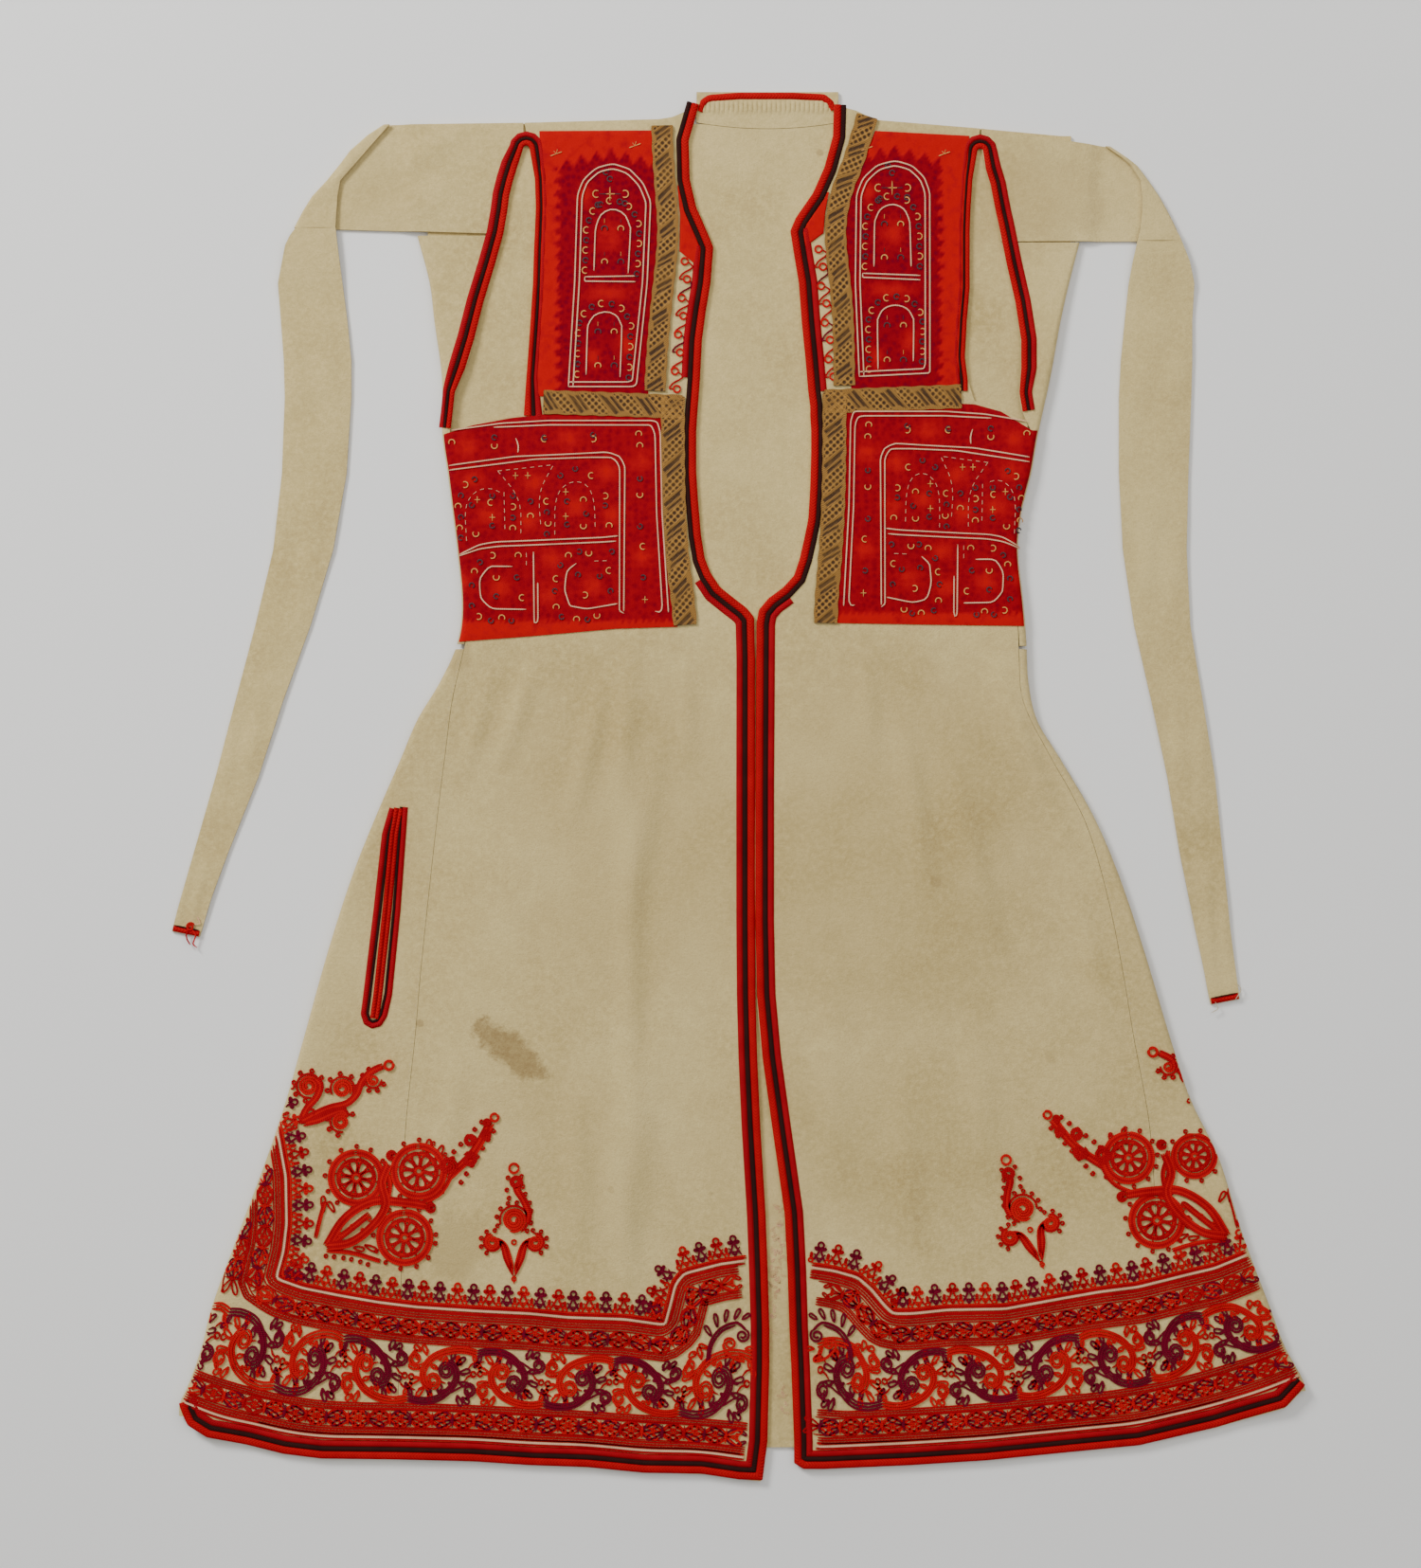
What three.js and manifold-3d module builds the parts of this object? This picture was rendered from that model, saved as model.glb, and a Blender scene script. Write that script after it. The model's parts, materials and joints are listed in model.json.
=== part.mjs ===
// Embroidered coat of thick fulled wool with false hanging sleeves, lying flat and face up.
// Millimetres: X runs across the coat, Y towards the collar, Z up from the surface it lies on.
// The back lies on the surface, the side folds turn up round it, and the two fronts lie on top.

import * as THREE from 'three';
import { mergeVertices } from 'three/addons/utils/BufferGeometryUtils.js';
import Module from 'manifold-3d';

const wasm = await Module();
wasm.setup();

// ---- Driving dimensions ----

const CLOTH = 2.2;              // thickness of the wool
const SEAM = 0.3;               // gap between pieces that are sewn together
const FRONT_LEVEL = CLOTH + SEAM; // underside of a front where it lies on the back
const FLAT_FOLD = (CLOTH + SEAM) / 2; // middle radius of a fold that is pressed flat
const SIDE_SEAM = 6;            // side seam and start of the gore, in from the side fold
const WRAP_EDGE = 5.6;          // edge of the back's wrap below the armhole, in from the fold
const FOLD_EASE = 55;           // the front settles onto the back over this width
const WAIST = 101;              // height of the waist seam, where the gores start
const SHOULDER = 406;           // height of the seam below the shoulder piece
const NECK_SEAM = 489;          // top edge of the back
const HALF_LENGTH = 512.4;      // from the middle of the coat to the collar or the hem
const ARMHOLE_FOOT = 262;       // height of the lower end of the armholes
const BACK_TOP = 398;           // highest row of the back's edge under the wrap
const OPENING_WAIST = 103;      // height of the waist on the front edges
const HEM_CORNER = { left: 16.8, right: 41.3 }; // front lower corner of each skirt
const HEM_SPAN = { left: [-412, 5], right: [45, 412] }; // part of the hem between its corners
const HEM_CURVE = 8;            // power by which rows of the skirt take the hem's curve
const BINDING = { low: 0.6, high: 4.4, drop: 4 }; // red binding across a sleeve end

const BRAID = { thick: 1.2, crown: 0.3, inset: 0.4 };
const BRIGHT_BRAID = [0.2, 5.4]; // first and last offset from the edge it binds
const BLACK_BRAID = [5.7, 9.0];
const DARK_BRAID = [9.3, 13.6];
const BORDER_OFFSET = 15;       // the embroidered border starts here
const GALLOON = 0.8;            // thickness of the metal lace
const PANEL = 1.0;              // thickness of the embroidered red panels
const PANEL_SIDE = { top: 258, bottom: 110 }; // outer edge of a waist panel
const EMBROIDERY = 0.7;         // height of the dense stitching on the hem
const STITCH_GAP = 0.5;         // clearance under it

// ---- Tables of the garment's outline, one row for each height ----

// Side folds.
const SIDES = [
  { y: 406, left: -236.6, right: 253.4 },
  { y: 371, left: -227.5, right: 244.3 },
  { y: 343, left: -224, right: 238 },
  { y: 301, left: -218.4, right: 230.3 },
  { y: 259, left: -218, right: 221.2 },
  { y: 231, left: -214.2, right: 216.3 },
  { y: 203, left: -210.7, right: 209.3 },
  { y: 175, left: -207.2, right: 206.5 },
  { y: 133, left: -203.7, right: 210.7 },
  { y: 105, left: -207.2, right: 212.8 },
  { y: 77, left: -219.8, right: 214.2 },
  { y: 49, left: -236.6, right: 220.5 },
  { y: 21, left: -248.5, right: 237.3 },
  { y: -21, left: -266.7, right: 261.8 },
  { y: -63, left: -283.5, right: 280 },
  { y: -119, left: -301.7, right: 298.9 },
  { y: -189, left: -321.3, right: 319.9 },
  { y: -231, left: -333.2, right: 333.9 },
  { y: -273, left: -347.2, right: 354.2 },
  { y: -329, left: -368.2, right: 371.7 },
  { y: -385, left: -388.5, right: 392.7 },
  { y: -413, left: -395.5, right: 403.2 },
  { y: -441, left: -405.3, right: 417.9 },
  { y: -455, left: -412.3, right: 417.9 },
];

// Middle radius of the side folds: pressed flat at the shoulder, soft below.
const FOLDS = [
  { y: 406, radius: 1.3 },
  { y: 371, radius: 2.1 },
  { y: 329, radius: 2.9 },
  { y: -512, radius: 2.9 },
];

// Front edges from the bottom of the neck opening to the hem.
const FRONT_EDGES = [
  { y: 103, left: 12.6, right: 13.4 },
  { y: -154, left: 12.9, right: 13.9 },
  { y: -250, left: 16.4, right: 25 },
  { y: -315, left: 20.3, right: 34.3 },
  { y: -399, left: 23.1, right: 37.8 },
  { y: -427, left: 23.1, right: 39.2 },
  { y: -483, left: 21.7, right: 41.3 },
  { y: -512, left: 17, right: 41.3 },
];

// Seams of the gores on the front and on the underside.
const GORE_SEAMS = [
  { y: 101, left: -202, right: 206.8, underLeft: -202, underRight: 206.8 },
  { y: 63, left: -210.7, right: 210, underLeft: -206, underRight: 203 },
  { y: 21, left: -216.3, right: 230.6, underLeft: -211, underRight: 203 },
  { y: -7, left: -220, right: 246.6, underLeft: -214, underRight: 205 },
  { y: -35, left: -223.3, right: 259.3, underLeft: -217, underRight: 208 },
  { y: -87, left: -229, right: 273.7, underLeft: -222, underRight: 214 },
  { y: -140, left: -234.5, right: 284.2, underLeft: -227, underRight: 220 },
  { y: -182, left: -238, right: 291.2, underLeft: -231, underRight: 226 },
  { y: -259, left: -245.7, right: 304.5, underLeft: -238, underRight: 236 },
  { y: -380, left: -249, right: 310, underLeft: -246, underRight: 250 },
  { y: -500, left: -252, right: 314, underLeft: -250, underRight: 262 },
];

// Edge of the back where it wraps over the front outside each armhole.
const WRAP_EDGES = [
  { y: 406, left: -173.6, right: 193.9 },
  { y: 385, left: -179.2, right: 198.1 },
  { y: 357, left: -187.6, right: 204.4 },
  { y: 329, left: -194.6, right: 208.6 },
  { y: 308, left: -200.9, right: 208.6 },
  { y: 290, left: -208.6, right: 207.2 },
  { y: 276, left: -210, right: 209.5 },
  { y: 262, left: -212.3, right: 215.8 },
];

// Lower edge of the coat.
const HEM = [
  { x: -412.3, y: -455 },
  { x: -405.3, y: -470.4 },
  { x: -391.3, y: -479.5 },
  { x: -363.3, y: -485.1 },
  { x: -335.3, y: -492.1 },
  { x: -307.3, y: -495.6 },
  { x: -251.3, y: -496.3 },
  { x: -195.3, y: -497.7 },
  { x: -153.3, y: -500.5 },
  { x: -111.3, y: -501.9 },
  { x: -69.3, y: -506.1 },
  { x: -27.3, y: -506.8 },
  { x: 0.7, y: -511 },
  { x: 16.8, y: -HALF_LENGTH },
  { x: 41.3, y: -499 },
  { x: 48.3, y: -503.3 },
  { x: 63.7, y: -503.3 },
  { x: 126.7, y: -500.5 },
  { x: 182.7, y: -497 },
  { x: 238.7, y: -491.4 },
  { x: 296.1, y: -485.8 },
  { x: 352.8, y: -472.5 },
  { x: 403.2, y: -457.1 },
  { x: 417.9, y: -441 },
];

// Lower edge of the back between the gores, a little shorter than the fronts.
const BACK_HEM = [
  { x: -150, y: -490 },
  { x: 0, y: -488 },
  { x: 150, y: -487 },
];

// Rows of each front above the waist: x and y on the opening, then on the armhole. A row with no
// farX ends on the side seam.
const BODICE = {
  left: [
    { x: -28.7, y: 502.6, farX: -157.5, farY: 489.3 },
    { x: -36.4, y: 476, farX: -154, farY: 472.5 },
    { x: -35.7, y: 448, farX: -149.8, farY: 448 },
    { x: -30.8, y: 427, farX: -149.1, farY: 427 },
    { x: -23.1, y: 409.5, farX: -149.8, farY: 409.5 },
    { x: -18.2, y: 397.6, farX: -150.5, farY: 395.5 },
    { x: -20.3, y: 371, farX: -151.2, farY: 371 },
    { x: -23.8, y: 350, farX: -152.6, farY: 350 },
    { x: -26.6, y: 329, farX: -154, farY: 329 },
    { x: -28, y: 301, farX: -156.1, farY: 301 },
    { x: -30.1, y: 273, farX: -158.2, farY: 275.1 },
    { x: -30.8, y: 262.5, farX: -181.3, farY: 268.8 },
    { x: -30.8, y: 252, farX: -206, farY: 262 },
    { x: -30.8, y: 231, farY: 238 },
    { x: -29.4, y: 210, farY: 210 },
    { x: -27.3, y: 185.5, farY: 184 },
    { x: -24.5, y: 168, farY: 162 },
    { x: -20.3, y: 157.5, farY: 147 },
    { x: -13.3, y: 147, farY: 136 },
    { x: -2.8, y: 138.6, farY: 127 },
    { x: 6.3, y: 131.6, farY: 118 },
    { x: 11.9, y: 124.6, farY: 111 },
  ],
  right: [
    { x: 70.7, y: 502.6, farX: 178.5, farY: 485.1 },
    { x: 70, y: 479.5, farX: 176.4, farY: 469 },
    { x: 63.7, y: 456.4, farX: 172.9, farY: 448 },
    { x: 55.3, y: 437.5, farX: 171.5, farY: 427 },
    { x: 42.7, y: 419.3, farX: 170.8, farY: 409.5 },
    { x: 38.5, y: 409.5, farX: 170.8, farY: 397.6 },
    { x: 41.3, y: 392, farX: 170.8, farY: 385 },
    { x: 44.8, y: 371, farX: 170.8, farY: 367.5 },
    { x: 46.9, y: 343, farX: 168.7, farY: 343 },
    { x: 49.7, y: 315, farX: 167.3, farY: 316.4 },
    { x: 51.8, y: 290.5, farX: 169.4, farY: 299.6 },
    { x: 53.2, y: 280, farX: 174.3, farY: 284.2 },
    { x: 53.2, y: 273, farX: 193.9, farY: 277.5 },
    { x: 53.9, y: 262.5, farX: 213, farY: 267 },
    { x: 53.9, y: 245, farY: 245 },
    { x: 53.2, y: 220.5, farY: 220 },
    { x: 51.8, y: 197.4, farY: 196 },
    { x: 49, y: 183.4, farY: 181 },
    { x: 45.5, y: 168, farY: 166 },
    { x: 41.3, y: 155.4, farY: 153 },
    { x: 32.9, y: 146.3, farY: 142 },
    { x: 22.4, y: 138.6, farY: 132 },
    { x: 15.4, y: 130.2, farY: 121 },
    { x: 13.6, y: 120.4, farY: 112 },
  ],
};

// Top edge of each front, from the shoulder to the neck.
const SHOULDER_EDGES = {
  left: [
    { x: -157.5, y: 489.3 },
    { x: -52, y: 492.1 },
    { x: -40, y: 497 },
    { x: -28.7, y: 502.6 },
  ],
  right: [
    { x: 70.7, y: 502.6 },
    { x: 88, y: 498 },
    { x: 101.5, y: 491.4 },
    { x: 178.5, y: 485.1 },
  ],
};

// Where the sleeves fold over: the fold, the lip of the hanging part and the armhole edge.
const SLEEVE_FOLDS = {
  left: [
    { y: 488, fold: -261.8, lip: -256.9, armX: -158.3, armY: 489.3 },
    { y: 480.2, fold: -273.7, lip: -263.9, armX: -158.3, armY: 480.2 },
    { y: 469, fold: -286.3, lip: -273.7, armX: -159.6, armY: 469 },
    { y: 457.8, fold: -294.7, lip: -283.5, armX: -162.4, armY: 457.8 },
    { y: 446.6, fold: -303.8, lip: -293.3, armX: -165.9, armY: 446.6 },
    { y: 435.4, fold: -314.3, lip: -295.4, armX: -168.7, armY: 435.4 },
    { y: 424.2, fold: -321.3, lip: -296.1, armX: -170.1, armY: 424.2 },
    { y: 412, fold: -327.6, lip: -296.8, armX: -173, armY: 407.4 },
  ],
  right: [
    { y: 471.8, fold: 275.1, lip: 270.9, armX: 179.3, armY: 485.1 },
    { y: 463.4, fold: 287.7, lip: 283, armX: 180, armY: 468 },
    { y: 457.8, fold: 294.7, lip: 289.5, armX: 182.7, armY: 455 },
    { y: 446.6, fold: 303.1, lip: 296.8, armX: 186.2, armY: 443.8 },
    { y: 435.4, fold: 310.8, lip: 298.2, armX: 188.3, armY: 432.6 },
    { y: 424.2, fold: 317.1, lip: 298.2, armX: 190.4, armY: 422.1 },
    { y: 413, fold: 322.7, lip: 296.8, armX: 192.5, armY: 413 },
    { y: 402.5, fold: 326.9, lip: 294.7, armX: 194.2, armY: 401.8 },
  ],
};

// Hanging part of each sleeve: its outer edge and its inner edge at each height.
const SLEEVE_STRIPS = {
  left: [
    { y: 424.2, outer: -321.3, inner: -296.1 },
    { y: 412, outer: -327.6, inner: -296.8 },
    { y: 399, outer: -333.9, inner: -295.4 },
    { y: 371, outer: -339.5, inner: -291.9 },
    { y: 343, outer: -337.4, inner: -288.4 },
    { y: 315, outer: -335.3, inner: -285.6 },
    { y: 287, outer: -334.6, inner: -285.6 },
    { y: 231, outer: -336.7, inner: -289.1 },
    { y: 175, outer: -343, inner: -298.9 },
    { y: 119, outer: -356.3, inner: -315.7 },
    { y: 63, outer: -371, inner: -336 },
    { y: 7, outer: -385.7, inner: -354.2 },
    { y: -49, outer: -401.8, inner: -376.6 },
    { y: -91, outer: -413.7, inner: -392 },
    { y: -107, outer: -417.9, inner: -397.5 },
  ],
  right: [
    { y: 413, outer: 322.7, inner: 296.8 },
    { y: 402.5, outer: 326.9, inner: 294.7 },
    { y: 387, outer: 333.2, inner: 291.2 },
    { y: 371, outer: 336.7, inner: 288.4 },
    { y: 343, outer: 335.3, inner: 285.6 },
    { y: 315, outer: 335.3, inner: 282.8 },
    { y: 287, outer: 334.6, inner: 281.4 },
    { y: 231, outer: 332.5, inner: 281.4 },
    { y: 175, outer: 331.1, inner: 284.2 },
    { y: 119, outer: 333.9, inner: 292.6 },
    { y: 63, outer: 343, inner: 305.2 },
    { y: 7, outer: 352.1, inner: 317.1 },
    { y: -49, outer: 357.7, inner: 326.2 },
    { y: -105, outer: 363.3, inner: 337.4 },
    { y: -157, outer: 370.3, inner: 349 },
  ],
};

// Soft ridges that the weight of the cloth leaves in the skirt.
const CREASES = [
  { x: -100, lean: 0.08, top: -200, bottom: -352, half: 44, height: 1.3 },
  { x: -80, lean: -0.1, top: 90, bottom: -150, half: 48, height: 1.5 },
  { x: 150, lean: 0.12, top: 60, bottom: -210, half: 50, height: 1.6 },
  { x: 215, lean: 0.25, top: -90, bottom: -320, half: 44, height: 1.2 },
  { x: -170, lean: -0.2, top: -20, bottom: -300, half: 46, height: 1.2 },
];

// Top and bottom edges of the embroidered panels below the armholes.
const WAIST_PANELS = {
  left: {
    top: [
      { x: -213, y: 255.5 },
      { x: -195, y: 263 },
      { x: -167, y: 268.5 },
      { x: -141, y: 270.6 },
      { x: -55, y: 270.6 },
    ],
    bottom: [
      { x: -206, y: 106.4 },
      { x: -153, y: 110.6 },
      { x: -90, y: 116.2 },
      { x: -48, y: 117.6 },
    ],
    inner: [
      { y: 270.6, x: -56 },
      { y: 189, x: -54.2 },
      { y: 161, x: -51.4 },
      { y: 117.6, x: -47.7 },
    ],
  },
  right: {
    top: [
      { x: 79, y: 275.8 },
      { x: 164.5, y: 280.4 },
      { x: 174.3, y: 280.6 },
      { x: 193.9, y: 276 },
      { x: 216.3, y: 262 },
    ],
    bottom: [
      { x: 73.5, y: 120.4 },
      { x: 212, y: 118 },
    ],
    inner: [
      { y: 275.8, x: 79.6 },
      { y: 245, x: 78.9 },
      { y: 203, x: 78.2 },
      { y: 161, x: 75.4 },
      { y: 120.4, x: 73.2 },
    ],
  },
};

// Red wedge between the lace and the edge braids: its foot, and its edge along the lace.
const NECK_WEDGES = {
  left: {
    top: 442,
    foot: [-30.5, 384.5],
    lace: [[-43.3, 384.5], [-42.8, 399], [-42.3, 420], [-44.6, 440]],
  },
  right: { top: 438, foot: [52.5, 406], lace: [[62.5, 406], [64.1, 423.5], [66.6, 435]] },
};

// Upper edge of the embroidered hem border, from the side fold to the front edge.
const BORDER_TOPS = {
  left: [
    { x: -399, y: -441 },
    { x: -384.5, y: -395 },
    { x: -365.5, y: -340 },
    { x: -352, y: -300 },
    { x: -339, y: -266 },
    { x: -334, y: -256 },
    { x: -331.5, y: -362 },
    { x: -321.3, y: -369.6 },
    { x: -293.3, y: -375.2 },
    { x: -265.3, y: -380.1 },
    { x: -237.3, y: -383.6 },
    { x: -195.3, y: -386.4 },
    { x: -153.3, y: -388.5 },
    { x: -125.3, y: -391.3 },
    { x: -83.3, y: -392.7 },
    { x: -53.9, y: -396.9 },
    { x: -49.7, y: -381.5 },
    { x: -46.2, y: -365.4 },
    { x: -39.9, y: -359.1 },
    { x: -13.3, y: -352.1 },
    { x: 5.5, y: -349.3 },
  ],
  right: [
    { x: 56.4, y: -354.9 },
    { x: 70.7, y: -357 },
    { x: 88.2, y: -361.9 },
    { x: 98.7, y: -371 },
    { x: 107.1, y: -381.5 },
    { x: 114.1, y: -388.5 },
    { x: 154.7, y: -385.7 },
    { x: 196.7, y: -385 },
    { x: 238.7, y: -377.3 },
    { x: 266.7, y: -372.4 },
    { x: 294.7, y: -368.9 },
    { x: 322.7, y: -361.9 },
    { x: 350.7, y: -354.9 },
    { x: 367, y: -344 },
    { x: 386.5, y: -389 },
    { x: 401, y: -428 },
  ],
};

// Embroidered rosettes near the lower corners of the skirt.
const ROSETTES = {
  left: [
    { x: -281.4, y: -288.4, radius: 21 },
    { x: -235.2, y: -283.5, radius: 21 },
    { x: -245.7, y: -332.5, radius: 21 },
  ],
  right: [
    { x: 287.7, y: -273.7, radius: 19.5 },
    { x: 308.7, y: -319.9, radius: 21 },
  ],
};

// Bound pocket slit on the left gore, from its top to its rounded foot.
const POCKET = [
  { y: -15.4, left: -256.9, right: -242.9 },
  { y: -35, left: -262.5, right: -244.3 },
  { y: -91, left: -268.8, right: -248.5 },
  { y: -154, left: -276.5, right: -254.8 },
  { y: -172, left: -279, right: -258.5 },
  { y: -177, left: -276.5, right: -261.5 },
];
const POCKET_BINDING = 6.3;

const COLLAR = { left: -25.9, right: 69.3, top: HALF_LENGTH, seam: 490, sag: 4.5, thick: 2.6 };
const COLLAR_BRAID = { low: 506.6, high: 511.6 };
const COLLAR_RIBS = { count: 30, low: 497, high: 506, height: 0.8 };

// ---- Materials ----

const finish = (color, roughness, metalness = 0) =>
  new THREE.MeshStandardMaterial({ color, roughness, metalness });
const WOOL = finish(0xc9bd9c, 0.95);
const BRIGHT = finish(0xc80f14, 0.85);
const BLACK = finish(0x2d100c, 0.9);
const DARK = finish(0x960f1e, 0.88);
const LACE = finish(0x8f6b32, 0.55, 0.35);
const RED_CLOTH = finish(0xb40a18, 0.8);
const STITCHES = finish(0xb52430, 0.8);

// ---- Working out the shape ----

// Smooth value of a column of a table at a height or place along its key.
function lookup(table, key, column, at) {
  const up = table[table.length - 1][key] > table[0][key];
  const rows = up ? table : [...table].reverse();
  const last = rows.length - 1;
  if (at <= rows[0][key]) return rows[0][column];
  if (at >= rows[last][key]) return rows[last][column];
  let i = 0;
  while (rows[i + 1][key] < at) i += 1;
  const slope = (j) => {
    const a = rows[Math.max(j - 1, 0)];
    const b = rows[Math.min(j + 1, last)];
    return (b[column] - a[column]) / (b[key] - a[key]);
  };
  const step = rows[i + 1][key] - rows[i][key];
  const t = (at - rows[i][key]) / step;
  const a = rows[i][column];
  const b = rows[i + 1][column];
  const near = slope(i) * step;
  const far = slope(i + 1) * step;
  return a + near * t + (3 * (b - a) - 2 * near - far) * t * t + (2 * (a - b) + near + far) * t ** 3;
}

// Straight-line value of a column of a table.
function straight(table, key, column, at) {
  const up = table[table.length - 1][key] > table[0][key];
  const rows = up ? table : [...table].reverse();
  const last = rows.length - 1;
  if (at <= rows[0][key]) return rows[0][column];
  if (at >= rows[last][key]) return rows[last][column];
  let i = 0;
  while (rows[i + 1][key] < at) i += 1;
  const t = (at - rows[i][key]) / (rows[i + 1][key] - rows[i][key]);
  return rows[i][column] + (rows[i + 1][column] - rows[i][column]) * t;
}

const mix = (a, b, t) => a + (b - a) * t;
const inward = (side) => (side === 'left' ? 1 : -1);
const sideFold = (side, y) => lookup(SIDES, 'y', side, y);
const foldRadius = (y) => straight(FOLDS, 'y', 'radius', y);
const frontEdge = (side, y) => lookup(FRONT_EDGES, 'y', side, y);
const farX = (side, row) => row.farX ?? sideFold(side, row.farY) + inward(side) * SIDE_SEAM;
const hemAt = (x) => straight(HEM, 'x', 'y', x);

// Height that the soft ridges add at a point.
function creaseAt(x, y) {
  let height = 0;
  for (const crease of CREASES) {
    if (y >= crease.top || y <= crease.bottom) continue;
    const along = (crease.top - y) / (crease.top - crease.bottom);
    const across = (x - crease.x - crease.lean * (crease.top - y)) / crease.half;
    if (Math.abs(across) >= 1) continue;
    height += crease.height * Math.sin(Math.PI * along) * Math.cos(Math.PI * across / 2) ** 2;
  }
  return height;
}

// Middle of the upper layer of cloth: highest by the side folds, settling onto the back.
function layerMiddle(x, y) {
  const inset = Math.min(x - sideFold('left', y), sideFold('right', y) - x);
  const radius = foldRadius(y);
  const settled = Math.min(Math.max((inset - radius) / FOLD_EASE, 0), 1);
  const rise = (radius - FLAT_FOLD) * (1 + Math.cos(Math.PI * settled));
  return CLOTH / 2 + 2 * FLAT_FOLD + rise + creaseAt(x, y);
}

const layerTop = (x, y) => layerMiddle(x, y) + CLOTH / 2;
const ON_FLAT = FRONT_LEVEL + CLOTH + SEAM; // underside of what lies on a flat front

// ---- Building closed meshes ----

// Geometry from points and triangles, with its faces turned to point out.
function closedGeometry(points, triangles) {
  let volume = 0;
  for (const [a, b, c] of triangles) {
    const [p, q, r] = [points[a], points[b], points[c]];
    volume += p[0] * (q[1] * r[2] - q[2] * r[1]) + p[1] * (q[2] * r[0] - q[0] * r[2])
      + p[2] * (q[0] * r[1] - q[1] * r[0]);
  }
  const faces = volume > 0 ? triangles : triangles.map(([a, b, c]) => [a, c, b]);
  const geometry = new THREE.BufferGeometry();
  geometry.setAttribute('position', new THREE.Float32BufferAttribute(points.flat(), 3));
  geometry.setIndex(faces.flat());
  return geometry;
}

// Wall between two grids of points with the same rows and columns.
function wall(outer, inner) {
  const rows = outer.length;
  const columns = outer[0].length;
  const points = [...outer.flat(), ...inner.flat()];
  const triangles = [];
  const quad = (a, b, c, d) => triangles.push([a, b, c], [a, c, d]);
  const out = (i, j) => i * columns + j;
  const into = (i, j) => rows * columns + i * columns + j;
  for (let i = 0; i < rows - 1; i += 1) {
    for (let j = 0; j < columns - 1; j += 1) {
      quad(out(i, j), out(i, j + 1), out(i + 1, j + 1), out(i + 1, j));
      quad(into(i + 1, j), into(i + 1, j + 1), into(i, j + 1), into(i, j));
    }
    quad(out(i, 0), out(i + 1, 0), into(i + 1, 0), into(i, 0));
    quad(out(i + 1, columns - 1), out(i, columns - 1), into(i, columns - 1), into(i + 1, columns - 1));
  }
  for (let j = 0; j < columns - 1; j += 1) {
    quad(out(0, j + 1), out(0, j), into(0, j), into(0, j + 1));
    quad(out(rows - 1, j), out(rows - 1, j + 1), into(rows - 1, j + 1), into(rows - 1, j));
  }
  return closedGeometry(points, triangles);
}

// Sheet over a grid of plan points, between two heights worked out at each point.
function sheet(grid, under, over) {
  const outer = grid.map((row) => row.map(([x, y]) => [x, y, over(x, y)]));
  const inner = grid.map((row) => row.map(([x, y]) => [x, y, under(x, y)]));
  return wall(outer, inner);
}

// Flat plate with the given outline.
function plate(outline, level, thick) {
  const shape = new THREE.Shape(outline.map(([x, y]) => new THREE.Vector2(x, y)));
  const geometry = new THREE.ExtrudeGeometry(shape, { depth: thick, bevelEnabled: false });
  geometry.translate(0, 0, level);
  geometry.deleteAttribute('normal');
  geometry.deleteAttribute('uv');
  return mergeVertices(geometry, 1e-4);
}

// One solid from two that run into each other.
function join(first, second) {
  const solids = [first, second].map((geometry) => new wasm.Manifold(new wasm.Mesh({
    numProp: 3,
    vertProperties: new Float32Array(geometry.attributes.position.array),
    triVerts: new Uint32Array(geometry.index.array),
  })));
  const mesh = solids[0].add(solids[1]).getMesh();
  const geometry = new THREE.BufferGeometry();
  geometry.setAttribute('position', new THREE.Float32BufferAttribute(mesh.vertProperties, 3));
  geometry.setIndex(new THREE.Uint32BufferAttribute(mesh.triVerts, 1));
  return geometry;
}

// Path moved sideways by a distance for each point, with mitred corners.
function offsetPath(path, distance, turn) {
  const normal = (a, b) => {
    const length = Math.hypot(b[0] - a[0], b[1] - a[1]);
    return [turn * (b[1] - a[1]) / length, -turn * (b[0] - a[0]) / length];
  };
  return path.map((point, i) => {
    const before = normal(path[Math.max(i - 1, 0)], path[Math.max(i, 1)]);
    const after = normal(path[Math.min(i, path.length - 2)], path[Math.min(i + 1, path.length - 1)]);
    const sum = [before[0] + after[0], before[1] + after[1]];
    const square = Math.max((sum[0] ** 2 + sum[1] ** 2) / 2, 0.6);
    const reach = distance * (point[2] ?? 1);
    return [point[0] + sum[0] * reach / square, point[1] + sum[1] * reach / square];
  });
}

// Crowned braid between two offsets from a path, lying on the upper layer.
function braid(path, [near, far], turn) {
  const offsets = [near, near + BRAID.inset, far - BRAID.inset, far];
  const [a, b, c, d] = offsets.map((distance) => offsetPath(path, distance, turn));
  const points = [];
  const triangles = [];
  path.forEach((_, i) => {
    const low = (p) => [p[i][0], p[i][1], layerTop(p[i][0], p[i][1]) + SEAM];
    const raise = (p, height) => {
      const [x, y, z] = low(p);
      return [x, y, z + height];
    };
    points.push(low(a), raise(b, BRAID.thick), raise(c, BRAID.thick + BRAID.crown), low(d));
  });
  for (let i = 0; i < path.length - 1; i += 1) {
    for (let k = 0; k < 4; k += 1) {
      const next = (k + 1) % 4;
      triangles.push([4 * i + k, 4 * i + next, 4 * i + 4 + next]);
      triangles.push([4 * i + k, 4 * i + 4 + next, 4 * i + 4 + k]);
    }
  }
  const last = 4 * (path.length - 1);
  triangles.push([0, 2, 1], [0, 3, 2], [last, last + 1, last + 2], [last, last + 2, last + 3]);
  return closedGeometry(points, triangles);
}

// ---- Cloth pieces ----

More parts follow.
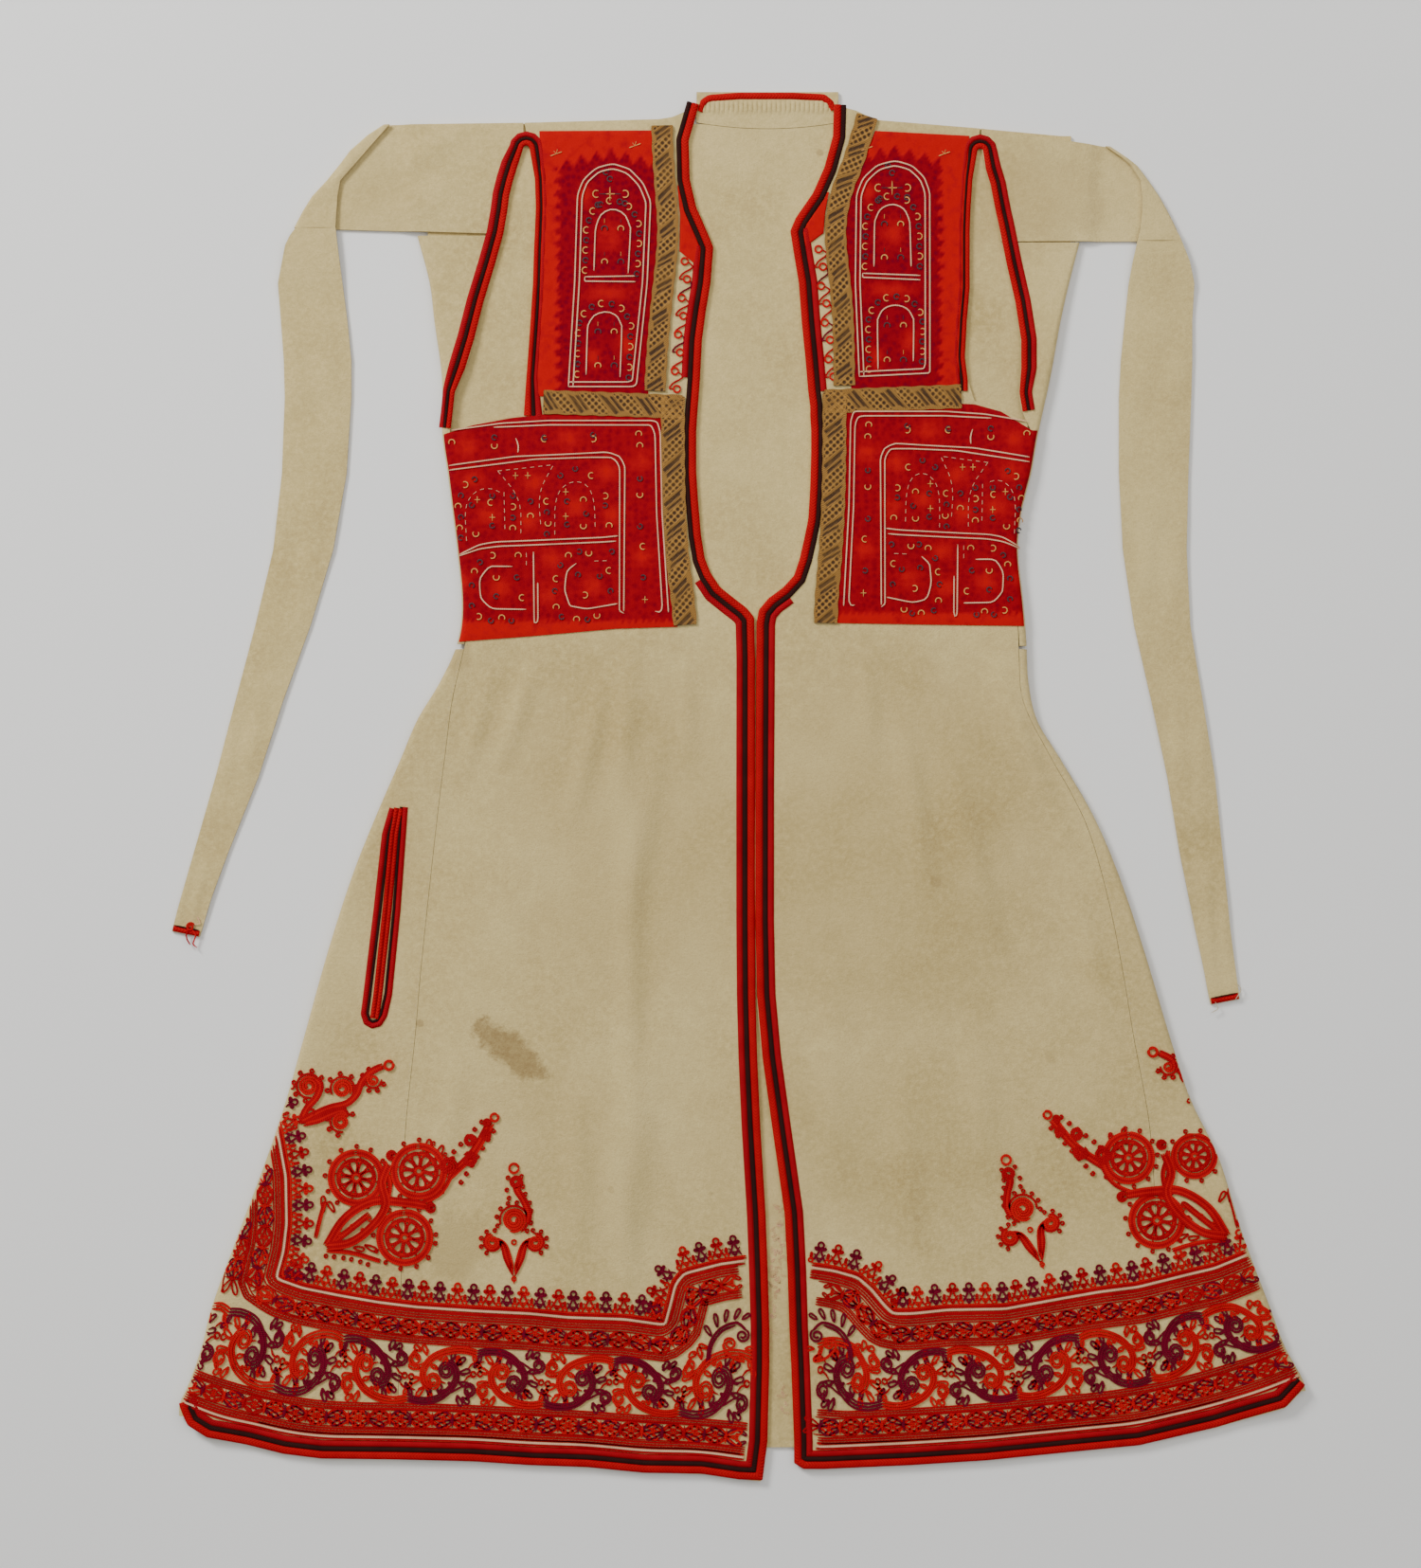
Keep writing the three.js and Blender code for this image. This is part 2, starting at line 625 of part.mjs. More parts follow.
// Ring of points round a side fold at one height, from the upper layer to the underside.
function foldSection(side, y, upperXs, underXs) {
  const into = inward(side);
  const radius = foldRadius(y);
  const centre = sideFold(side, y) + into * (radius + CLOTH / 2);
  const middle = CLOTH / 2 + radius;
  const turns = [Math.PI / 4, 0, -Math.PI / 4];
  const round = (distance) => turns.map((angle) =>
    [centre - into * distance * Math.cos(angle), y, middle + distance * Math.sin(angle)]);
  const outer = [
    ...upperXs.map(([x, rowY]) => [x, rowY, layerMiddle(x, rowY) + CLOTH / 2]),
    ...round(radius + CLOTH / 2),
    ...underXs.map(([x, rowY]) => [x, rowY, 0]),
  ];
  const inner = [
    ...upperXs.map(([x, rowY]) => [x, rowY, layerMiddle(x, rowY) - CLOTH / 2]),
    ...round(radius - CLOTH / 2),
    ...underXs.map(([x, rowY]) => [x, rowY, CLOTH]),
  ];
  return { outer, inner };
}

const SKIRT_ROWS = 15;
const WRAP_TOPS = { left: 406, right: 401 };
const WRAP_COLUMNS = [0, 0.3, 0.6, 0.85, 1];
const UNDER_OVERLAP = 12;

// Heights of the wrap's rows, which follow the side seam of the front below the armhole.
function wrapRows(side) {
  const armhole = WRAP_EDGES.slice(1).map((row) => row.y);
  const seam = BODICE[side].filter((row) => row.farY < ARMHOLE_FOOT - 6).map((row) => row.farY);
  return [WRAP_TOPS[side], ...armhole, ...seam, WAIST + 0.8];
}

// Part of the back that turns up round the side and over the front, outside the armhole.
function backWrap(side) {
  const into = inward(side);
  const outer = [];
  const inner = [];
  for (const y of wrapRows(side)) {
    const fold = sideFold(side, y);
    const start = fold + into * (foldRadius(y) + CLOTH / 2);
    const free = y < ARMHOLE_FOOT ? fold + into * WRAP_EDGE : lookup(WRAP_EDGES, 'y', side, y);
    const upper = WRAP_COLUMNS.map((t) => [mix(free, start, t), y]);
    const under = [[start, y], [start + into * UNDER_OVERLAP, y]];
    const section = foldSection(side, y, upper, under);
    outer.push(section.outer);
    inner.push(section.inner);
  }
  return wall(outer, inner);
}

// Points along a seam of a gore, from the waist to the hem.
function goreSeam(column) {
  const foot = hemAt(lookup(GORE_SEAMS, 'y', column, -HALF_LENGTH));
  return Array.from({ length: SKIRT_ROWS + 1 }, (_, i) => {
    const y = mix(WAIST, foot, i / SKIRT_ROWS);
    return [lookup(GORE_SEAMS, 'y', column, y), y];
  });
}

// Neck edge of the back, under the collar.
function neckEdge(x) {
  const half = (COLLAR.right - COLLAR.left) / 2;
  const across = (x - COLLAR.left - half) / half;
  return COLLAR.seam - COLLAR.sag * (1 - across ** 2);
}

function back() {
  const outline = [[-232, NECK_SEAM]];
  for (const t of [0, 0.25, 0.5, 0.75, 1]) {
    const x = mix(COLLAR.left, COLLAR.right, t);
    outline.push([x, neckEdge(x) - SEAM]);
  }
  outline.push([178.5, 485.5], [238, 480]);
  const edge = (side, y) => sideFold(side, y) + inward(side) * (foldRadius(y) + CLOTH / 2 + 3);
  const bodice = (side) => [BACK_TOP, ...wrapRows(side).slice(1)].map((y) => [edge(side, y), y]);
  const seam = (column, into) => goreSeam(column).map(([x, y]) => [x + into * SEAM, y]);
  outline.push(...bodice('right'), ...seam('underRight', -1));
  outline.push(...[...BACK_HEM].reverse().map((row) => [row.x, row.y]));
  outline.push(...seam('underLeft', 1).reverse(), ...bodice('left').reverse());
  const flat = plate(outline, 0, CLOTH);
  return join(join(flat, backWrap('left')), backWrap('right'));
}

// Columns of a front, in from its far edge, then as shares of the rest.
const FRONT_STEPS = [0, 7, 15, 24, 35, 49];
const FRONT_SHARES = [0.17, 0.34, 0.51, 0.68, 0.85, 1];

// How far an edge stands off the straight line between two places on it.
function bow(edgeAt, fromX, toX, share) {
  return edgeAt(mix(fromX, toX, share)) - mix(edgeAt(fromX), edgeAt(toX), share);
}

// Plan points across a front, from its far edge to the opening.
function frontRow(near, far, edgeAt, strength) {
  const span = Math.abs(near[0] - far[0]);
  const steps = FRONT_STEPS.map((step) => step / span);
  const start = steps[steps.length - 1];
  const places = [...steps, ...FRONT_SHARES.map((share) => mix(start, 1, share))];
  return places.map((share) => [
    mix(far[0], near[0], share),
    mix(far[1], near[1], share) + strength * bow(edgeAt, far[0], near[0], share),
  ]);
}

// Plan points of a front piece: the bodice rows, then the skirt down to the hem.
function frontGrid(side) {
  const into = inward(side);
  const shoulder = (x) => straight(SHOULDER_EDGES[side], 'x', 'y', x);
  const rows = BODICE[side].map((row, i) =>
    frontRow([row.x, row.y], [farX(side, row), row.farY], shoulder, i === 0 ? 1 : 0));
  const hemX = HEM_CORNER[side];
  goreSeam(side).forEach(([seamX, seamY], i) => {
    const t = i / SKIRT_ROWS;
    const nearY = mix(OPENING_WAIST, hemAt(hemX), t);
    const nearX = t === 1 ? hemX : frontEdge(side, nearY);
    rows.push(frontRow([nearX, nearY], [seamX + into * SEAM, seamY], hemAt, t ** HEM_CURVE));
  });
  return rows;
}

const front = (side) => sheet(frontGrid(side), (x, y) => layerMiddle(x, y) - CLOTH / 2, layerTop);

const GORE_STEPS = [0, 6, 13, 21, 30, 41, 55];
const GORE_UNDER = [0, 0.5, 1];

// Gore that fills the side of the skirt, from the front seam round the fold to the back seam.
function gore(side) {
  const into = inward(side);
  const depth = foldRadius(-HALF_LENGTH) + CLOTH / 2;
  const cornerY = hemAt(sideFold(side, -HALF_LENGTH) + into * depth);
  const outer = [];
  const inner = [];
  for (let i = 0; i <= SKIRT_ROWS; i += 1) {
    const t = i / SKIRT_ROWS;
    const y = mix(WAIST, cornerY, t);
    const start = sideFold(side, y) + into * (foldRadius(y) + CLOTH / 2);
    const place = (column) => {
      const [seamX, seamY] = goreSeam(column)[i];
      return (share) => [
        mix(start, seamX, share),
        mix(y, seamY, share) + t ** HEM_CURVE * bow(hemAt, start, seamX, share),
      ];
    };
    const upper = place(side);
    const under = place(side === 'left' ? 'underLeft' : 'underRight');
    const width = Math.abs(upper(1)[0] - start);
    const scale = Math.min(1, 0.9 * width / FOLD_EASE);
    const shares = [1, ...[...GORE_STEPS].reverse().map((step) => step * scale / width)];
    const section = foldSection(side, y, shares.map(upper), GORE_UNDER.map(under));
    outer.push(section.outer);
    inner.push(section.inner);
  }
  return wall(outer, inner);
}

// ---- Sleeves ----

const SLEEVE_RADIUS = 1.7;
const BAND_DROP = { from: 3, to: 15 };

// Middle of the shoulder piece: on the back, then dropping to the surface outside it.
function bandMiddle(side, x) {
  const beyond = Math.abs(x) - Math.abs(sideFold(side, SHOULDER));
  const t = Math.min(Math.max((beyond - BAND_DROP.from) / (BAND_DROP.to - BAND_DROP.from), 0), 1);
  return CLOTH / 2 + FRONT_LEVEL * (1 - t * t * (3 - 2 * t));
}

// Shoulder piece with the sleeve's diagonal fold and the start of its hanging part.
function sleeveFold(side) {
  const into = inward(side);
  const edge = Math.abs(sideFold(side, SHOULDER));
  const bandXs = [edge + BAND_DROP.from, edge + 9, edge + BAND_DROP.to].map((x) => -into * x);
  const turns = [-Math.PI / 4, 0, Math.PI / 4];
  const outer = [];
  const inner = [];
  for (const row of SLEEVE_FOLDS[side]) {
    const start = row.fold + into * (SLEEVE_RADIUS + CLOTH / 2);
    const middle = CLOTH / 2 + SLEEVE_RADIUS;
    const yAt = (x) => mix(row.armY, row.y, (x - row.armX) / (start - row.armX));
    const band = [row.armX, mix(row.armX, bandXs[0], 0.5), ...bandXs, start];
    const round = (distance) => turns.map((angle) =>
      [start - into * distance * Math.cos(angle), row.y, middle + distance * Math.sin(angle)]);
    const upper = [start, Math.max(into * row.lip, into * start + 0.8) * into];
    const level = (offset) => upper.map((x) => [x, row.y, middle + SLEEVE_RADIUS + offset]);
    const lie = (offset) => band.map((x) => [x, yAt(x), bandMiddle(side, x) + offset]);
    outer.push([...lie(-CLOTH / 2), ...round(SLEEVE_RADIUS + CLOTH / 2), ...level(CLOTH / 2)]);
    inner.push([...lie(CLOTH / 2), ...round(SLEEVE_RADIUS - CLOTH / 2), ...level(-CLOTH / 2)]);
  }
  return wall(outer, inner);
}

const STRIP_SETTLES = { from: 402, to: 345 };

// Hanging part of a sleeve, coming down from the fold to lie on the surface.
function sleeveStrip(side) {
  const into = inward(side);
  const high = CLOTH / 2 + 2 * SLEEVE_RADIUS;
  const middle = (y) => {
    const { from, to } = STRIP_SETTLES;
    const t = Math.min(Math.max((from - y) / (from - to), 0), 1);
    return mix(high, CLOTH / 2, t * t * (3 - 2 * t));
  };
  const rows = SLEEVE_STRIPS[side].map((row, i) => {
    const inFold = SLEEVE_FOLDS[side].some((fold) => fold.y === row.y);
    const start = inFold ? row.outer + into * (SLEEVE_RADIUS + CLOTH / 2) : row.outer;
    const tilt = i === SLEEVE_STRIPS[side].length - 1 ? 4 * into : 0;
    return [0, 0.5, 1].map((t) => [mix(start, row.inner, t), row.y - tilt * into * t]);
  });
  return sheet(rows, (x, y) => middle(y) - CLOTH / 2, (x, y) => middle(y) + CLOTH / 2);
}

const sleeve = (side) => join(sleeveFold(side), sleeveStrip(side));

// Red binding across the end of a hanging sleeve.
function sleeveEnd(side) {
  const row = SLEEVE_STRIPS[side][SLEEVE_STRIPS[side].length - 1];
  const into = inward(side);
  const { low, high, drop } = BINDING;
  const corner = (share, rise) => [
    mix(row.outer + into, row.inner - into, share),
    row.y + rise - drop * share,
  ];
  const outline = [corner(0, low), corner(1, low), corner(1, high), corner(0, high)];
  return plate(outline, CLOTH + SEAM, BRAID.thick);
}

// ---- Collar ----

function collar() {
  const { count, low, high, height } = COLLAR_RIBS;
  const columns = 2 * count;
  const levels = [null, low, low + 1.5, high - 1.5, high, COLLAR.top];
  const grid = levels.map((level) => Array.from({ length: columns + 1 }, (_, j) => {
    const x = mix(COLLAR.left, COLLAR.right, j / columns);
    return [x, level ?? neckEdge(x)];
  }));
  const top = grid.map((row, i) => row.map(([x, y], j) => {
    const raised = (i === 2 || i === 3) && j % 2 === 1;
    return [x, y, COLLAR.thick + (raised ? height : 0)];
  }));
  const bottom = grid.map((row) => row.map(([x, y]) => [x, y, 0]));
  return wall(top, bottom);
}

function collarBraid() {
  const { low, high } = COLLAR_BRAID;
  const left = COLLAR.left + 0.5;
  const right = COLLAR.right - 0.5;
  const outline = [[left, low], [right, low], [right, high], [left, high]];
  return plate(outline, COLLAR.thick + SEAM, BRAID.thick);
}

// ---- Edge and armhole braids ----

// Way round the opening, down the front edge and along the hem.
function edgePath(side) {
  const neck = BODICE[side].map((row) => [row.x, row.y]);
  const skirt = [];
  const cornerX = side === 'left' ? 18 : 41.3;
  for (const y of [95, 0, -100, -154, -200, -250, -315, -357, -399, -427, -483]) {
    skirt.push([frontEdge(side, y), y]);
  }
  skirt.push([cornerX, hemAt(cornerX)]);
  const [from, to] = HEM_SPAN[side];
  const hem = HEM.filter((row) => row.x > from && row.x < to);
  const ordered = side === 'left' ? [...hem].reverse() : hem;
  return { neck, skirt, hem: ordered.map((row) => [row.x, row.y]) };
}

function wholeEdge(side) {
  const { neck, skirt, hem } = edgePath(side);
  return [...neck, ...skirt, ...hem];
}

// Way round an armhole: up the front, over the top and down the wrap.
function armholePath(side) {
  const into = inward(side);
  const frontShare = 0.8;
  const wrapShare = side === 'left' ? 1.15 : 1.05;
  const tip = side === 'left' ? { x: -156.1, y: 470, radius: 2.4 } : { x: 178.6, y: 468, radius: 2.2 };
  const foot = side === 'left' ? [[-157.8, 279, frontShare]] : [[169.6, 297.5, frontShare]];
  const rising = BODICE[side]
    .filter((row) => row.farY < tip.y - 5 && row.farY > foot[0][1] + 3)
    .map((row) => [row.farX, row.farY, frontShare]);
  rising.reverse();
  const arch = [0, 45, 90, 135, 180].map((degrees) => {
    const angle = degrees * Math.PI / 180;
    return [tip.x + into * tip.radius * Math.cos(angle), tip.y + tip.radius * Math.sin(angle), 0.95];
  });
  const falling = SLEEVE_FOLDS[side]
    .filter((row) => row.armY < tip.y - 4 && row.armY > SHOULDER)
    .map((row) => [row.armX, row.armY, wrapShare]);
  const wrap = WRAP_EDGES.filter((row) => row.y < 400 && row.y > 266)
    .map((row) => [row[side], row.y, row.y < 300 ? 0.85 : wrapShare]);
  return [...foot, ...rising, ...arch, ...falling, ...wrap];
}

const ARM_BRIGHT = [0.2, 4.2];
const ARM_BLACK = [4.5, 6.7];
const ARM_DARK = [7.0, 10.6];

// ---- Panels and lace ----

const BIBS = {
  left: [
    [-140, 483], [-64.4, 483], [-64.4, 469], [-61.8, 441], [-60.4, 413], [-61.8, 392], [-64.6, 371],
    [-66.7, 350], [-68.1, 329], [-69.2, 292.6], [-144.5, 292.6], [-144.2, 301], [-142.1, 336],
    [-140.7, 371], [-139.3, 406], [-139.3, 441],
  ],
  right: [
    [104, 482.5], [163.1, 479.5], [162.2, 448], [160.3, 413], [160.3, 371], [158, 343], [156.6, 311.5],
    [157.3, 298.9], [86.4, 294.7], [86.1, 302.4], [85.1, 336], [84.4, 364], [83.2, 385], [80.9, 406],
    [82.3, 423.5], [85.9, 441], [92.9, 455],
  ],
};

const UPPER_GALLOONS = {
  left: [
    [-63.7, 486.5], [-48.3, 486.5], [-47.6, 469], [-45.8, 448], [-42.9, 420], [-43.4, 399],
    [-45.5, 378], [-48.3, 350], [-51.1, 329], [-52.5, 301], [-53.9, 291.3], [-68.6, 291.3],
    [-67.9, 301], [-67.2, 329], [-65.8, 350], [-63.7, 371], [-60.9, 392], [-59.5, 413], [-60.9, 441],
    [-63.7, 469],
  ],
  right: [
    [86.5, 497], [102.6, 489.5], [98.7, 476], [91.7, 455], [84.7, 441], [81.2, 423.5], [79.8, 406],
    [81.9, 385], [83.3, 364], [84, 336], [85.1, 295], [71.7, 295], [72.4, 301], [71.4, 329],
    [69.3, 371], [66.5, 392], [63.3, 409.5], [64.7, 423.5], [68.9, 441], [74.4, 458.5], [82.1, 479.5],
  ],
};

const CORNER_GALLOONS = {
  left: [
    [-143.5, 290.2], [-41, 287.4], [-41, 245], [-40.6, 203], [-37.5, 161], [-31.5, 133], [-30.8, 119],
    [-47.2, 119], [-50.9, 161], [-53.7, 189], [-53.7, 231], [-55.1, 271.6], [-143.5, 274.2],
  ],
  right: [
    [63.7, 290], [164.5, 294.2], [164.5, 281.6], [79, 276.6], [78.4, 245], [77.7, 203], [74.9, 161],
    [72.6, 120.4], [56.7, 120.4], [58.1, 147], [60.9, 175], [62.8, 217], [63.7, 245],
  ],
};

// Red cloth between the lace and the edge braids, above the chest.
function neckWedge(side) {
  const { top, foot, lace } = NECK_WEDGES[side];
  const turn = side === 'left' ? 1 : -1;
  const edge = offsetPath(edgePath(side).neck, BLACK_BRAID[1] + 0.5, turn)
    .filter(([, y]) => y > foot[1] + 1 && y < top);
  return plate([...edge, foot, ...lace], ON_FLAT, PANEL);
}

// Embroidered red panel between the armhole and the waist.
function waistPanel(side) {
  const into = inward(side);
  const shape = WAIST_PANELS[side];
  const rows = 8;
  const grid = [];
  for (let i = 0; i <= rows; i += 1) {
    const t = i / rows;
    const last = shape.inner[shape.inner.length - 1];
    const inner = straight(shape.inner, 'y', 'x', mix(shape.inner[0].y, last.y, t));
    const y = mix(PANEL_SIDE.top, PANEL_SIDE.bottom, t);
    const outer = sideFold(side, y) + into * (SIDE_SEAM + 1.2);
    const steps = FRONT_STEPS.map((step) => outer + into * step);
    const rest = [0.25, 0.5, 0.75, 1].map((share) => mix(steps[steps.length - 1], inner, share));
    grid.push([...steps, ...rest].map((x) =>
      [x, mix(lookup(shape.top, 'x', 'y', x), lookup(shape.bottom, 'x', 'y', x), t)]));
  }
  return sheet(grid, (x, y) => layerTop(x, y) + SEAM, (x, y) => layerTop(x, y) + SEAM + PANEL);
}

// Dense embroidery above the hem braids, rising at the side and beside the front edge.
function hemBorder(side) {
  const { skirt, hem } = edgePath(side);
  const turn = side === 'left' ? 1 : -1;
  const foot = offsetPath([skirt[skirt.length - 1], ...hem], BORDER_OFFSET, turn)
    .slice(1).map(([x, y]) => ({ x, y }));
  const columns = BORDER_TOPS[side].map((row) =>
    [0, 0.25, 0.5, 0.75, 1].map((t) => [row.x, mix(row.y, straight(foot, 'x', 'y', row.x), t)]));
  const under = (x, y) => layerTop(x, y) + STITCH_GAP;
  return sheet(columns, under, (x, y) => under(x, y) + EMBROIDERY);
}

// Round embroidered motif, highest in its middle.
function rosette({ x, y, radius }) {
  const rings = [1, 0.55];
  const segments = 14;
  const points = [];
  const triangles = [];
  const put = (share, angle, height) => {
    const px = x + radius * share * Math.cos(angle);
    const py = y + radius * share * Math.sin(angle);
    points.push([px, py, layerTop(px, py) + STITCH_GAP + height]);
  };
  for (const [level, heights] of [[0, [0, 0]], [1, [0.8, 1.4]]]) {
    rings.forEach((share, ring) => {
      for (let k = 0; k < segments; k += 1) put(share, 2 * Math.PI * k / segments, heights[ring]);
    });
    put(0, 0, level === 0 ? 0 : 1.6);
  }
  const half = 2 * segments + 1;
  for (let k = 0; k < segments; k += 1) {
    const next = (k + 1) % segments;
    for (const [base, turn] of [[0, -1], [half, 1]]) {
      const faces = [
        [base + k, base + next, base + segments + next],
        [base + k, base + segments + next, base + segments + k],
        [base + segments + k, base + segments + next, base + 2 * segments],
      ];
      faces.forEach(([a, b, c]) => triangles.push(turn > 0 ? [a, b, c] : [a, c, b]));
    }
    triangles.push([k, next, half + next], [k, half + next, half + k]);
  }
  return closedGeometry(points, triangles);
}

// Pocket binding, and the welt in the middle of it.
function pocketPiece(inset, lift, thick) {
  const rows = inset === 0 ? POCKET : POCKET.slice(0, -1);
  const grid = rows.map((row, i) => {
    const left = row.left + inset;
    const right = row.right - inset;
    const y = inset > 0 && i === rows.length - 1 ? row.y + inset / 2 : row.y;
    return [0, 0.5, 1].map((t) => [mix(left, right, t), y]);
  });
  return sheet(grid, (x, y) => layerTop(x, y) + lift, (x, y) => layerTop(x, y) + lift + thick);
}

// ---- The coat ----

const coat = new THREE.Group();

function add(name, geometry, material) {
  const mesh = new THREE.Mesh(geometry, material);
  mesh.name = name;
  coat.add(mesh);
}

add('back', back(), WOOL);
add('collar', collar(), WOOL);
add('collar_braid', collarBraid(), BRIGHT);
add('pocket_binding', pocketPiece(0, SEAM, 0.8), DARK);
add('pocket_welt', pocketPiece(POCKET_BINDING, 2 * SEAM + 0.8, 1.0), BRIGHT);

for (const side of ['left', 'right']) {
  const turn = side === 'left' ? 1 : -1;
  const edge = wholeEdge(side);
  const { neck, skirt, hem } = edgePath(side);
  const lower = side === 'left' ? 164 : 152;
  const darkLow = [...neck.filter(([, y]) => y < lower), ...skirt, ...hem];
  const darkHigh = neck.filter(([, y]) => y < (side === 'left' ? 380 : 395) && y > 296);
  const armhole = armholePath(side);
  add(`front_${side}`, front(side), WOOL);
  add(`gore_${side}`, gore(side), WOOL);
  add(`sleeve_${side}`, sleeve(side), WOOL);
  add(`sleeve_end_${side}`, sleeveEnd(side), BRIGHT);
  add(`edge_bright_${side}`, braid(edge, BRIGHT_BRAID, turn), BRIGHT);
  add(`edge_black_${side}`, braid(edge, BLACK_BRAID, turn), BLACK);
  add(`edge_dark_${side}`, braid(darkLow, DARK_BRAID, turn), DARK);
  add(`neck_dark_${side}`, braid(darkHigh, DARK_BRAID, turn), DARK);
  add(`neck_wedge_${side}`, neckWedge(side), RED_CLOTH);
  add(`armhole_bright_${side}`, braid(armhole, ARM_BRIGHT, turn), BRIGHT);
  add(`armhole_black_${side}`, braid(armhole, ARM_BLACK, turn), BLACK);
  add(`armhole_dark_${side}`, braid(armhole, ARM_DARK, turn), DARK);
  add(`bib_${side}`, plate(BIBS[side], ON_FLAT, PANEL), RED_CLOTH);
  add(`waist_panel_${side}`, waistPanel(side), RED_CLOTH);
  add(`galloon_upper_${side}`, plate(UPPER_GALLOONS[side], ON_FLAT, GALLOON), LACE);
  add(`galloon_corner_${side}`, plate(CORNER_GALLOONS[side], ON_FLAT, GALLOON), LACE);
  add(`hem_border_${side}`, hemBorder(side), STITCHES);
  ROSETTES[side].forEach((place, i) => add(`rosette_${side}_${i + 1}`, rosette(place), STITCHES));
}

export default coat;
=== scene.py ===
"""Embroidered coat of thick fulled wool with false hanging sleeves, lying flat and face up.

Sizes are in millimetres and meshes are written in metres. X runs across the coat, Y towards the
collar and Z up from the floor.
"""
import json
import logging
import math
from dataclasses import dataclass, field
from enum import Enum
from typing import Callable, Iterable, Optional, Sequence

import bpy
import numpy as np
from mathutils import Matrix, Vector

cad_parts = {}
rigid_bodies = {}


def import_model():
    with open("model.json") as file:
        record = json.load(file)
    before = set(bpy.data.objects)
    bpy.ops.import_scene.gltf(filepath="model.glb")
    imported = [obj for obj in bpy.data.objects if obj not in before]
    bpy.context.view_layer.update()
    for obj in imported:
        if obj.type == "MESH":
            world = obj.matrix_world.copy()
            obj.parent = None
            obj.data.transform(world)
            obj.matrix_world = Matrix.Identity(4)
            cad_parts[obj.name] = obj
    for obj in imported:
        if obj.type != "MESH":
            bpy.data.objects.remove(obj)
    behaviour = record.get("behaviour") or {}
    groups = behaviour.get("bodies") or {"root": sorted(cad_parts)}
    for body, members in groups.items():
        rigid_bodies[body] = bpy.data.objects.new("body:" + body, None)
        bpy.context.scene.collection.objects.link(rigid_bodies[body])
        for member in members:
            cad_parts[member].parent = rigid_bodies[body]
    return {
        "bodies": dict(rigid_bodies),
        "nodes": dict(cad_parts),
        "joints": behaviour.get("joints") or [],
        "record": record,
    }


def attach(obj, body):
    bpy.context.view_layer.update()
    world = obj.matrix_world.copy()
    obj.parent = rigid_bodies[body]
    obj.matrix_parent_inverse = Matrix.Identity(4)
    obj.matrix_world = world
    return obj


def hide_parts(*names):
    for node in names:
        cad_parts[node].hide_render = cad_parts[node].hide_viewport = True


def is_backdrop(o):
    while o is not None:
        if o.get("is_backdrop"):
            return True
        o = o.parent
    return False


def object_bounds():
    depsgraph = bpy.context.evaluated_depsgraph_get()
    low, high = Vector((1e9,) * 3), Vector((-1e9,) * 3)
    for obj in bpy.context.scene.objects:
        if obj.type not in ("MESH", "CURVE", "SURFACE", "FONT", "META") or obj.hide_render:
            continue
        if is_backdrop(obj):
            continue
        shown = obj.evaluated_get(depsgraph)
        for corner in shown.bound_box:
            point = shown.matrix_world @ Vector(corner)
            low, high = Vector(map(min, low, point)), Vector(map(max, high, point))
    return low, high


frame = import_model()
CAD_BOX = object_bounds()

log = logging.getLogger("coat")

MM = 0.001
Row = tuple[float, ...]
Path = np.ndarray
Colour = tuple[float, float, float]
Height = Callable[[np.ndarray, np.ndarray], np.ndarray]
# A closed mesh: its points, its groups of faces and, in some, a value or two for each point.
Part = tuple

# Layers that a mesh can carry: places along and across a band, or a share from 0 to 1.
LENGTHWISE, TINT = "lengthwise", "tint"


class Side(Enum):
    """Which half of the coat, as seen from above."""

    LEFT = 1
    RIGHT = -1

    @property
    def into(self) -> int:
        """Direction along X from this side towards the middle."""
        return self.value

    @property
    def word(self) -> str:
        """The side's name in the names of pieces."""
        return self.name.lower()

    @property
    def column(self) -> int:
        """Column of this side in the tables of the outline."""
        return 1 if self is Side.LEFT else 2


# Height, then the left and right side folds.
SIDES = (
    (406, -236.6, 253.4), (371, -227.5, 244.3), (343, -224, 238), (301, -218.4, 230.3),
    (259, -218, 221.2), (231, -214.2, 216.3), (203, -210.7, 209.3), (175, -207.2, 206.5),
    (133, -203.7, 210.7), (105, -207.2, 212.8), (77, -219.8, 214.2), (49, -236.6, 220.5),
    (21, -248.5, 237.3), (-21, -266.7, 261.8), (-63, -283.5, 280), (-119, -301.7, 298.9),
    (-189, -321.3, 319.9), (-231, -333.2, 333.9), (-273, -347.2, 354.2), (-329, -368.2, 371.7),
    (-385, -388.5, 392.7), (-413, -395.5, 403.2), (-441, -405.3, 417.9), (-455, -412.3, 417.9),
)
FOLD_RADII = ((406, 1.3), (371, 2.1), (329, 2.9), (-512, 2.9))
FRONT_EDGES = (
    (103, 12.6, 13.4), (-154, 12.9, 13.9), (-250, 16.4, 25), (-315, 20.3, 34.3),
    (-399, 23.1, 37.8), (-427, 23.1, 39.2), (-483, 21.7, 41.3), (-512, 17, 41.3),
)
